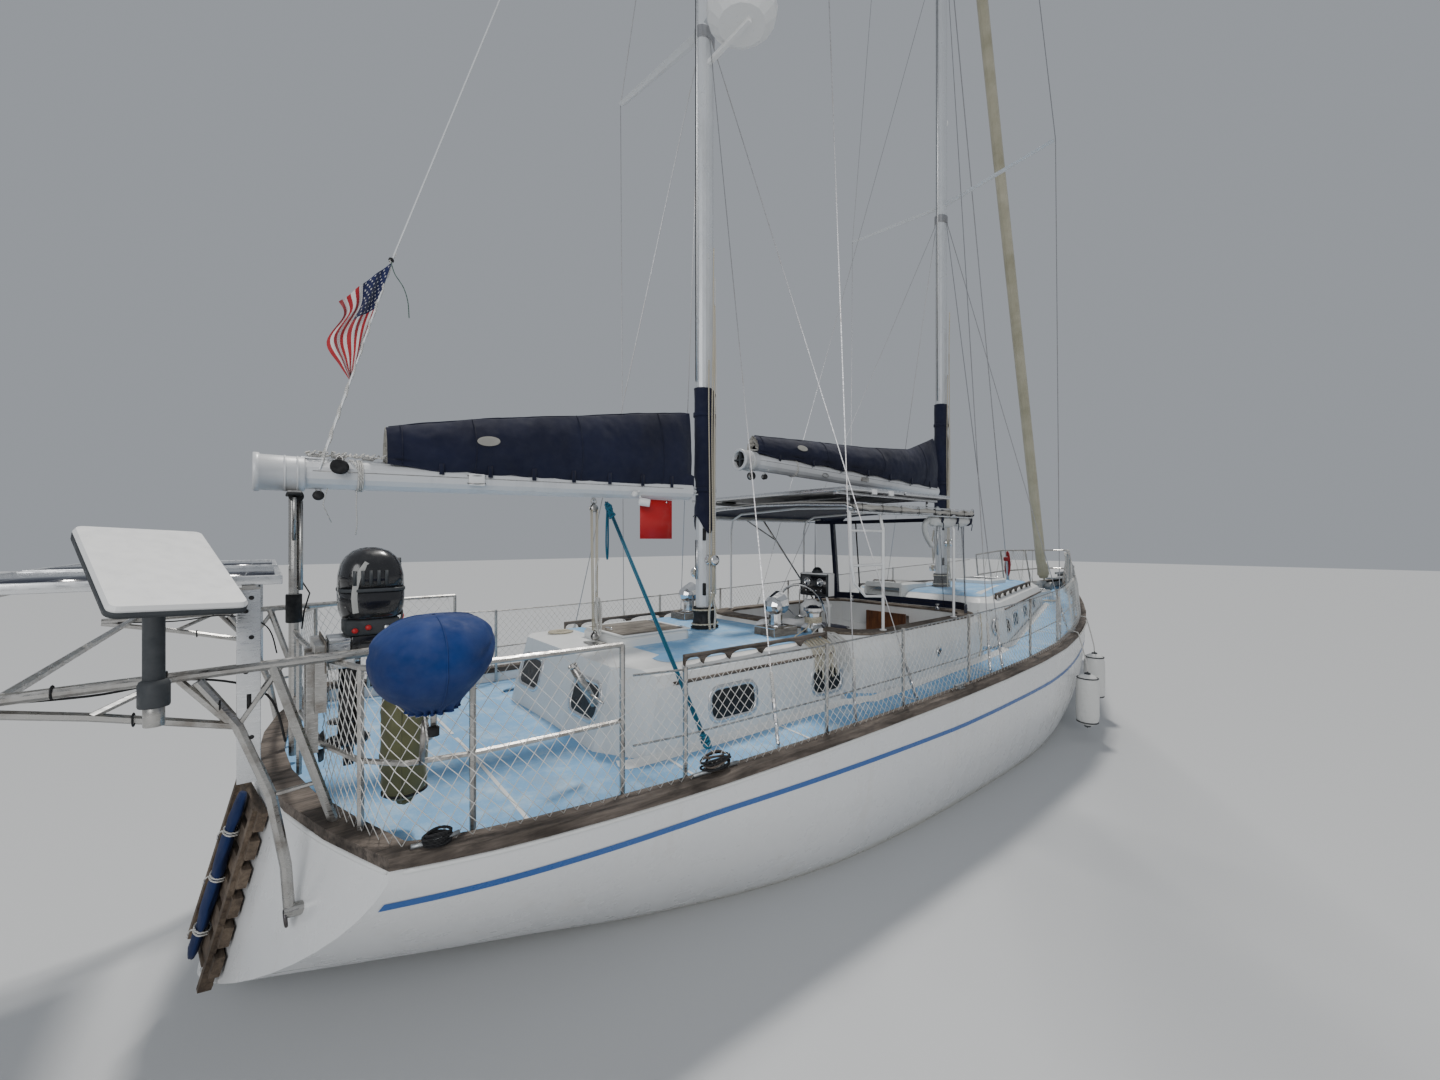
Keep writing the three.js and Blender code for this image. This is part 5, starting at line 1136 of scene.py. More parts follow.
main_flap = collar("main_cover_flap", "main_cover_collar", MASTS["main"], 2.62, 4.20, 5.0, MAIN_BOOM)
mizzen_flap = collar("mizzen_cover_flap", "mizzen_cover_collar", MASTS["mizzen"], 2.36, 3.66, 8.0, MIZZEN_BOOM)
cloth(main_flap, 1.6, "hung", ["main_mast"])
cloth(mizzen_flap, 1.3, "hung", ["mizzen_mast"])

# blank oval patches where the covers carry a sewn badge
badges = Batch()
for x, grid in ((-5.12, mizzen_grid), (-2.0, main_grid)):
    i = int(np.argmin([abs(row[0].x - x) for row in grid]))
    for side, j in ((-1, 12), (1, 48)):
        centre = grid[i][j]
        along = (grid[min(i + 4, 149)][j] - grid[i - 4][j]).normalized()
        up = (grid[i][j - 2 * side] - grid[i][j + 2 * side]).normalized()
        out = along.cross(up).normalized()
        out = out if out.y * side > 0 else -out
        ring = [centre + out * 0.005 + along * (0.075 * cos(w)) + up * (0.034 * sin(w))
                for w in circle(32)]
        inner = [centre + out * 0.0065 + along * (0.066 * cos(w)) + up * (0.027 * sin(w))
                 for w in circle(32)]
        order = 1 if (along.cross(up)).dot(out) > 0 else -1
        start = [ring, inner] if order > 0 else [ring[::-1], inner[::-1]]
        points = start[0] + start[1]
        faces = grid_faces(2, 32, True) + [tuple(range(32, 64))]
        badges.add(points, faces, 0 if x < -4 else 1)
for name, slot_index, body in (("mizzen_cover_blank_patches", 0, "mizzen_boom"),
                               ("main_cover_blank_patches", 1, "main_boom")):
    picked = Batch()
    for face, s in zip(badges.faces, badges.slots):
        if s == slot_index:
            picked.add([badges.points[i] for i in face], [tuple(range(len(face)))])
    picked.build(name, "mesh_cloth", body)


# ---- bimini
BIMINI = {"x": (-2.50, -0.09), "half": 1.12, "corner": 0.34, "z": 2.617}
HOOPS = (-1.97, -0.66)


def bimini_reach(x):
    """Half-width of the bimini at x, with its rounded forward corners."""
    centre = BIMINI["x"][1] - BIMINI["corner"]
    if x <= centre:
        return BIMINI["half"]
    t = min((x - centre) / BIMINI["corner"], 1.0)
    return BIMINI["half"] - BIMINI["corner"] * (1 - math.sqrt(max(1 - t * t, 0.0)))


def bimini_z(x, y):
    k = abs(y) / BIMINI["half"]
    arch = float(np.interp(k, [0, 0.5, 0.93, 1.0], [0.04, 0.025, -0.01, -0.055]))
    near = min(abs(x - h) for h in HOOPS)
    slack = 0.010 * min(near / 0.5, 1.0) ** 1.3 * (1 - k * k)
    ripple = 0.0022 * wrinkle(x * 7, y * 3.0, 0.0, 2.0)
    return BIMINI["z"] + arch - slack + ripple - 0.001


def bimini_cloth():
    rows = []
    for i in range(84):
        x = BIMINI["x"][0] + 0.004 + (BIMINI["x"][1] - BIMINI["x"][0] - 0.008) * i / 83
        reach = bimini_reach(x) - 0.003
        row = []
        for j in range(61):
            u = -1 + 2 * j / 60
            y = reach * u
            z = bimini_z(x, y * BIMINI["half"] / max(reach, 0.3) if x > BIMINI["x"][1] - 0.2 else y)
            row.append(Vector((x, y, z)))
        rows.append(row)
    cover = surface("bimini_cloth", rows, "navy")
    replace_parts(cover, "bimini_top")
    return cover


bimini = bimini_cloth()
cloth(bimini, 2.4, "stretched", ["bimini_frame"])


def bimini_edge():
    """Aluminium sail track and rolled screens along the sides, with the cloth's navy hem below."""
    edge = Batch(["aluminium", "mesh_cloth", "rubber", "navy"])
    xs = np.linspace(BIMINI["x"][0] + 0.02, BIMINI["x"][1] - 0.13, 46)
    for side in (-1, 1):
        def row(drop, grow=0.0):
            return [Vector((x, side * (bimini_reach(x) + grow - 0.012), bimini_z(x, bimini_reach(x) * 0.97) + drop))
                    for x in xs]
        edge.tube(row(0.034), 0.007, 6)
        edge.tube(row(-0.040), 0.008, 6)
        rolled = [p + Vector((0, side * -0.006, 0.010 * wrinkle(p.x * 6, 0, side, 3.0))) for p in row(-0.004)]
        edge.tube(rolled, 0.0165, 9, slot="mesh_cloth")
        rolled = [p + Vector((0, side * -0.014, 0.012 * wrinkle(p.x * 5 + 9, 0, side, 7.0))) for p in row(0.012)]
        edge.tube(rolled, 0.010, 8, slot="mesh_cloth")
        for k in range(2, 46, 6):
            p = row(0)[k]
            edge.tube([p + Vector((0, side * 0.009 * cos(w), 0.044 * sin(w) - 0.004)) for w in
                       circle(14)], 0.0035, 4, True, slot="rubber")
    back = [Vector((BIMINI["x"][0] + 0.012, y, bimini_z(BIMINI["x"][0], y) - 0.010))
            for y in np.linspace(-1.09, 1.09, 30)]
    edge.tube(back, 0.010, 7)
    edge.tube([p + Vector((0.0, 0, 0.022)) for p in back], 0.006, 6, slot="mesh_cloth")
    front = []
    for w in np.linspace(-1, 1, 41):
        y = w * 1.09
        x = BIMINI["x"][1] - 0.010
        if abs(y) > BIMINI["half"] - BIMINI["corner"]:
            over = (abs(y) - (BIMINI["half"] - BIMINI["corner"])) / BIMINI["corner"]
            x -= BIMINI["corner"] * (1 - math.sqrt(max(1 - over * over, 0)))
        front.append(Vector((x, y, bimini_z(x, y) - 0.006)))
    edge.tube(front, 0.0085, 7, slot="navy")
    edge.build("bimini_tracks_and_rolled_screens")
    # small lamps under the cloth
    under = Batch()
    for x in (-2.30, -1.15):
        under.lathe((x, -0.93, 2.577), [(0.0, -0.020), (0.022, -0.018), (0.030, -0.006), (0.030, 0.0), (0.0, 0.0)],
                    16)
    under.build("bimini_lamps", ["plastic"])


bimini_edge()


# ---- rigid solar panels on the bimini and the davits
def panel(batch, x, y, z, thick):
    """Framed panel: aluminium frame (slot 0), glass with cells (1), white back sheet (2) and junction box (3)."""
    (x0, x1), (y0, y1) = x, y
    f = 0.022
    for low, high in (((x0, y0), (x1, y0 + f)), ((x0, y1 - f), (x1, y1)), ((x0, y0 + f), (x0 + f, y1 - f)),
                      ((x1 - f, y0 + f), (x1, y1 - f))):
        batch.box((low[0], low[1], z), (high[0], high[1], z + thick), 0, 0.0025)
    batch.box((x0 + f, y0 + f, z + thick - 0.010), (x1 - f, y1 - f, z + thick - 0.003), 1)
    batch.box((x0 + f, y0 + f, z + thick - 0.0165), (x1 - f, y1 - f, z + thick - 0.0105), 2)
    mid = (x0 + x1) / 2, (y0 + y1) / 2
    batch.box((mid[0] - 0.07, y1 - 0.20, z + thick - 0.030), (mid[0] + 0.07, y1 - 0.10, z + thick - 0.017), 3,
              0.004)


bimini_panels = Batch(["aluminium", "solar", "plastic", "grey_plastic"])
for x in ((-2.53, -1.68), (-1.65, -0.80)):
    panel(bimini_panels, x, (-1.08, 1.08), 2.72, 0.035)
for y in (-0.93, 0.93):
    bimini_panels.box((-2.51, y - 0.02, 2.695), (-0.82, y + 0.02, 2.7195), "aluminium", 0.003)
    for x in (-2.32, -1.0):
        bimini_panels.tube([(x, y, bimini_z(x, y) + 0.002), (x, y, 2.70)], 0.012, 10)
        bimini_panels.lathe((x, y, bimini_z(x, y) + 0.001),
                            [(0.0, 0.0), (0.03, 0.0), (0.03, 0.005), (0.014, 0.008), (0, 0.008)], 16)
for x in (-2.16, -1.90):
    bimini_panels.box((x - 0.03, -1.094, 2.700), (x + 0.03, -1.074, 2.742), "plastic", 0.003)
piece = bimini_panels.build("bimini_framed_panels")
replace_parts(piece, "bimini_solar_panels")


# ---- dodger: clear screens with navy bands, black zips and a rolled-up curtain
def dodger_ring(z):
    """Plan of the screens at one height: they lean aft as they rise."""
    lean = float(np.interp(z, [1.485, 2.05, 2.66], [0, 0.05, 0.12]))
    inset = 0.012
    x1, radius = 0.0 - lean - inset, 0.34 - inset
    h1 = 1.02 - inset
    h0 = 1.10 - inset
    side_y = Vector((0, h0 - (h0 - h1) * (0.85 - 0.428) / (0.85 + x1 + inset), z)).y
    path = [Vector((-0.428 + (x1 - radius + 0.428) * k / 5, side_y + (h1 - side_y) * k / 5, z)) for k in range(6)]
    for k in range(1, 9):
        a = math.radians(90 - 90 * k / 8)
        path.append(Vector((x1 - radius + radius * cos(a), h1 - radius + radius * sin(a), z)))
    half = path + [Vector((x1, (h1 - radius) * (1 - k / 8), z)) for k in range(1, 9)]
    mirrored = [Vector((p.x, -p.y, p.z)) for p in reversed(half[:-1])]
    return half + mirrored


def dodger():
    levels = np.linspace(1.488, 2.565, 26)
    rows = []
    for z in levels:
        ring = dodger_ring(float(z))
        row = []
        for p in ring:
            out = (p - Vector((-0.5, 0, z))).normalized()
            row.append(p + out * 0.0045 * wrinkle(p.x * 3, p.y * 3, z * 2.5, 6.0))
        rows.append(row)
    count = len(rows[0])

    def slot(i, j):
        t = i / (len(rows) - 1)
        edge = min(j, count - 2 - j)
        if t < 0.045 or t > 0.93 or edge < 1:
            return 1
        return 0
    screen = surface("dodger_clear_screens", rows, ["vinyl", "navy"], face_slot=slot)
    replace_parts(screen, "dodger")
    trim = Batch(["navy", "rubber"])

    def strip(j, width, slot_index):
        path = [row[j] for row in rows]
        normals = [(p - Vector((-0.5, 0, p.z))).normalized() for p in path]
        ribbon_along(trim, [p + n * 0.003 for p, n in zip(path, normals)], normals, width, slot_index)
        ribbon_along(trim, [p - n * 0.003 for p, n in zip(path, normals)], [-n for n in normals], width, slot_index)
    for j in (9, count - 10):
        strip(j, 0.085, 0)
    for j in (14, count - 15):
        strip(j, 0.018, 1)
    for i in (1, 24):
        trim.tube(rows[i], 0.003, 5, slot="rubber")
    trim.build("dodger_bands_and_zips")
    return screen


screen = dodger()
cloth(screen, 3.6, "stretched", ["bimini_frame", "coaming_cap"])


CURTAIN_TIES = (-0.98, -0.66, -0.36)


def rolled_curtain():
    """The starboard side curtain, rolled up under the edge and tied."""
    roll = Batch(["vinyl_rolled", "navy"])
    xs = np.linspace(-1.16, -0.24, 40)
    rings = []
    for k, x in enumerate(xs):
        y = -(min(bimini_reach(x), 1.09) - 0.045)
        tie = min(abs(x - t) for t in CURTAIN_TIES)
        radius = 0.062 * (0.70 + 0.30 * min(tie / 0.10, 1.0)) * (0.55 + 0.45 * min((k + 1) / 4, (40 - k) / 4, 1))
        ring = []
        for j in range(28):
            a = 2 * pi * j / 28
            crease = 1 + 0.20 * noise.fractal(Vector((x * 7, cos(a) * 1.4, sin(a) * 1.4)), 0.7, 2.1, 3)
            ring.append(Vector((x, y + radius * 0.8 * crease * cos(a), 2.500 - 0.01 * sin((x + 1.2) * 5)
                                + radius * crease * sin(a))))
        rings.append(ring)
    roll.loft(rings, "vinyl_rolled", True)
    for t in CURTAIN_TIES:
        y = -(min(bimini_reach(t), 1.09) - 0.045)
        for d in (-0.010, 0.010):
            roll.tube([(t + d, y + 0.048 * cos(a), 2.505 + 0.058 * sin(a) + 0.012) for a in
                       circle(18)], 0.007, 5, True, slot="navy")
        roll.tube([(t, y - 0.040, 2.50), (t + 0.01, y - 0.052, 2.46), (t + 0.004, y - 0.046, 2.40)], 0.0045, 5,
                  slot="navy")
    # its loose end hangs down as a narrower roll
    tail = spline([(-1.12, -1.03, 2.515), (-1.19, -1.02, 2.47), (-1.17, -1.00, 2.40), (-1.08, -0.985, 2.31),
                   (-0.99, -0.98, 2.24)], 20)
    roll.tube(tail, 0.026, 12, slot="vinyl_rolled")
    roll.build("rolled_side_curtain")


rolled_curtain()
strut = Batch()
strut.tube([(-1.43, 1.03, 2.53), (-0.47, 1.045, 1.497)], 0.0115, 10)
strut.lathe((-0.47, 1.045, 1.4845), [(0, 0), (0.026, 0), (0.026, 0.006), (0.014, 0.012), (0, 0.012)], 16)
strut.tube([(-1.72, 1.02, 2.53), (-1.22, 1.035, 2.30)], 0.009, 8)
strut.build("bimini_port_struts", ["steel"])


# ---- the national ensign, hanging limp from the lift
def ensign():
    def leg(z):
        return -5.66 - (4.02 - z) * (0.36 / 1.325)

    outer = spline([(-5.93, 0, 3.67), (-5.905, 0, 3.60), (-5.985, 0, 3.43), (-5.925, 0, 3.31), (-5.875, 0, 3.235)],
                   31)
    count_u, count_v = 30, 40
    rows = []
    for j in range(count_v + 1):
        v = j / count_v
        row = []
        for i in range(count_u + 1):
            u = i / count_u
            # fly direction u runs down beside the lift, the hoist edge runs down to the left
            top = Vector((leg(4.00 - 0.76 * u) + 0.006, 0, 4.00 - 0.76 * u))
            p = top.lerp(outer[i], v)
            fold = 0.020 * sin(9.5 * v + 3.2 * u) * (0.35 + u) + 0.012 * sin(17 * v - 6.0 * u)
            p.y = -0.020 - 0.030 * v * (1 - u) + fold * min(v * 4, 1)
            p.z += 0.012 * sin(7 * v + 4 * u) * u * v * (1 - v)
            row.append(p)
        rows.append(row)

    def slot(j, i):
        u, v = (i + 0.5) / count_u, (j + 0.5) / count_v
        stripe = int(v * 13)
        if u < 0.40 and v < 7 / 13:
            return 2
        return 0 if stripe % 2 == 0 else 1
    flag = surface("ensign_cloth", rows, ["flag_red", "flag_white", "flag_blue"], "mizzen_boom", face_slot=slot)
    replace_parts(flag, "ensign")
    stars = Batch()
    for a in range(9):
        for b in range(6 if a % 2 == 0 else 5):
            u = 0.024 + 0.044 * a
            v = (7 / 13) * ((b + (0.5 if a % 2 == 0 else 1.0)) / 6.0)
            i, j = u * count_u, v * count_v
            i0, j0 = int(i), int(j)
            p = rows[j0][i0].lerp(rows[j0][i0 + 1], i - i0)
            q = rows[j0 + 1][i0].lerp(rows[j0 + 1][i0 + 1], i - i0)
            c = p.lerp(q, j - j0)
            du = (rows[j0][i0 + 1] - rows[j0][i0]).normalized()
            dv = (rows[j0 + 1][i0] - rows[j0][i0]).normalized()
            n = du.cross(dv).normalized()
            for side in (-1, 1):
                ring = []
                for k in range(10):
                    r = 0.0085 if k % 2 == 0 else 0.0036
                    w = 2 * pi * k / 10
                    ring.append(c + n * (0.0009 * side) + du * (r * cos(w)) + dv * (r * sin(w)))
                stars.add(ring, [tuple(range(10)) if side > 0 else tuple(reversed(range(10)))])
    stars.build("ensign_stars", ["flag_white"], "mizzen_boom")
    knots = Batch(["rope_black", "rope_white"])
    for z, size in ((4.02, 0.016), (3.66, 0.010), (3.27, 0.013)):
        x = leg(z)
        knots.lathe((x, -0.004, z - size), [(0, 0), (size * 0.8, size * 0.3), (size, size),
                                            (size * 0.7, size * 1.7), (0, size * 2)], 10, slot="rope_black")
        knots.tube([(x, -0.006, z), (x - 0.012, -0.018, z - 0.012), (x + 0.004, -0.012, z - 0.02)], 0.004, 5,
                   slot="rope_white")
    knots.build("ensign_ties", body="mizzen_boom")
    return flag


flag = ensign()
cloth(flag, 0.8, "hung", ["mizzen_boom"])


# ---- grill cover on its bracket
GRILL_X, GRILL_Y = -5.78, -1.66


def grill_cover():
    centre = Vector((GRILL_X, GRILL_Y, 0))
    profile = [(0.008, 2.028), (0.070, 2.022), (0.130, 2.004), (0.176, 1.972), (0.201, 1.930), (0.208, 1.886),
               (0.198, 1.842), (0.174, 1.798), (0.141, 1.758), (0.108, 1.724), (0.084, 1.700), (0.072, 1.684)]
    curve = spline([(r, 0, z) for r, z in profile], 60)
    rows = []
    count = 128
    for k, p in enumerate(curve):
        t = k / 59
        row = []
        for j in range(count):
            a = 2 * pi * j / count
            gathers = 0.016 * sin(a * 17 + 2.0 * sin(a * 3)) * max((t - 0.76) / 0.24, 0) ** 1.3
            # drawn up towards the knot on the bow side, with a few sharp folds that run into it
            knot = math.exp(-((a - 0.35) / 0.55) ** 2) if a < pi else math.exp(-((a - 2 * pi - 0.35) / 0.55) ** 2)
            fold = 0.012 * knot * (abs(sin(a * 13 + p.z * 8)) - 0.5) * sin(pi * min(t * 1.15, 1))
            soft = 0.010 * wrinkle(cos(a) * 1.1, sin(a) * 1.1, p.z * 6.0, 4.0) * min(t * 4, 1)
            line = 0.008 * max(0.0, 1 - abs(p.z - 1.905 - 0.03 * sin(a * 2 + 1)) / 0.022)
            line *= 0.4 + 0.6 * sin(a * 2.5) ** 2
            r = max(p.x + gathers + fold + soft - line, 0.006)
            lift = (0.028 * cos(a - 0.7)) * min(p.x / 0.15, 1) * sin(pi * min(max(t, 0), 1))
            row.append(centre + Vector((r * cos(a), r * sin(a), p.z + lift)))
        rows.append(row)
    cover = surface("grill_cover_cloth", rows, "blue_cloth", closed=True)
    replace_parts(cover, "grill")
    trim = Batch(["blue_cloth", "rope_white"])
    hem = [p + Vector((0, 0, -0.002)) for p in rows[-2]]
    trim.tube(hem, 0.0045, 6, True)
    for a0 in (0.35, 2.45, 4.75):
        j = int(a0 / (2 * pi) * count)
        trim.tube([row[j] + (row[j] - centre - Vector((0, 0, row[j].z))).normalized() * 0.0015
                   for row in rows[3:-2]], 0.0025, 5)
    loop = [rows[-2][k] + Vector((0, 0, -0.004)) for k in range(70, 86)]
    trim.tube(loop + [loop[-1] + Vector((0.004, -0.006, -0.05)), loop[-1] + Vector((0.010, -0.004, -0.09))], 0.003,
              5, slot="rope_white")
    trim.build("grill_cover_seams_and_cord")
    stand = Batch(["steel", "rubber"])
    stand.tube([(GRILL_X, GRILL_Y, 1.76), (GRILL_X, GRILL_Y, 1.60)], 0.011, 10)
    stand.tube([(GRILL_X, GRILL_Y, 1.60), (-5.78, -1.60, 1.56), (-5.78, -1.515, 1.60)], 0.0105, 10)
    stand.tube([(-5.78, -1.515, 1.60), (-5.78, -1.46, 1.42)], 0.0115, 10)
    stand.lathe((GRILL_X, GRILL_Y, 1.735), [(0.0, 0), (0.090, 0.0), (0.098, 0.006), (0.098, 0.02), (0.0, 0.02)], 28)
    stand.lathe((GRILL_X, GRILL_Y, 1.585), disc(0.02, 0.03), 14, slot="rubber")
    stand.build("grill_bracket_tubes")
    return cover


cover = grill_cover()
cloth(cover, 0.45, "draped", ["grill_bracket_tubes"])


# ---- the olive quarter fender and the white bow fenders
def fender(batch, centre, radius, length, slots, ribs=0, bumps=0.0, seed=0.0):
    turn = 40
    profile = []
    half = length / 2
    for k in range(61):
        t = -1 + 2 * k / 60
        r = radius * max(1 - abs(t) ** 7, 0) ** 0.55
        if ribs and abs(t) < 0.80:
            r -= 0.0045 * (0.5 + 0.5 * cos(t * ribs * pi))
        profile.append((max(r, 0.006), half * t * 0.955))
    rings = []
    for r, h in profile:
        ring = []
        for j in range(turn):
            a = 2 * pi * j / turn
            g = bumps * wrinkle(cos(a) * 1.5, sin(a) * 1.5, h * 9, seed)
            ring.append(Vector((centre[0] + (r + g) * cos(a), centre[1] + (r + g) * sin(a), centre[2] + h)))
        rings.append(ring)
    batch.loft(rings, slots[0], True)
    for sign in (-1, 1):
        top = centre[2] + sign * half * 0.955
        batch.lathe((centre[0], centre[1], top - 0.012), [(0.0, 0), (0.030, 0), (0.034, 0.012), (0.026, 0.022),
                    (0.0, 0.024)], 20, slot=slots[1])
        batch.lathe((centre[0], centre[1], centre[2] + sign * half * 0.80 - 0.006),
                    [(radius * 0.90, 0), (radius * 0.935, 0.004), (radius * 0.935, 0.010), (radius * 0.88, 0.014)],
                    turn, slot=slots[1], cap=False)
        batch.tube(oval((centre[0], centre[1], top + 0.012 * sign), 0.012, 0.012, 12, "xz"), 0.004, 5, True,
                   slots[1])


QUARTER = (-5.78, -1.12, 1.42)
quarter = Batch(["olive", "rope_black"])
fender(quarter, QUARTER, 0.092, 0.55, ("olive", "olive"), bumps=0.010, seed=3.0)
for w in (0.5, 2.4, 4.4):
    x, y, z = QUARTER[0] + 0.094 * cos(w), QUARTER[1] + 0.094 * sin(w), QUARTER[2]
    quarter.tube([(x, y, z + h) for h in np.linspace(-0.24, 0.24, 9)], 0.003, 5)
for h in (-0.22, 0.235):
    quarter.tube(oval((QUARTER[0], QUARTER[1], QUARTER[2] + h), 0.086, 0.086, 24), 0.006, 6, True,
                 slot="rope_black")
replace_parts(quarter.build("quarter_fender_in_cover"), "fender_quarter")


# ---- padded cockpit cushions
def cushion(name, node, side):
    x, y, z = (-1.925, -0.425), (0.447, 0.923), (1.1055, 1.176)
    seam_x, most = -1.175, 0.014
    inner = Batch()
    rings = []
    for level, inset in ((z[0], 0.022), (z[0] + 0.012, 0.004), (z[1] - 0.018, 0.004), (z[1], 0.024)):
        rings.append(round_ring(x, y, 0.05, inset, level, 5))
    if side < 0:
        rings = [[Vector((p[0], -p[1], p[2])) for p in reversed(ring)] for ring in rings]
    inner.loft(rings)
    piece = inner.build(name, ["navy"])
    bpy.context.view_layer.objects.active = piece
    remesh = piece.modifiers.new("even", "REMESH")
    remesh.mode = "VOXEL"
    remesh.voxel_size = 0.0145
    with bpy.context.temp_override(object=piece, active_object=piece):
        bpy.ops.object.modifier_apply(modifier=remesh.name)
    start = [v.co.copy() for v in piece.data.vertices]
    sim = piece.modifiers.new("stuffing", "CLOTH")
    settings = sim.settings
    settings.quality = 5
    settings.use_pressure = True
    settings.uniform_pressure_force = 4.0
    settings.tension_stiffness = 12
    settings.compression_stiffness = 12
    settings.bending_stiffness = 0.4
    settings.shrink_min = -0.02
    settings.effector_weights.gravity = 0
    scene = bpy.context.scene
    for frame in range(1, 15):
        scene.frame_set(frame)
    with bpy.context.temp_override(object=piece, active_object=piece):
        bpy.ops.object.modifier_apply(modifier=sim.name)
    scene.frame_set(1)
    for v, old in zip(piece.data.vertices, start):
        move = v.co - old
        if move.length > most:
            v.co = old + move * (most / move.length)
    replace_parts(piece, node)
    middle_y = side * (y[0] + y[1]) / 2
    for v in piece.data.vertices:
        t = v.co
        if t.z > z[0] + 0.03:
            near = abs(t.x - seam_x)
            v.co.z -= 0.006 * math.exp(-(near / 0.02) ** 2)
            v.co.z += 0.004 * wrinkle(t.x * 4, t.y * 5, 0, 5.0)
    piece.data.update()
    for face in piece.data.polygons:
        face.use_smooth = True
    seams = Batch()
    for level in (z[0] + 0.004, z[1] - 0.008):
        ring = [Vector((p[0], side * p[1], level)) for p in round_ring(x, y, 0.05, -0.003, level, 6)]
        seams.tube(ring, 0.0042, 6, True)
    seams.tube([(seam_x, side * v, z[1] + 0.0005) for v in np.linspace(y[0] + 0.01, y[1] - 0.01, 12)], 0.003, 5)
    for bx in (-1.55, -0.80):
        seams.lathe((bx, middle_y, z[1] - 0.002), [(0, 0), (0.012, 0), (0.013, 0.004), (0.008, 0.0075), (0, 0.008)],
                    16)
    seams.build(name + "_piping", ["navy_piping"])
    return piece


cushion("port_seat_cushion_padded", "seat_cushion_port", 1)
cushion("starboard_seat_cushion_padded", "seat_cushion_stbd", -1)


# ---- boom ends, tracks and gear
def boom_end(name, boom, body, x_out, r, seams):
    part = Batch(["spar", "grey_plastic", "rubber"])
    x1, z = boom["end"], boom["z"][1]

    def tapered(profile):
        part.loft([oval((x, 0, z), radius, radius, 28, "yz") for x, radius in profile], "spar", False)

    # hollow end casting: outer wall, lip, inner wall
    tapered([(x1 + 0.16, BOOM_R + 0.001), (x1 + 0.158, r - 0.004), (x1 + 0.150, r), (x_out + 0.030, r),
             (x_out + 0.026, r + 0.008), (x_out + 0.004, r + 0.008), (x_out, r + 0.004), (x_out, r - 0.014),
             (x_out + 0.008, r - 0.018), (x1 - 0.006, r - 0.020)])
    for x in seams:
        tapered([(x - 0.005, r - 0.002), (x - 0.004, r + 0.0035), (x + 0.004, r + 0.0035), (x + 0.005, r - 0.002)])
    part.box((x_out + 0.012, -0.0085, z - r + 0.016), (x1 - 0.004, 0.0085, z + r - 0.016), "grey_plastic", 0.002)
    part.box((x_out + 0.014, -r + 0.018, z - 0.007), (x1 - 0.004, r - 0.018, z + 0.007), "grey_plastic", 0.002)
    # black disc at the bottom of the hollow end: painted shade inside the opening
    part.lathe((x1 - 0.002, 0, z), disc(r - 0.019, 0.002), 28, (1, 0, 0), "rubber")
    part.build(name, body=body)


boom_end("mizzen_boom_end_casting", MIZZEN_BOOM, "mizzen_boom", -6.305, 0.098, (-6.17, -6.115))
boom_end("main_boom_end_casting", MAIN_BOOM, "main_boom", -2.79, 0.096, (-2.66,))


def block(batch, centre, axis, size=0.05, slots=(0, 1)):
    """Two cheeks, a sheave and a shackle."""
    centre, axis = Vector(centre), Vector(axis).normalized()
    for s in (-1, 1):
        batch.lathe(centre + axis * (s * size * 0.30), [(0, -0.003), (size * 0.46, -0.003), (size * 0.5, 0.0),
                                                        (size * 0.46, 0.003), (0, 0.0045)], 18, axis * s, slots[0])
    batch.lathe(centre - axis * (size * 0.25), [(0, 0), (size * 0.42, 0), (size * 0.34, size * 0.12),
                                                (size * 0.34, size * 0.38), (size * 0.42, size * 0.5),
                                                (0, size * 0.5)], 18, axis, slots[1])
    side = axis.cross(Vector((0, 0, 1)))
    side = side.normalized() if side.length > 0.1 else Vector((1, 0, 0))
    batch.tube([centre + Vector((0, 0, size * 0.45)) + side * (size * 0.20 * cos(a))
                + Vector((0, 0, size * 0.28 * sin(a))) for a in circle(12)], size * 0.07, 5, True, slot=slots[1])


def lashing(batch, x, boom, turns, pitch, radius):
    """Line wound round a boom."""
    path, out = [], BOOM_R + 0.002 + radius
    for k in range(turns * 14 + 1):
        a = 2 * pi * k / 14
        xx = x + pitch * k / 14
        path.append((xx, out * cos(a), boom_z(boom, xx) + out * sin(a)))
    batch.tube(path, radius, 5)


gear = Batch(["rope_white", "rubber", "steel", "aluminium", "plastic"])
block(gear, (-5.93, -0.118, 2.715), (0.25, 1, 0.1), 0.085, ("rubber", "steel"))
block(gear, (-6.12, 0.0, 2.545), (0, 1, 0), 0.07, ("rubber", "steel"))
block(gear, (-6.02, 0.0, 2.555), (0, 1, 0), 0.055, ("rubber", "steel"))
lashing(gear, -5.84, MIZZEN_BOOM, 3, 0.010, 0.0048)
gear.tube([(-5.90, 0.03, 2.775), (-5.86, -0.05, 2.76), (-5.83, -0.094, 2.69), (-5.835, -0.05, 2.60),
           (-5.84, 0.02, 2.592)], 0.0045, 6)
gear.tube([(-5.84, -0.03, 2.59), (-5.842, -0.028, 2.50), (-5.838, -0.034, 2.40), (-5.845, -0.03, 2.33)], 0.0035, 5)
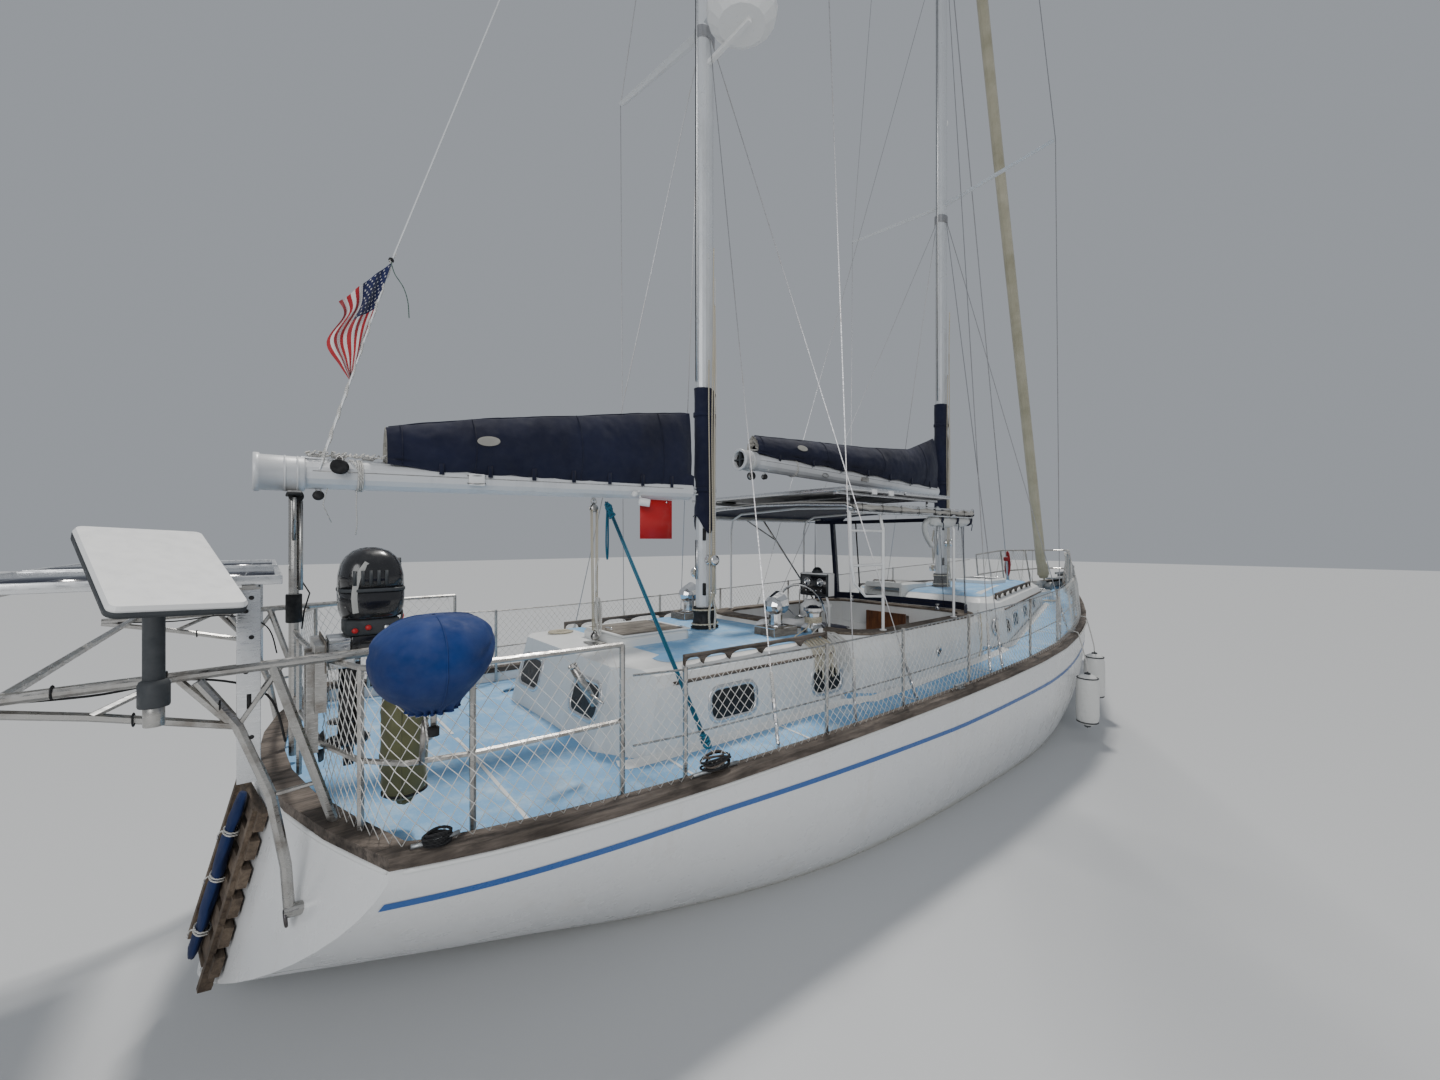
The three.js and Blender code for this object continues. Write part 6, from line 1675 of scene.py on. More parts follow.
# small track with cars and gathered line ends on top of the boom
gear.box((-6.10, -0.018, boom_z(MIZZEN_BOOM, -6.0) + BOOM_R - 0.002),
         (-5.66, 0.018, boom_z(MIZZEN_BOOM, -6.0) + BOOM_R + 0.012), "aluminium", 0.003)
for x in (-6.04, -5.93, -5.78):
    gear.box((x - 0.03, -0.022, boom_z(MIZZEN_BOOM, x) + BOOM_R + 0.012),
             (x + 0.03, 0.022, boom_z(MIZZEN_BOOM, x) + BOOM_R + 0.032), "steel", 0.004)
for k in range(7):
    x0 = -6.08 + 0.062 * k
    top = boom_z(MIZZEN_BOOM, x0) + BOOM_R + 0.028
    pts = [(x0 + 0.07 * (m / 8) + 0.014 * sin(m * 2.1 + k), 0.034 * sin(m * 1.35 + k * 1.7),
            top + 0.012 * sin(m * 1.9 + k) + 0.008) for m in range(9)]
    gear.tube(spline(pts, 34), 0.0052, 6)
gear.tube([(-5.98, -0.03, 2.60), (-6.0, -0.02, 2.50), (-5.96, -0.01, 2.40)], 0.003, 5)
# pad on the boom's side with its two straps, then the thin seams along the boom
gear.box((-5.235, -0.098, 2.655), (-5.135, -0.083, 2.735), "plastic", 0.006)
gear.tube([(-5.245, -0.093, 2.67), (-5.19, -0.103, 2.668), (-5.13, -0.093, 2.675)], 0.004, 5, slot="steel")
gear.tube([(-5.245, -0.090, 2.72), (-5.19, -0.101, 2.722), (-5.13, -0.090, 2.725)], 0.004, 5, slot="steel")
for side in (-1, 1):
    gear.tube([(x, side * 0.0842, boom_z(MIZZEN_BOOM, x) + 0.012) for x in np.linspace(-6.05, -3.50, 20)], 0.0022,
              4, slot="steel")
# bail, ring and block of the mizzen sheet under the boom
gear.tube([(-4.30, 0, 2.64), (-4.30, 0.0, 2.60)], 0.006, 6, slot="steel")
gear.tube([(-4.30 + 0.022 * cos(a), 0, 2.60 - 0.022 * sin(a)) for a in circle(14)], 0.005, 6, True, slot="steel")
block(gear, (-4.30, 0.0, 2.545), (0, 1, 0), 0.06, ("steel", "rubber"))
# lamp and its white arm on the boom's side
gear.lathe((-3.98, -0.10, 2.675), [(0, 0), (0.022, 0), (0.024, 0.02), (0.018, 0.05), (0, 0.052)], 16,
           (-0.8, -0.5, -0.3), "plastic")
gear.lathe((-4.005, -0.115, 2.665), disc(0.016, 0.004), 14, (-0.8, -0.5, -0.3), "rubber")
gear.tube([(-3.92, -0.07, 2.70), (-3.96, -0.085, 2.685)], 0.008, 6, slot="plastic")
gear.build("mizzen_boom_gear", body="mizzen_boom")

gear = Batch(["rope_white", "rubber", "steel"])
lashing(gear, -2.70, MAIN_BOOM, 6, 0.011, 0.006)
lashing(gear, -2.05, MAIN_BOOM, 2, 0.012, 0.0045)
block(gear, (-2.62, 0, 2.925), (0, 1, 0), 0.075, ("rubber", "steel"))
block(gear, (-2.44, 0, 2.93), (0.2, 1, 0), 0.055, ("rubber", "steel"))
gear.tube([(-2.66, 0.03, 3.17), (-2.55, 0.05, 3.19), (-2.42, 0.0, 3.185), (-2.30, -0.05, 3.175),
           (-2.18, -0.03, 3.17)], 0.006, 6)
gear.tube([(-2.66, -0.03, 3.17), (-2.50, -0.055, 3.185), (-2.36, 0.02, 3.18), (-2.24, 0.05, 3.175)], 0.0055, 6)
for side in (-1, 1):
    gear.tube([(x, side * 0.0842, boom_z(MAIN_BOOM, x) + 0.010) for x in np.linspace(-2.6, 0.75, 20)], 0.0022, 4,
              slot="steel")
    gear.box((-0.95, side * 0.083 - (0.008 if side < 0 else 0), 2.985),
             (-0.80, side * 0.083 + (0.008 if side > 0 else 0), 3.035), "steel", 0.003)
gear.tube(oval((-1.60, -0.09, 3.0), 0.05, 0.022, 14, "xz"), 0.005, 5, True, slot="steel")
gear.build("main_boom_gear", body="main_boom")


# ---- masts: tracks, boots, winches, halyards and lamps
def mast_gear(mast, top, foot, boot_low, boot_high, side):
    """Slots: 0 track, 1 and 2 rubber, 3 cream rope, 4 black rope, 5 chrome, 6 white rope."""
    x0, (a, b) = mast["x"], mast["half"]
    part = Batch()
    # sail track on the after face
    for low, high in ((foot + 0.45, 2.30 if x0 < 0 else 2.55), (4.25 if x0 > 0 else 3.72, top)):
        part.box((x0 - a - 0.011, -0.013, low), (x0 - a + 0.004, 0.013, high), 0, 0.0)
        # black strip along the track's middle: painted shade in its slot
        part.box((x0 - a - 0.013, -0.0045, low), (x0 - a - 0.0105, 0.0045, high), 1, 0.0)
    # coat round the mast's foot with its rope rings
    rings = []
    for k in range(13):
        t = k / 12
        z = boot_low + (boot_high - boot_low) * t
        grow = 0.030 - 0.010 * t + 0.005 * sin(t * 9)
        rings.append([Vector((x0 + (a + grow + 0.003 * wrinkle(cos(w), sin(w), t * 5)) * cos(w),
                              (b + grow) * sin(w), z)) for w in circle(40)])
    part.loft(rings, 2, False)
    for z, g, slot in ((boot_low + 0.035, 0.036, 3), (boot_high - 0.025, 0.030, 3), (boot_low + 0.006, 0.040, 4)):
        part.tube(oval((x0, 0, z), a + g, b + g, 36), 0.0075, 7, True, slot)
    # halyard winch on the side with its drum
    for wy, z in ((side, foot + 0.62), (-side, foot + (0.26 if x0 > 0 else 0.50))):
        base = Vector((x0, wy * (b + 0.001), z))
        part.lathe(base, [(0.050, 0), (0.050, 0.012), (0.040, 0.022), (0.032, 0.040), (0.036, 0.066),
                          (0.046, 0.076), (0.046, 0.086), (0.030, 0.092), (0.014, 0.094), (0, 0.094)], 24,
                          (0, wy, 0), 5, False)
        for k in range(3):
            turns = oval((0, wy * (0.034 + 0.010 * k), 0), 0.038, 0.038, 18, "xz")
            part.tube([base + Vector(p) for p in turns], 0.0048, 5, True, 3)
    # horn cleats
    for wy, z in ((side, foot + 0.28), (-side, foot + (0.76 if x0 > 0 else 0.24))):
        base = Vector((x0, wy * (b + 0.004), z))
        part.tube([base + Vector((0, wy * 0.024, dz)) for dz in (-0.075, -0.03, 0.03, 0.075)], 0.009, 8, slot=5)
        for dz in (-0.025, 0.025):
            part.tube([base + Vector((0, -0.004 * wy, dz)), base + Vector((0, wy * 0.024, dz))], 0.008, 8, slot=5)
        for k in range(5):
            dz = 0.05 - 0.006 * k
            turn = ((0.012 * sin(k * 2.2) + 0.008, wy * (0.030 + 0.003 * k), dz), (-0.014, wy * 0.034, 0.0),
                    (0.010 * cos(k), wy * (0.030 + 0.002 * k), -dz))
            part.tube([base + Vector(p) for p in turn], 0.0052, 6, slot=3)
        # the hank that hangs from the cleat
        for k in range(7):
            w = 0.030 + 0.005 * (k % 3)
            length = 0.30 + 0.045 * ((k * 5) % 4)
            cy = wy * (0.036 + 0.005 * (k % 2))
            loop = [(0.004 * k - 0.012, cy, 0.045), (w, cy * 1.02, -length * 0.35),
                    (w * 0.6, cy * 1.05, -length * 0.85), (0, cy * 1.02, -length), (-w * 0.7, cy, -length * 0.8),
                    (-w, cy * 0.98, -length * 0.3), (0.002 * k, cy, 0.045)]
            part.tube([base + q for q in spline(loop, 40)], 0.0050, 5, slot=3 if k % 3 else 6)
    # exit slots, drawn as black boxes: painted shade in their mouths
    for z in (foot + 0.85, foot + 0.36):
        part.box((x0 - a * 0.55 - 0.014, side * b * 0.80 - 0.016, z - 0.055),
                 (x0 - a * 0.55 + 0.014, side * b * 0.80 + 0.016, z + 0.055), 2, 0.006)
    return part


def halyards(gear, x, count, low, high, step, white):
    """Lines down the side of a mast from its foot up; one of them is white."""
    places = [(-0.030, -0.105), (0.0, -0.112), (0.024, -0.106), (0.045, -0.100), (0.010, -0.120)]
    for k, (dx, dy) in enumerate(places[:count]):
        gear.tube([(x + dx + 0.006 * sin(z * 3 + k), dy + 0.004 * cos(z * 2 + k), z)
                   for z in np.linspace(low + 0.03 * k, high + step * k, 14)], 0.0055, 6,
                   slot=6 if k == white else 3)


MAST_LOOKS = ["aluminium", "rubber", "rubber", "rope_cream", "rope_black", "chrome", "rope_white"]
mizzen_gear = mast_gear(MASTS["mizzen"], 11.4, 1.50, 1.512, 1.70, -1)
halyards(mizzen_gear, -3.20, 5, 1.72, 3.9, 0.25, 3)
mizzen_gear.build("mizzen_mast_gear", MAST_LOOKS)
main_gear = mast_gear(MASTS["main"], 15.0, 1.64, 1.652, 1.83, -1)
halyards(main_gear, 1.06, 4, 1.84, 4.6, 0.3, 2)
# the sliding hatch passes beside the mast's foot
main_gear.points = [(x, min(y, 0.094), z) if z < 1.745 else (x, y, z) for x, y, z in main_gear.points]
main_gear.build("main_mast_gear", MAST_LOOKS)

# steaming, deck and masthead lamps
lamps = Batch()
for place in ((1.165, 0, 8.2), (-3.10, 0, 7.1)):
    lamps.lathe(place, [(0, 0), (0.035, 0), (0.045, 0.02), (0.045, 0.05), (0.03, 0.07), (0, 0.072)], 16)
lamps.lathe((-3.20, 0, 11.5), [(0, 0), (0.03, 0), (0.03, 0.06), (0.02, 0.09), (0, 0.092)], 16)
lamps.build("mast_lamps", ["plastic"])


# ---- stern: outboard motor on its pad
def soft_box(batch, x, y, levels, corner, slot=0):
    """Rounded box through (height, inset) levels."""
    rings = [round_ring((x[0] + i, x[1] - i), (y[0] + i, y[1] - i), max(corner - i * 0.4, 0.012), 0.0, z, 5)
             for z, i in levels]
    batch.loft(rings, slot)


motor = Batch(["black", "grey_plastic", "motor_stripe", "red", "aluminium"])
cowl_x, cowl_y = (-6.005, -5.752), (-1.022, -0.782)
soft_box(motor, cowl_x, cowl_y, [(1.945, 0.030), (1.955, 0.012), (1.99, 0.004), (2.02, 0.0), (2.07, 0.0)], 0.07)
soft_box(motor, (cowl_x[0] - 0.003, cowl_x[1] + 0.003), (cowl_y[0] - 0.003, cowl_y[1] + 0.003),
         [(2.069, 0.002), (2.073, 0.0), (2.081, 0.0), (2.085, 0.002)], 0.07, "grey_plastic")
soft_box(motor, cowl_x, cowl_y, [(2.084, 0.0), (2.14, 0.002), (2.19, 0.012), (2.225, 0.030), (2.25, 0.055),
                                 (2.262, 0.085), (2.266, 0.11)], 0.075)
for k in range(5):
    motor.box((cowl_x[0] + 0.045 + 0.030 * k, cowl_y[0] - 0.0035, 2.10),
              (cowl_x[0] + 0.058 + 0.030 * k, cowl_y[0] + 0.004, 2.165), "grey_plastic", 0.0)
# grey curved stripe over the cowl
for side_y in (cowl_y[0] - 0.0005, cowl_y[1] + 0.0005):
    out = -1 if side_y < -0.9 else 1
    path = spline([(cowl_x[0] + 0.055, side_y, 1.98), (cowl_x[0] + 0.050, side_y, 2.06),
                   (cowl_x[0] + 0.065, side_y + out * -0.002, 2.14),
                   (cowl_x[0] + 0.10, side_y - out * 0.016, 2.20)], 12)
    ribbon_along(motor, path, [Vector((0, out, 0.08))] * 12, 0.022, "motor_stripe")
ribbon_along(motor, spline([(cowl_x[0] + 0.02, cowl_y[0] + 0.03, 2.00), (cowl_x[0] - 0.001, cowl_y[0] + 0.07, 2.06),
                            (cowl_x[0] - 0.001, cowl_y[0] + 0.10, 2.14),
                            (cowl_x[0] + 0.020, cowl_y[0] + 0.12, 2.215)], 12), [Vector((-1, 0, 0.1))] * 12, 0.020,
                            "motor_stripe")
# powerhead seen below the cowl, with hoses, red parts and the tiller
motor.box((-5.985, -0.99, 1.875), (-5.775, -0.81, 1.948), "grey_plastic", 0.012)
motor.box((-5.965, -0.975, 1.80), (-5.80, -0.825, 1.878), "black", 0.010)
for k, (a, b) in enumerate((((-5.79, -0.99, 1.90), (-5.765, -0.93, 2.00)),
                            ((-5.77, -0.98, 1.93), (-5.765, -0.86, 1.95)),
                            ((-5.80, -1.0, 1.88), (-5.77, -0.90, 1.84)),
                            ((-5.78, -1.01, 1.91), (-5.86, -1.02, 1.86)))):
    mid = (Vector(a) + Vector(b)) / 2 + Vector((0.012, -0.014, 0.01 * (k % 2)))
    motor.tube(spline([a, tuple(mid), b], 10), 0.0055, 6, slot="red" if k % 2 else "grey_plastic")
for x, z in ((-5.83, 1.905), (-5.90, 1.91), (-5.95, 1.90)):
    motor.lathe((x, -0.992, z), [(0, 0), (0.012, 0), (0.012, 0.008), (0.007, 0.011), (0, 0.011)], 14, (0, -1, 0),
                "red" if x < -5.88 else "aluminium")
motor.tube([(-5.80, -0.88, 1.93), (-5.765, -0.86, 1.96), (-5.762, -0.84, 2.05), (-5.762, -0.835, 2.16)], 0.012, 10,
           slot="grey_plastic")
motor.tube([(-5.762, -0.835, 2.10), (-5.762, -0.834, 2.215)], 0.017, 12, slot="grey_plastic")
for k in range(8):
    motor.lathe((-5.762, -0.8345, 2.11 + 0.012 * k), [(0.0175, 0), (0.0185, 0.002), (0.0175, 0.005)], 12,
                slot="grey_plastic", cap=False)
# clamp bracket, leg, cavitation plate, gearcase and propeller
for y in (-0.955, -0.855):
    motor.box((-6.045, y - 0.012, 1.735), (-5.945, y + 0.012, 1.875), "aluminium", 0.005)
motor.box((-6.045, -0.97, 1.845), (-5.95, -0.84, 1.872), "aluminium", 0.006)
for y in (-0.945, -0.865):
    motor.tube([(-5.955, y, 1.765), (-5.93, y, 1.765)], 0.008, 8, slot="aluminium")
    motor.tube([(-5.928, y - 0.022, 1.765), (-5.928, y + 0.022, 1.765)], 0.004, 6, slot="aluminium")
motor.loft([oval((-5.96, -0.90, z), rx, ry, 28) for z, rx, ry in ((1.80, 0.043, 0.040), (1.70, 0.042, 0.030),
        (1.58, 0.042, 0.022), (1.50, 0.044, 0.018), (1.44, 0.046, 0.020), (1.41, 0.05, 0.028))])
soft_box(motor, (-6.045, -5.90), (-0.945, -0.855), [(1.485, 0.004), (1.488, 0), (1.494, 0), (1.497, 0.004)], 0.04)
motor.lathe((-6.055, -0.90, 1.40), [(0, 0), (0.014, 0.004), (0.026, 0.02), (0.032, 0.06), (0.033, 0.11),
                                    (0.028, 0.15), (0.014, 0.17), (0, 0.175)], 24, (1, 0, 0), "black")
for k in range(3):
    a0 = 2 * pi * k / 3 + 0.4
    blade = []
    for r, w, pitch in ((0.018, 0.45, 0.30), (0.040, 0.62, 0.24), (0.060, 0.58, 0.20), (0.072, 0.30, 0.18)):
        blade.append([Vector((-6.066 + 0.014 * s * pitch * 4, -0.90 + r * cos(a0 + w * s),
                              1.40 + r * sin(a0 + w * s))) for s in (-1, -0.4, 0.4, 1)])
    motor.sheet(blade, "grey_plastic")
    motor.sheet([[q + Vector((0.003, 0, 0)) for q in row] for row in blade], "grey_plastic", True)
motor.box((-5.985, -0.906, 1.285), (-5.945, -0.894, 1.40), "black", 0.003)
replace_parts(motor.build("outboard_motor_detailed"), "outboard_motor")

# grey-white pad board under it
pad = Batch()
for y0, y1 in ((-1.065, -0.955), (-0.95, -0.845), (-0.84, -0.735)):
    pad.box((-6.062, y0, 1.742), (-6.056, y1, 1.878), 0, 0.002)
pad.build("motor_pad_faces", ["grey_wood"])

# ---- antenna, its grey pole, davit details
POLE_X, POLE_Y = -6.52, -1.40
DAVIT_Y = 1.12
dish = Batch()
tilt = Euler([math.radians(v) for v in (26.2, 3.1, 19.2)], "XYZ").to_matrix().to_4x4()
tilt = Matrix.Translation((-6.497, -1.454, 2.226)) @ tilt
for grow, z0, z1, slot in ((0.0012, -0.0352, -0.018, 1), (0.0008, -0.0352, -0.0345, 1)):
    x, y = 0.1515 + grow, 0.2565 + grow
    dish.loft([[tilt @ p for p in round_ring((-x, x), (-y, y), 0.03, 0, z, 5)] for z in (z0, z1)], slot)
dish.build("antenna_under_shell", ["plastic", "grey_plastic"])
pole = Batch(["grey_plastic", "steel"])
pole.lathe((POLE_X, POLE_Y, 1.86), [(0.0245, 0), (0.0262, 0.002), (0.0262, 0.335), (0.0245, 0.34)], 28,
           slot="grey_plastic", cap=False)
pole.lathe((POLE_X, POLE_Y, 1.775), [(0.0245, 0), (0.036, 0.001), (0.038, 0.006), (0.038, 0.07), (0.034, 0.082),
                                     (0.0255, 0.086)], 28, slot="grey_plastic", cap=False)
pole.lathe((POLE_X, POLE_Y, 1.715), [(0.0245, 0), (0.0255, 0.001), (0.0255, 0.06), (0.0245, 0.062)], 28,
           slot="steel", cap=False)
pole.tube([(-6.52, -1.426, 2.16), (-6.50, -1.44, 2.19), (-6.49, -1.445, 2.20)], 0.005, 6, slot="grey_plastic")
pole.build("antenna_pole_sleeves")

# davit panels: frames, cells, undersides
davit_panels = Batch(["aluminium", "solar", "plastic", "grey_plastic"])
for y in ((-1.12, -0.07), (0.07, 1.12)):
    panel(davit_panels, (-7.10, -6.655), y, 2.128, 0.035)
    panel(davit_panels, (-6.645, -6.20), y, 2.128, 0.035)
davit_panels.box((-7.10, -0.10, 2.128), (-7.06, 0.10, 2.16), "aluminium", 0.002)
for x in (-6.30, -6.94):
    for y in (-0.85, -0.35, 0.35, 0.85):
        davit_panels.box((x - 0.012, y - 0.016, 2.1275), (x + 0.012, y + 0.016, 2.131), "aluminium", 0.001)
cable = spline([(-6.42, 0.95, 2.12), (-6.36, 0.90, 2.09), (-6.30, 1.02, 2.06), (-6.285, 1.112, 1.98),
                (-6.28, 1.112, 1.86)], 24)
davit_panels.tube(cable, 0.0045, 6, slot="grey_plastic")
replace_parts(davit_panels.build("davit_framed_panels"), "davit_solar_panels")

plates = Batch(["aluminium", "rubber", "dark_metal"])
for side in (-1, 1):
    for x, half, foot, holes in ((-6.30, 0.034, 1.38, (2.08, 2.03, 1.93, 1.80, 1.55)),
                                 (-6.94, 0.020, 1.80, (2.06, 1.95))):
        y0, y1 = side * DAVIT_Y - 0.0062, side * DAVIT_Y + 0.0062
        plates.box((x - half - 0.001, y0, foot - 0.001), (x + half + 0.001, y1, 2.1115), "aluminium", 0.0015)
        # the holes are drawn as shallow black discs on both faces: painted shade in the holes
        for k, z in enumerate(holes):
            for face in (-1, 1):
                plates.lathe((x + 0.008 * (-1) ** k, side * DAVIT_Y + face * 0.0063, z),
                             [(0.0085, 0), (0.0080, 0.0008), (0.004, 0.0010), (0, 0.0010)], 12, (0, face, 0),
                             "rubber", False)
        if half > 0.03:
            for face in (-1, 1):
                y0, y1 = (side * DAVIT_Y + pick(face * 0.0063, face * 0.0075) for pick in (min, max))
                plates.box((x - 0.006, y0, 1.66), (x + 0.008, y1, 1.715), "rubber")
# cable ties and black lines along the davit tubes
for side in (-1, 1):
    y = side * DAVIT_Y
    for x, z in ((-6.52, 1.812), (-6.78, 1.806), (-6.60, 1.68), (-6.38, 1.69)):
        plates.tube(oval((x, y, z), 0.0225, 0.0225, 14, "yz"), 0.0028, 4, True, "rubber")
    sag = [(-6.95, y - side * 0.024, 1.79), (-6.70, y - side * 0.026, 1.775), (-6.45, y - side * 0.024, 1.79),
           (-6.25, y - side * 0.026, 1.70), (-6.19, y - side * 0.024, 1.50)]
    plates.tube(spline(sag, 30), 0.0042, 6, slot="rubber")
    # foot plates of the curved legs on the transom
    foot = Vector((-6.176, y, 0.82))
    plates.lathe(foot + Vector((-0.010, 0, -0.006)), [(0, 0), (0.034, 0), (0.036, 0.004), (0.034, 0.010),
                                                      (0.026, 0.012), (0, 0.013)], 24, (-1, 0, -0.1), "dark_metal")
plates.build("davit_plates_and_ties")

# crutch: braces, rubber pads and collar
CRUTCH_X = -6.13
crutch = Batch(["rubber", "steel"])
for y in (-0.095, 0.020):
    crutch.box((-6.165, y, 2.547), (-6.095, y + 0.075, 2.562), "rubber", 0.004)
crutch.lathe((CRUTCH_X, 0, 1.84), [(0.0342, 0), (0.0375, 0.003), (0.0375, 0.155), (0.0342, 0.158)], 28,
             slot="rubber", cap=False)
for s in (-1, 1):
    crutch.tube([(CRUTCH_X, s * 0.018, 2.30), (CRUTCH_X, s * 0.055, 2.44), (CRUTCH_X, s * 0.078, 2.535)], 0.010, 10,
                slot="steel")
    crutch.tube([(CRUTCH_X + 0.030, s * 0.020, 2.02), (CRUTCH_X + 0.030, s * 0.020, 2.52)], 0.0105, 10,
                slot="steel")
crutch.tube([(-6.10, 0.0, 2.08), (-6.06, -0.012, 2.0), (-6.085, -0.01, 1.90), (-6.095, 0.0, 1.80)], 0.004, 6,
            slot="rubber")
crutch.build("boom_crutch_pads")

# swim platform: blue strap along it with white cords, and bolts
platform = Batch(["strap_cloth", "rope_white", "steel"])
lay = Matrix.Translation((-6.478, -0.31, 0.33))
for degrees, axis in ((8, "Z"), (14.3, "Y")):
    lay = lay @ Matrix.Rotation(math.radians(degrees), 4, axis)
lay_turn = lay.to_3x3()
STRAP_TIES = (0.16, 0.48, 0.78)


def on_platform(x, y, z):
    return lay @ Vector((x, y, z))


roll_path = [on_platform(-0.044 + 0.004 * sin(z * 9), 0.010 - 0.03 * (z - 0.05) / 0.7, z)
             for z in np.linspace(0.005, 0.742, 26)]
rings = []
for k, p in enumerate(roll_path):
    t = k / 25
    swell = 0.75 + 0.25 * sin(pi * t)
    for tie in STRAP_TIES:
        swell -= 0.22 * math.exp(-((t - tie) / 0.025) ** 2)
    if k in (0, 25):
        swell *= 0.7
    ring = []
    for j in range(24):
        a = 2 * pi * j / 24
        r = 1 + 0.22 * wrinkle(cos(a) * 1.2, sin(a) * 1.2, t * 7, 5.0)
        q = lay_turn @ Vector((0.024 * swell * r * cos(a), 0.064 * swell * r * sin(a), 0))
        ring.append(p + q)
    rings.append(ring)
platform.loft(rings, "strap_cloth")
for tie in STRAP_TIES:
    p = roll_path[int(tie * 25)]
    for shift in (-0.006, 0.006):
        loop = [p + lay_turn @ Vector((0.023 * cos(a) + (0.012 if cos(a) > 0 else 0), 0.056 * sin(a), shift))
                for a in circle(20)]
        platform.tube(loop, 0.004, 6, True, "rope_white")
    q = [p + lay_turn @ Vector(v) for v in ((-0.024, 0.01, 0), (-0.034, 0.03, -0.02), (-0.030, 0.045, -0.05))]
    platform.tube(spline(q, 10), 0.0038, 6, slot="rope_white")
for y in (-0.24, 0.24):
    for z in (0.09, 0.21, 0.33, 0.45, 0.57, 0.69):
        platform.lathe(on_platform(-0.018, y, z), [(0, 0), (0.010, 0), (0.010, 0.002), (0.006, 0.0045), (0, 0.005)],
                       12, lay_turn @ Vector((-1, 0, 0)), "steel")
platform.build("platform_strap_and_bolts", body="swim_platform")


# ---- fenders along the topside, ribbed
bow_fenders = Batch(["fender", "grey_plastic", "rope_white"])
for x, z in ((1.05, 0.45), (2.05, 0.52)):
    y = -abs(hull_point(x, z + 0.33).y) - 0.126
    fender(bow_fenders, (x, y, z), 0.118, 0.63, ("fender", "grey_plastic"), ribs=22)
    rail = (x, -half_breadth(x) - 0.030, sheer(x) + 0.022)
    bow_fenders.tube(spline([(x, y, z + 0.325), (x + 0.003, y + 0.01, z + 0.42), rail,
                             (x, rail[1] + 0.03, rail[2] + 0.042), (x, rail[1] + 0.10, rail[2] + 0.045)], 18),
                             0.007, 7, slot="rope_white")
    for k in range(3):
        bow_fenders.tube(oval((x, rail[1] + 0.09 + 0.008 * k, rail[2] + 0.050), 0.012, 0.012, 10, "xz"), 0.005, 5,
                         True, slot="rope_white")
line = [(x, -half_breadth(x) - 0.030, sheer(x) + 0.022) for x in np.linspace(1.05, 2.05, 9)]
bow_fenders.tube(line, 0.007, 7, slot="rope_white")
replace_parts(bow_fenders.build("bow_fenders_ribbed"), "fenders_bow")


# ---- running rigging
def coil_loops(batch, centre, count, width, height, radius, slot):
    """A hank: separate hanging loops side by side."""
    for k in range(count):
        w = width * (0.75 + 0.25 * sin(k * 2.4))
        h = height * (0.85 + 0.15 * cos(k * 1.7))
        y = centre[1] + (k - (count - 1) / 2) * 0.012
        shape = [(0, 0), (w * 0.5, -h * 0.28), (w * 0.42, -h * 0.80), (0.02 * sin(k), -h), (-w * 0.44, -h * 0.78),
                 (-w * 0.5, -h * 0.26), (0, 0.0)]
        batch.tube(spline([(centre[0] + a, y, centre[2] + b) for a, b in shape], 36), radius, 6, slot=slot)


# mizzen sheet: four parts between the boom's block and the one on the aft trunk
SHEET_X = -4.30
lines = Batch(["rope_cream", "rope_white", "rope_blue", "steel", "rubber"])
for dx, dy in ((-0.014, -0.012), (0.014, -0.012), (-0.014, 0.012), (0.014, 0.012)):
    lines.tube([(SHEET_X + dx * 1.6, -0.01 + dy, 2.535), (SHEET_X + dx, -0.02 + dy, 1.60)], 0.0052, 6,
               slot="rope_cream")
block(lines, (SHEET_X, -0.02, 1.555), (0, 1, 0), 0.062, ("steel", "rubber"))
lines.box((-4.36, -0.10, 1.503), (-4.24, 0.06, 1.512), "steel", 0.003)
coil_loops(lines, (-4.285, -0.045, 1.86), 4, 0.05, 0.30, 0.0052, "rope_white")
lines.tube(spline([(-4.295, -0.03, 1.90), (-4.31, -0.05, 2.05), (-4.28, -0.045, 2.16)], 12), 0.0055, 6,
           slot="rope_white")
# the preventer, doubled, from the boom to the rail, with its knots and a loose loop
top, low = Vector((-4.19, 0.0, 2.60)), Vector((-4.44, -1.60, 1.185))
for d in (-0.008, 0.008):
    lines.tube([top + Vector((d, 0, 0)), low + Vector((d, 0, 0))], 0.0068, 7, slot="rope_blue")


def knot(start, end, first, step, count, size, radius):
    """Turns of rope round the preventer, one after another along it."""
    for k in range(count):
        p = start.lerp(end, first + step * k)
        lines.tube([(p.x + size[0] * cos(a), p.y + size[1] * sin(a), p.z + size[2] * sin(a + k))
                    for a in circle(12)], radius, 6, True, slot="rope_blue")


knot(top, low, 0.02, 0.008, 9, (0.022, 0.010, 0.016), 0.0075)
loose = spline([(-4.21, -0.05, 2.555), (-4.23, -0.075, 2.42), (-4.235, -0.08, 2.26), (-4.22, -0.07, 2.15),
                (-4.205, -0.055, 2.26), (-4.20, -0.045, 2.44), (-4.20, -0.04, 2.55)], 40)
lines.tube(loose, 0.0068, 7, slot="rope_blue")
knot(low, top, 0.01, 0.007, 5, (0.020, 0.016, 0.008), 0.007)
tackle = lines.build("mizzen_sheet_and_preventer", body=None)
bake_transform(tackle)

# the topping lift's braid, in two legs
braid = Batch(["steel", "rubber", "rope_white"])
for side in (-1, 1):
    fork, end = Vector((-5.64, 0, 4.07)), Vector((-6.02, side * -0.082, 2.695))
    twist = [fork.lerp(end, k / 59) for k in range(60)]
    braid.tube([(p.x + 0.0045 * cos(k * 1.1), p.y + 0.0045 * sin(k * 1.1), p.z) for k, p in enumerate(twist)],
               0.0062, 6, slot="rope_white")
braid.build("topping_lift_braid", body="mizzen_boom")

screws = Batch(["chrome", "rope_white"])


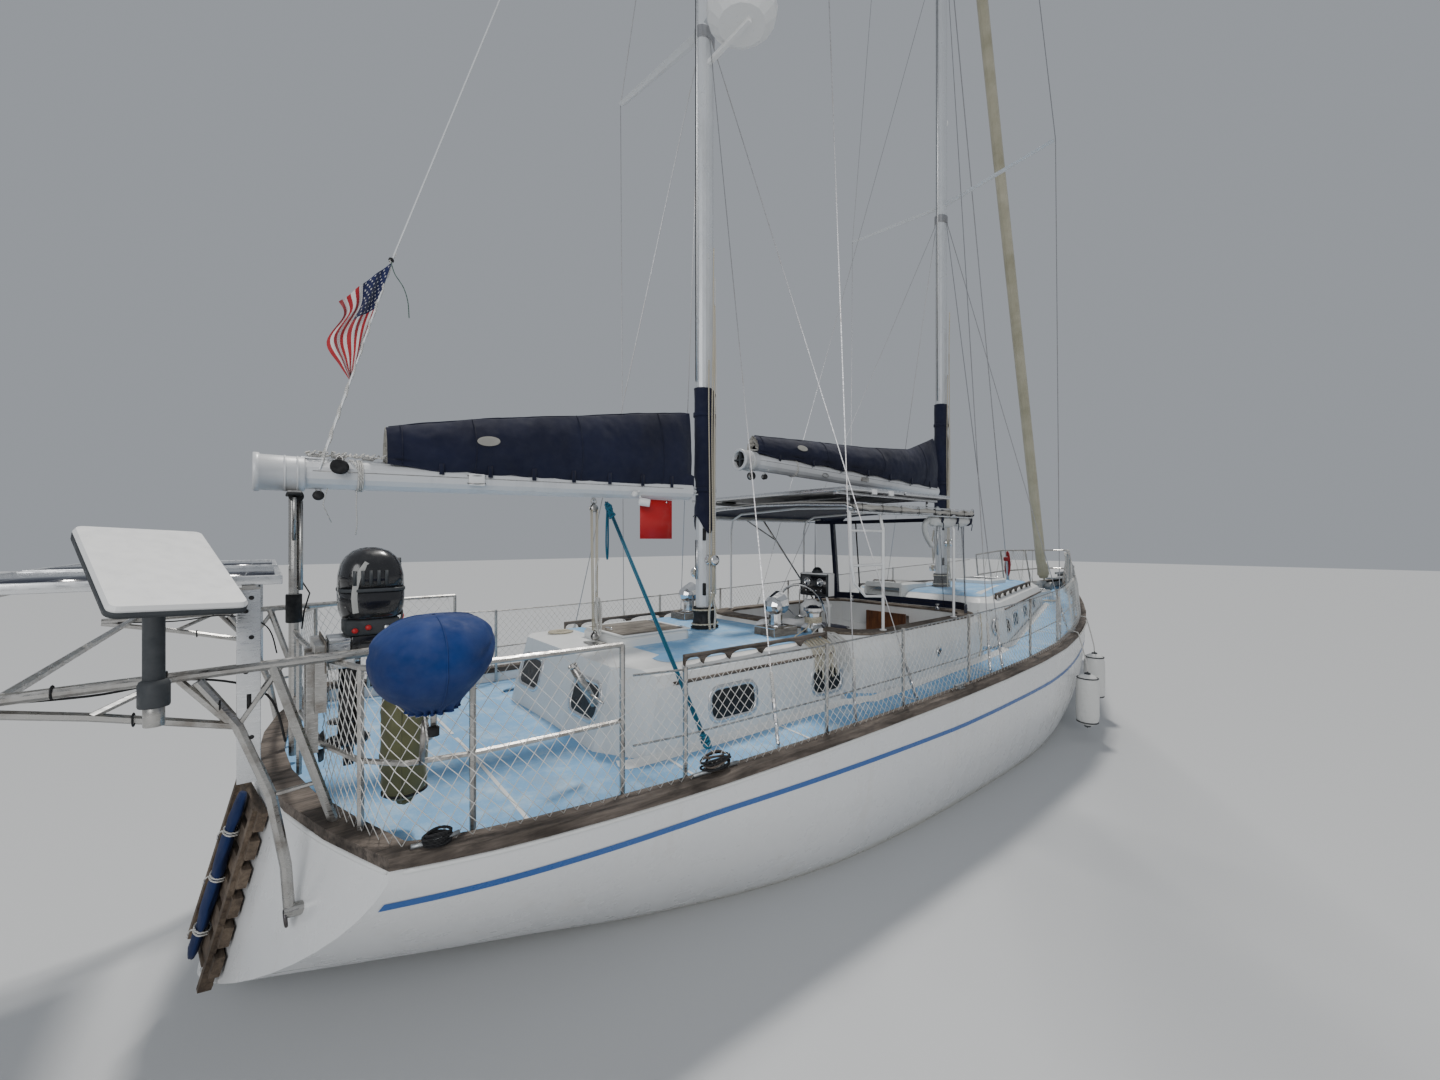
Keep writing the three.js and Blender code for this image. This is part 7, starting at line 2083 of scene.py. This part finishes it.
def turnbuckle(foot, head):
    foot = Vector(foot)
    axis = (Vector(head) - foot).normalized()

    def at(d):
        return foot + axis * d

    screws.lathe(at(0.05), [(0.0, 0), (0.010, 0), (0.011, 0.01), (0.008, 0.03), (0.008, 0.05), (0.013, 0.055),
                            (0.0135, 0.075), (0.010, 0.085), (0.010, 0.165), (0.0135, 0.175), (0.013, 0.195),
                            (0.008, 0.20), (0.0075, 0.26), (0.010, 0.275), (0.0065, 0.33), (0.0, 0.335)], 14, axis,
                            "chrome")
    screws.tube([at(0.155), at(0.16) + Vector((0.016, 0, 0.0)), at(0.19) + Vector((0.012, 0, 0))], 0.002, 4)
    screws.lathe(at(0.385), [(0.0065, 0), (0.012, 0.004), (0.012, 0.16), (0.0065, 0.165)], 12, axis, "rope_white",
                 False)
    screws.box((foot.x - 0.016, foot.y - 0.003, foot.z - 0.02), (foot.x + 0.016, foot.y + 0.003, foot.z + 0.055),
               "chrome", 0.002)


for side in (-1, 1):
    for x, inboard, head in ((1.0, 0.16, (1.0, 1.45, 7.10)), (1.72, 0.17, (1.06, 0.10, 6.8)),
                             (-0.85, 0.15, (1.02, 0.10, 6.8)), (-1.12, 0.15, (1.0, 0.10, 10.5)),
                             (-3.12, 0.14, (-3.2, 1.40, 7.08)), (-3.84, 0.14, (-3.22, 0.09, 6.85)),
                             (-2.32, 0.14, (-3.18, 0.09, 6.85))):
        y = side * (half_breadth(x) - inboard)
        turnbuckle((x, y, deck_top(x, abs(y))), (head[0], side * head[1], head[2]))
screws.build("shroud_turnbuckles")


# ---- rope coils, hatches, vents and the cockpit
DETAIL = ["steel", "chrome", "rope_cream", "rope_white", "grey_wood", "white", "grey_plastic", "rubber",
          "dark_glass", "rail_wood", "aluminium"]

# low grey hatch board on the aft trunk with its white frame and hinges
hatch = Batch(DETAIL)
hatch.box((-4.215, -0.305, 1.5755), (-3.625, 0.305, 1.5835), "grey_wood", 0.004)
for y in (-0.15, 0.0, 0.15):
    hatch.box((-4.21, y - 0.0018, 1.5834), (-3.63, y + 0.0018, 1.5842), "rubber")
for a, b in (((-4.235, -0.325), (-3.605, -0.297)), ((-4.235, 0.297), (-3.605, 0.325)),
             ((-4.235, -0.297), (-4.207, 0.297)), ((-3.633, -0.297), (-3.605, 0.297))):
    hatch.box((a[0], a[1], 1.5745), (b[0], b[1], 1.5875), "white", 0.004)
for y in (-0.22, 0.22):
    hatch.lathe((-3.607, y - 0.03, 1.583), disc(0.008, 0.06), 12, (0, 1, 0), "chrome")
    hatch.box((-3.65, y - 0.028, 1.5865), (-3.61, y + 0.028, 1.5895), "chrome", 0.001)
hatch.tube([(-4.17, -0.05, 1.588), (-4.17, -0.045, 1.605), (-4.17, 0.045, 1.605), (-4.17, 0.05, 1.588)], 0.006, 8,
           slot="chrome")
hatch.build("aft_hatch_board", body="aft_hatch")


def hatch_lens(name, body, x, y, z):
    piece = Batch(DETAIL)
    (x0, x1), (y0, y1) = x, y
    piece.loft([round_ring((x0, x1), (y0, y1), 0.05, i, zz, 5)
                for zz, i in ((z, 0.0), (z + 0.006, 0.002), (z + 0.007, 0.006), (z + 0.004, 0.034),
                              (z + 0.0015, 0.036))], "aluminium", False)
    inner = round_ring((x0, x1), (y0, y1), 0.05, 0.035, z + 0.003, 5)
    piece.add(inner, [tuple(range(len(inner)))], "dark_glass")
    for yy in (y0 + 0.09, y1 - 0.09):
        piece.lathe((x1 - 0.012, yy - 0.025, z + 0.008), disc(0.0075, 0.05), 12, (0, 1, 0), "chrome")
        piece.lathe((x0 + 0.055, yy, z + 0.003), [(0, 0), (0.013, 0), (0.013, 0.006), (0.008, 0.011), (0, 0.012)],
                    16, slot="grey_plastic")
    piece.build(name, body=body)


for name in ("main_hatch", "fore_hatch"):
    (bx0, by0, _), (bx1, by1, bz1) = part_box(name)
    hatch_lens(name + "_frame_and_lens", name, (bx0 + 0.035, bx1 - 0.035), (by0 + 0.035, by1 - 0.035), bz1 + 0.0002)
slide = Batch(DETAIL)
(bx0, by0, _), (bx1, by1, bz1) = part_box("companionway_hatch")
slide.tube([(bx0 + 0.03, y, bz1 + up) for y, up in ((by0 + 0.12, 0), (by0 + 0.13, 0.022), (by1 - 0.13, 0.022),
                                                    (by1 - 0.12, 0))], 0.009, 8, slot="rail_wood")
for k in range(6):
    y = by0 + 0.08 + (by1 - by0 - 0.16) * k / 5
    slide.tube([(bx0 + 0.07, y, bz1 + 0.0005), (bx1 - 0.05, y, bz1 + 0.0005)], 0.0025, 4, slot="grey_wood")
slide.build("companionway_hatch_handle", body="companionway_hatch")

# cowl vents: grey wood boxes, chrome collars and screws
vents = Batch(DETAIL)
for y in (-0.62, 0.62):
    x = -2.92
    vents.loft([round_ring((x - 0.142, x + 0.142), (y - 0.122, y + 0.122), 0.012, i, z, 3) for z, i in
                ((1.497, 0.0), (1.560, 0.0), (1.5675, 0.004), (1.5725, 0.012), (1.5730, 0.05))], "grey_wood", False)
    vents.lathe((x, y, 1.5725), [(0.057, 0), (0.068, 0.001), (0.068, 0.006), (0.0585, 0.009)], 28, slot="chrome",
                cap=False)
    for dx, dy in ((-0.12, -0.10), (0.12, -0.10), (-0.12, 0.10), (0.12, 0.10)):
        vents.lathe((x + dx, y + dy, 1.5715), [(0, 0), (0.008, 0), (0.007, 0.0016), (0, 0.0018)], 12, slot="chrome")
vents.build("vent_boxes_wood")

WINCH_X, WINCH_Y = -2.62, 0.78


def winch_ropes(side):
    """Four turns of rope round a winch's drum."""
    y0, pitch = side * WINCH_Y, 0.0125
    turns = Batch(DETAIL)
    for k in range(4):
        z = 1.585 + pitch * k
        turns.tube([(WINCH_X + 0.071 * cos(a), y0 + 0.071 * sin(a), z + pitch * a / (2 * pi))
                    for a in np.linspace(0, 2 * pi, 26)], 0.0058, 6, slot="rope_cream")
    turns.build("winch_turns_" + ("port" if side > 0 else "starboard"))


winch_ropes(-1)
winch_ropes(1)


def free_rope(name, points, diameter, material, count=220, sides=8, body="yacht"):
    """A rope that is tied at its first point only."""
    path = spline(points, count)
    for _ in range(6):  # a rope has no kinks
        path = [path[0]] + [(a + b * 2 + c) / 4 for a, b, c in zip(path, path[1:], path[2:])] + [path[-1]]
    piece = Batch()
    piece.tube(path, diameter / 2, sides)
    obj = piece.build(name, [material], body)
    return obj


def draped_hank(name, x_from, x_to, loops, side, material, seed):
    """One rope from the winch that goes over the trunk's edge again and again."""
    start = WINCH_X + (-0.066 if x_from < -2.75 else 0.060)
    pts = [(x, side * y, z) for x, y, z in ((start, 0.800, 1.600), (start + 0.4 * (x_from - start), 0.850, 1.560),
                                            (x_from - 0.02, 0.885, 1.520))]
    for k in range(loops):
        x = x_from + (x_to - x_from) * k / max(loops - 1, 1)
        d = (x_to - x_from) / max(loops - 1, 1)
        low = 1.235 + 0.05 * sin(k * 2.1 + seed)

        def out(px, z, extra):
            return (px, side * (trunk_side(AFT, min(px, WINCH_X), z, AFT_LEVELS) + extra), z)

        def top(px, y, extra):
            return (px, side * y, roof_z(AFT, AFT_LEVELS, min(px, WINCH_X), y) + extra)
        pile = 0.012 + 0.012 * (k % 2)
        pts += [top(x, 0.88, pile), top(x + 0.02 * d, 0.94, pile), out(x + 0.10 * d, 1.445, 0.016),
                out(x + 0.16 * d, 1.385, 0.013), out(x + 0.24 * d, 1.31, 0.014), out(x + 0.40 * d, low, 0.013),
                out(x + 0.60 * d, 1.31, 0.015), out(x + 0.66 * d, 1.385, 0.015), out(x + 0.70 * d, 1.445, 0.018),
                top(x + 0.80 * d, 0.94, pile + 0.013), top(x + 0.90 * d, 0.88, pile + 0.006)]
    x = x_to + 0.05
    pts += [top(x, 0.92, 0.030), out(x, 1.445, 0.026), out(x, 1.385, 0.018), out(x + 0.005, 1.30, 0.015),
            out(x + 0.01, 1.22, 0.014)]
    free_rope(name, pts, 0.011, material, count=60 + 90 * loops, sides=6)


draped_hank("winch_rope_cream_starboard", -2.95, -2.76, 6, -1, "rope_cream", 0.4)
draped_hank("winch_rope_white_starboard", -2.74, -2.56, 5, -1, "rope_white", 2.2)

def flat_coil(name, centre, inner, squash):
    """Four turns of rope coiled down flat."""
    turns, step, diameter = 4, 0.016, 0.013
    pts = []
    for k in range(turns * 18 + 1):
        a = 2 * pi * k / 18
        r = (inner + step * k / 18) * (1 + 0.02 * sin(a * 3.0))
        pts.append((centre[0] + r * cos(a), centre[1] + squash * r * sin(a), centre[2] + diameter / 2))
    free_rope(name, pts, diameter, "rope_cream", count=turns * 40 + 40, sides=6)


flat_coil("foredeck_rope_coil", (3.74, -0.47, deck_top(3.74, 0.47) + 0.006), 0.05, 0.8)
flat_coil("aft_deck_rope_coil", (-4.30, 0.62, 1.504), 0.045, 0.9)

COIL_X = -4.40
rail_coil = Batch(["rope_black", "rail_wood", "galvanised"])
for k in range(7):
    x0, y0 = COIL_X, -half_breadth(COIL_X) + 0.05
    r = 0.046 + 0.009 * (k % 3)
    z = sheer(COIL_X) + 0.060 + 0.0125 * k
    rail_coil.tube([(x0 + 0.012 * sin(k * 1.9) + r * 1.5 * cos(a), y0 + 0.010 * cos(k) + r * 0.62 * sin(a),
                     z + 0.006 * sin(2 * a + k)) for a in circle(26)], 0.0062, 6, True,
                     slot="rope_black" if k % 3 else "rail_wood")
rail_coil.tube([(x, -half_breadth(at) + 0.05, sheer(at) + 0.062) for x, at in ((-4.55, -4.5), (-4.25, -4.25))],
               0.011, 10, slot="galvanised")
for x in (-4.45, -4.35):
    rail_coil.tube([(x, -half_breadth(x) + 0.05, sheer(x) + 0.045), (x, -half_breadth(x) + 0.05, sheer(x) + 0.075)],
                   0.010, 8, slot="galvanised")
rail_coil.build("rail_cleat_with_rope")

# cleats along the rail
cleats = Batch(["galvanised", "rope_black"])
for side in (-1, 1):
    for x in (-5.75, -1.90, 1.10, 3.90):
        y = side * (half_breadth(x) - 0.045)
        z = sheer(x) + 0.048
        cleats.tube([(x - 0.085, y, z + 0.034), (x - 0.04, y, z + 0.028), (x + 0.04, y, z + 0.028),
                     (x + 0.085, y, z + 0.034)], 0.0095, 10, slot="galvanised")
        for dx in (-0.028, 0.028):
            cleats.tube([(x + dx * 1.2, y, z), (x + dx, y, z + 0.028)], 0.009, 8, slot="galvanised")
        cleats.box((x - 0.05, y - 0.018, z - 0.001), (x + 0.05, y + 0.018, z + 0.004), "galvanised", 0.003)
x = -5.75
y, z = -(half_breadth(x) - 0.045), sheer(x) + 0.052
for k in range(6):
    cleats.tube([(x + 0.045 * cos(a) + 0.01 * (k % 2), y + 0.026 * sin(a),
                  z + 0.010 + 0.009 * k + 0.004 * sin(a * 2 + k)) for a in circle(18)], 0.0058, 6, True,
                  slot="rope_black")
cleats.build("rail_cleats")


# ---- sign, camera, deck seams and margins, fittings at the quarter and coaming, helm
PARTS = ["white", "red", "steel", "plastic", "black", "rope_white", "dark_glass", "chrome", "galvanised",
         "rope_black", "grey_wood", "navy", "rope_cream", "grey_plastic"]

# blank red board under the mizzen boom, on two eyes, and the small white camera beside it
sign = Batch(PARTS)
sign.loft([round_ring((-3.885, -3.565), (-0.006, 0.0), 0.002, 0, z, 1) for z in (2.310, 2.640)], "red")
for x in (-3.83, -3.62):
    sign.lathe((x, -0.0085, 2.622), [(0, 0), (0.009, 0), (0.009, 0.003), (0.005, 0.003)], 14, (0, 1, 0), "chrome")
    sign.tube(oval((x, -0.003, 2.643), 0.010, 0.016, 12, "xz"), 0.0022, 5, True, slot="rope_white")
sign.build("blank_board", body="mizzen_boom")
lamp = Batch(PARTS)
lamp.lathe((-3.93, -0.055, 2.615), [(0, 0), (0.028, 0.002), (0.033, 0.012), (0.033, 0.085), (0.030, 0.094),
                                    (0.0, 0.094)], 24, (0.55, -0.35, -0.10), "plastic")
lamp.lathe((-3.878, -0.088, 2.605), [(0.030, 0), (0.024, 0.004), (0.0, 0.004)], 20, (0.55, -0.35, -0.10),
           "dark_glass")
lamp.tube([(-3.91, -0.06, 2.63), (-3.915, -0.052, 2.655), (-3.915, -0.045, 2.672)], 0.009, 8, slot="plastic")
lamp.build("boom_camera_housing", body="mizzen_boom")

# the long end of the ensign's cord
free_rope("ensign_cord_end", [(-5.664, -0.022, 4.00), (-5.645, -0.030, 3.93), (-5.60, -0.034, 3.86),
                              (-5.575, -0.030, 3.78), (-5.568, -0.030, 3.68)], 0.006, "green_cord",
                              body="mizzen_boom")

# white seams and margins on the blue deck
seams = Batch(PARTS)


def house_half(x):
    """Half-width of the deckhouses at x, or 0 beside none."""
    widths = [0.0]
    if -4.72 < x < -2.48:
        widths.append(trunk_half(AFT, x))
    if -2.44 <= x <= 0.08:
        widths.append(1.212)
    if 0.12 < x < 3.62:
        widths.append(trunk_half(MAIN, x))
    return max(widths)


edge_x = [-4.66, -4.62, -4.56] + list(np.arange(-4.45, 3.40, 0.09)) + [3.42, 3.50, 3.56, 3.60, 3.615]
for side in (-1, 1):
    rings = []
    for x in edge_x:
        h = house_half(x)
        if -2.60 < x < -2.40:
            h = 1.16
        if 0.06 < x < 0.24:
            h = 1.20
        outer, inner = h + 0.050, max(h - 0.012, 0.0)
        rings.append([Vector((x, side * y, deck_top(x, at) + up)) for y, at, up in (
            (outer, outer, 0.0015), (outer - 0.004, outer, 0.0045), (h + 0.012, h, 0.008), (inner, inner, 0.030))])
    seams.sheet(rings, "white", side > 0)
    for x in (-5.30, -4.35, -3.40, -2.10, -0.80, 0.55, 1.45, 2.35, 3.15):
        inner, outer = house_half(x) + 0.045, half_breadth(x) - 0.085
        if outer - inner < 0.05:
            continue
        rows = []
        for t in np.linspace(0, 1, 8):
            y = inner + (outer - inner) * t
            z = deck_top(x, y) + 0.0022
            rows.append([Vector((x - 0.010, side * y, z)), Vector((x + 0.010, side * y, z))])
        seams.sheet(rows, "white", side < 0)
seams.build("deck_seams_and_margins")

# rod holder at the quarter, round fittings on the coaming and its cap
gear = Batch(PARTS)
gear.tube([(-4.93, -1.0, 1.585), (-4.80, -1.0, 1.355)], 0.024, 14, slot="steel")
gear.lathe((-4.9315, -1.0, 1.588), [(0.024, 0), (0.027, 0.002), (0.027, 0.012), (0.020, 0.012), (0.019, -0.03)], 20,
           (-0.49, 0, 0.87), "steel", False)
gear.tube([(-4.845, -1.0, 1.43), (-4.815, -1.04, 1.40), (-4.80, -1.10, 1.385)], 0.009, 8, slot="steel")
gear.lathe((-1.26, -1.202, 1.22), [(0.0, 0), (0.045, 0.0), (0.045, 0.006), (0.037, 0.010), (0.030, 0.008),
                                   (0.026, 0.002), (0.0, 0.002)], 28, (0, -1, 0), "chrome")
gear.lathe((-1.26, -1.205, 1.22), [(0.024, 0), (0.022, 0.004), (0.0, 0.005)], 20, (0, -1, 0), "grey_plastic")
for y in (0.98, -0.98):
    gear.lathe((-0.18, y * 0.62, 1.4842), [(0.0, 0), (0.030, 0.0), (0.030, 0.004), (0.017, 0.010), (0.015, 0.045),
                                           (0.022, 0.055), (0.022, 0.062), (0.0, 0.066)], 20, slot="chrome")
gear.build("quarter_and_coaming_fittings")

# white mottled cloth roll behind the starboard winch
roll = Batch()
line = spline([(-2.90, -0.36, 1.545), (-2.72, -0.44, 1.549), (-2.52, -0.52, 1.545), (-2.44, -0.58, 1.540)], 30)
last = len(line) - 1
rings = []
for k, p in enumerate(line):
    t = k / last
    along = (line[min(k + 1, last)] - line[max(k - 1, 0)]).normalized()
    across = Vector((0, 0, 1)).cross(along).normalized()
    up = along.cross(across)
    r0 = 0.040 * (0.5 + 0.5 * min(t / 0.10, (1 - t) / 0.10, 1.0)) * (1 + 0.12 * sin(t * 17))
    ring = []
    for j in range(20):
        a = 2 * pi * j / 20
        r = r0 * (1 + 0.24 * wrinkle(cos(a) * 1.5 + t * 4, sin(a) * 1.5, t * 6, 7.0))
        ring.append(p + across * (r * 1.25 * cos(a)) + up * (r * sin(a)))
    rings.append(ring)
roll.loft(rings, 0)
roll.build("white_cloth_roll", ["flag_white"])

# helm: dark face in a frame, compass, knobs and dials
helm = Batch(PARTS)
for half, z0, z1, slot, x in ((0.195, 1.695, 1.935, "grey_plastic", -1.6835),
                              (0.165, 1.722, 1.908, "black", -1.6855)):
    face = [Vector((x, y, z)) for y, z in ((-half, z0), (half, z0), (half, z1), (-half, z1))]
    helm.loft([face, [p + Vector((-0.004, 0, 0)) for p in face]], slot)
helm.loft([round_ring((-1.688, -1.572), (-0.198, 0.198), 0.02, i, z, 4)
           for z, i in ((1.926, 0.0), (1.936, 0.0), (1.942, 0.006), (1.943, 0.02))], "plastic")
helm.lathe((-1.63, 0.0, 1.942), [(0.0, 0), (0.060, 0.0), (0.060, 0.016), (0.054, 0.022)], 28, slot="grey_plastic",
           cap=False)
helm.lathe((-1.63, 0.0, 1.957), [(0.054, 0), (0.048, 0.022), (0.034, 0.038), (0.016, 0.046), (0.0, 0.048)], 28,
           slot="dark_glass")
for y in (-0.10, -0.03, 0.04, 0.11):
    helm.lathe((-1.6895, y, 1.752), [(0, 0), (0.009, 0), (0.009, 0.004), (0.005, 0.006), (0, 0.006)], 12,
               (-1, 0, 0), "chrome")
for y in (-0.09, 0.09):
    helm.lathe((-1.6895, y, 1.845), [(0.0, 0), (0.044, 0), (0.044, 0.006), (0.038, 0.009), (0.037, 0.004),
                                     (0, 0.004)], 24, (-1, 0, 0), "chrome")
helm.build("helm_pod_face")


# ---- bow: lashings in the pulpit, red hank on the inner stay, anchor chain; stanchion sockets along the deck
bow = Batch(["rope_white", "rope_red", "rope_cream", "galvanised", "steel", "rubber", "rope_black"])


def on_rail(x, side, lift=0.05):
    return Vector((x, side * (half_breadth(x) - 0.06), sheer(x) + lift))


for side in (-1, 1):
    feet = [on_rail(x, side) for x in (3.95, 4.25, 4.55, 4.85, 5.10, 5.30)]
    heads = [Vector((x, side * y, z)) for x, y, z in ((4.05, 0.663, 2.064), (4.35, 0.557, 2.100),
                                                      (4.65, 0.460, 2.100), (4.92, 0.373, 2.100),
                                                      (5.15, 0.300, 2.100))]
    path = flat(zip(feet, heads))
    for a, b in zip(path, path[1:]):
        bow.tube(sagging(a, b, 0.012), 0.0045, 5, slot="rope_white")
    for p in heads:
        bow.tube([(p.x + 0.004 * k, p.y + 0.018 * cos(k * 1.3), p.z + 0.018 * sin(k * 1.3)) for k in range(12)],
                 0.0042, 5, slot="rope_white")
    for x in (-5.0, -3.62, -1.55, -0.30, 1.40, 2.55, 3.45):
        y = side * (half_breadth(x) - 0.115)
        z = deck_top(x, abs(y))
        bow.lathe((x, y, z), [(0.0, 0), (0.030, 0), (0.030, 0.005), (0.019, 0.010), (0.018, 0.055), (0.0, 0.056)],
                  14, slot="steel")
for k in range(9):
    r = 0.030 + 0.004 * (k % 4)
    bow.tube([(3.272 + 0.012 * sin(k * 2) + 0.4 * r * cos(a), 0.010 * cos(k) + r * cos(a),
               1.90 + 0.018 * sin(k * 1.7) + (0.17 + 0.012 * (k % 3)) * sin(a)) for a in circle(22)], 0.0062, 6,
               True, slot="rope_red")
for k in range(5):
    bow.tube(oval((3.236, 0, 1.955 + 0.013 * k), 0.036, 0.046, 14), 0.0062, 6, True, slot="rope_red")
# chain from the windlass over the roller, and its links
for k in range(12):
    middle = Vector((4.84 + 0.036 * k, 0.0, 1.478 + 0.001 * k))
    bow.tube(oval(middle, 0.026, 0.013, 14, ("xy", "xz")[k % 2]), 0.0042, 5, True, slot="galvanised")
bow.build("bow_lashings_and_gear")

# cream and white falls that hang by a shroud
falls = Batch(["rope_cream", "rope_white"])
falls.tube(spline([(-1.10, -1.52, 1.62), (-1.105, -1.535, 1.50), (-1.12, -1.545, 1.38), (-1.135, -1.54, 1.27),
                   (-1.14, -1.53, 1.215)], 18), 0.0065, 6, slot="rope_cream")
falls.tube(spline([(-1.10, -1.50, 1.64), (-1.09, -1.51, 1.45), (-1.10, -1.53, 1.25), (-1.12, -1.52, 1.205)], 18),
           0.0055, 6, slot="rope_white")
falls.build("shroud_falls")


# ---- stage, light and world
floor = obj_from("floor", [(-60, -60, 0), (60, -60, 0), (60, 60, 0), (-60, 60, 0)], [(0, 1, 2, 3)], new_material(
    "pale_floor", (0.52, 0.53, 0.54), 0.9))

world = bpy.data.worlds.new("studio")
world.use_nodes = True
sky = world.node_tree.nodes["Background"].inputs
sky["Color"].default_value = (0.78, 0.83, 0.90, 1)
sky["Strength"].default_value = 0.42
bpy.context.scene.world = world


def area_light(name, place, target, size, power, color=(1, 1, 1)):
    data = bpy.data.lights.new(name, "AREA")
    data.shape, data.size, data.energy, data.color = "DISK", size, power, color
    light = bpy.data.objects.new(name, data)
    light.location = place
    light.rotation_euler = (Vector(target) - Vector(place)).to_track_quat("-Z", "Y").to_euler()
    bpy.context.scene.collection.objects.link(light)


sun_data = bpy.data.lights.new("sun", "SUN")
sun_data.energy, sun_data.angle, sun_data.color = 2.5, math.radians(7), (1, 0.97, 0.92)
sun = bpy.data.objects.new("sun", sun_data)
sun.rotation_euler = Vector((-0.35, -0.30, -1.0)).to_track_quat("-Z", "Y").to_euler()
bpy.context.scene.collection.objects.link(sun)
area_light("fill", (-12, -10, 7), (-3, 0, 1.2), 8, 700)
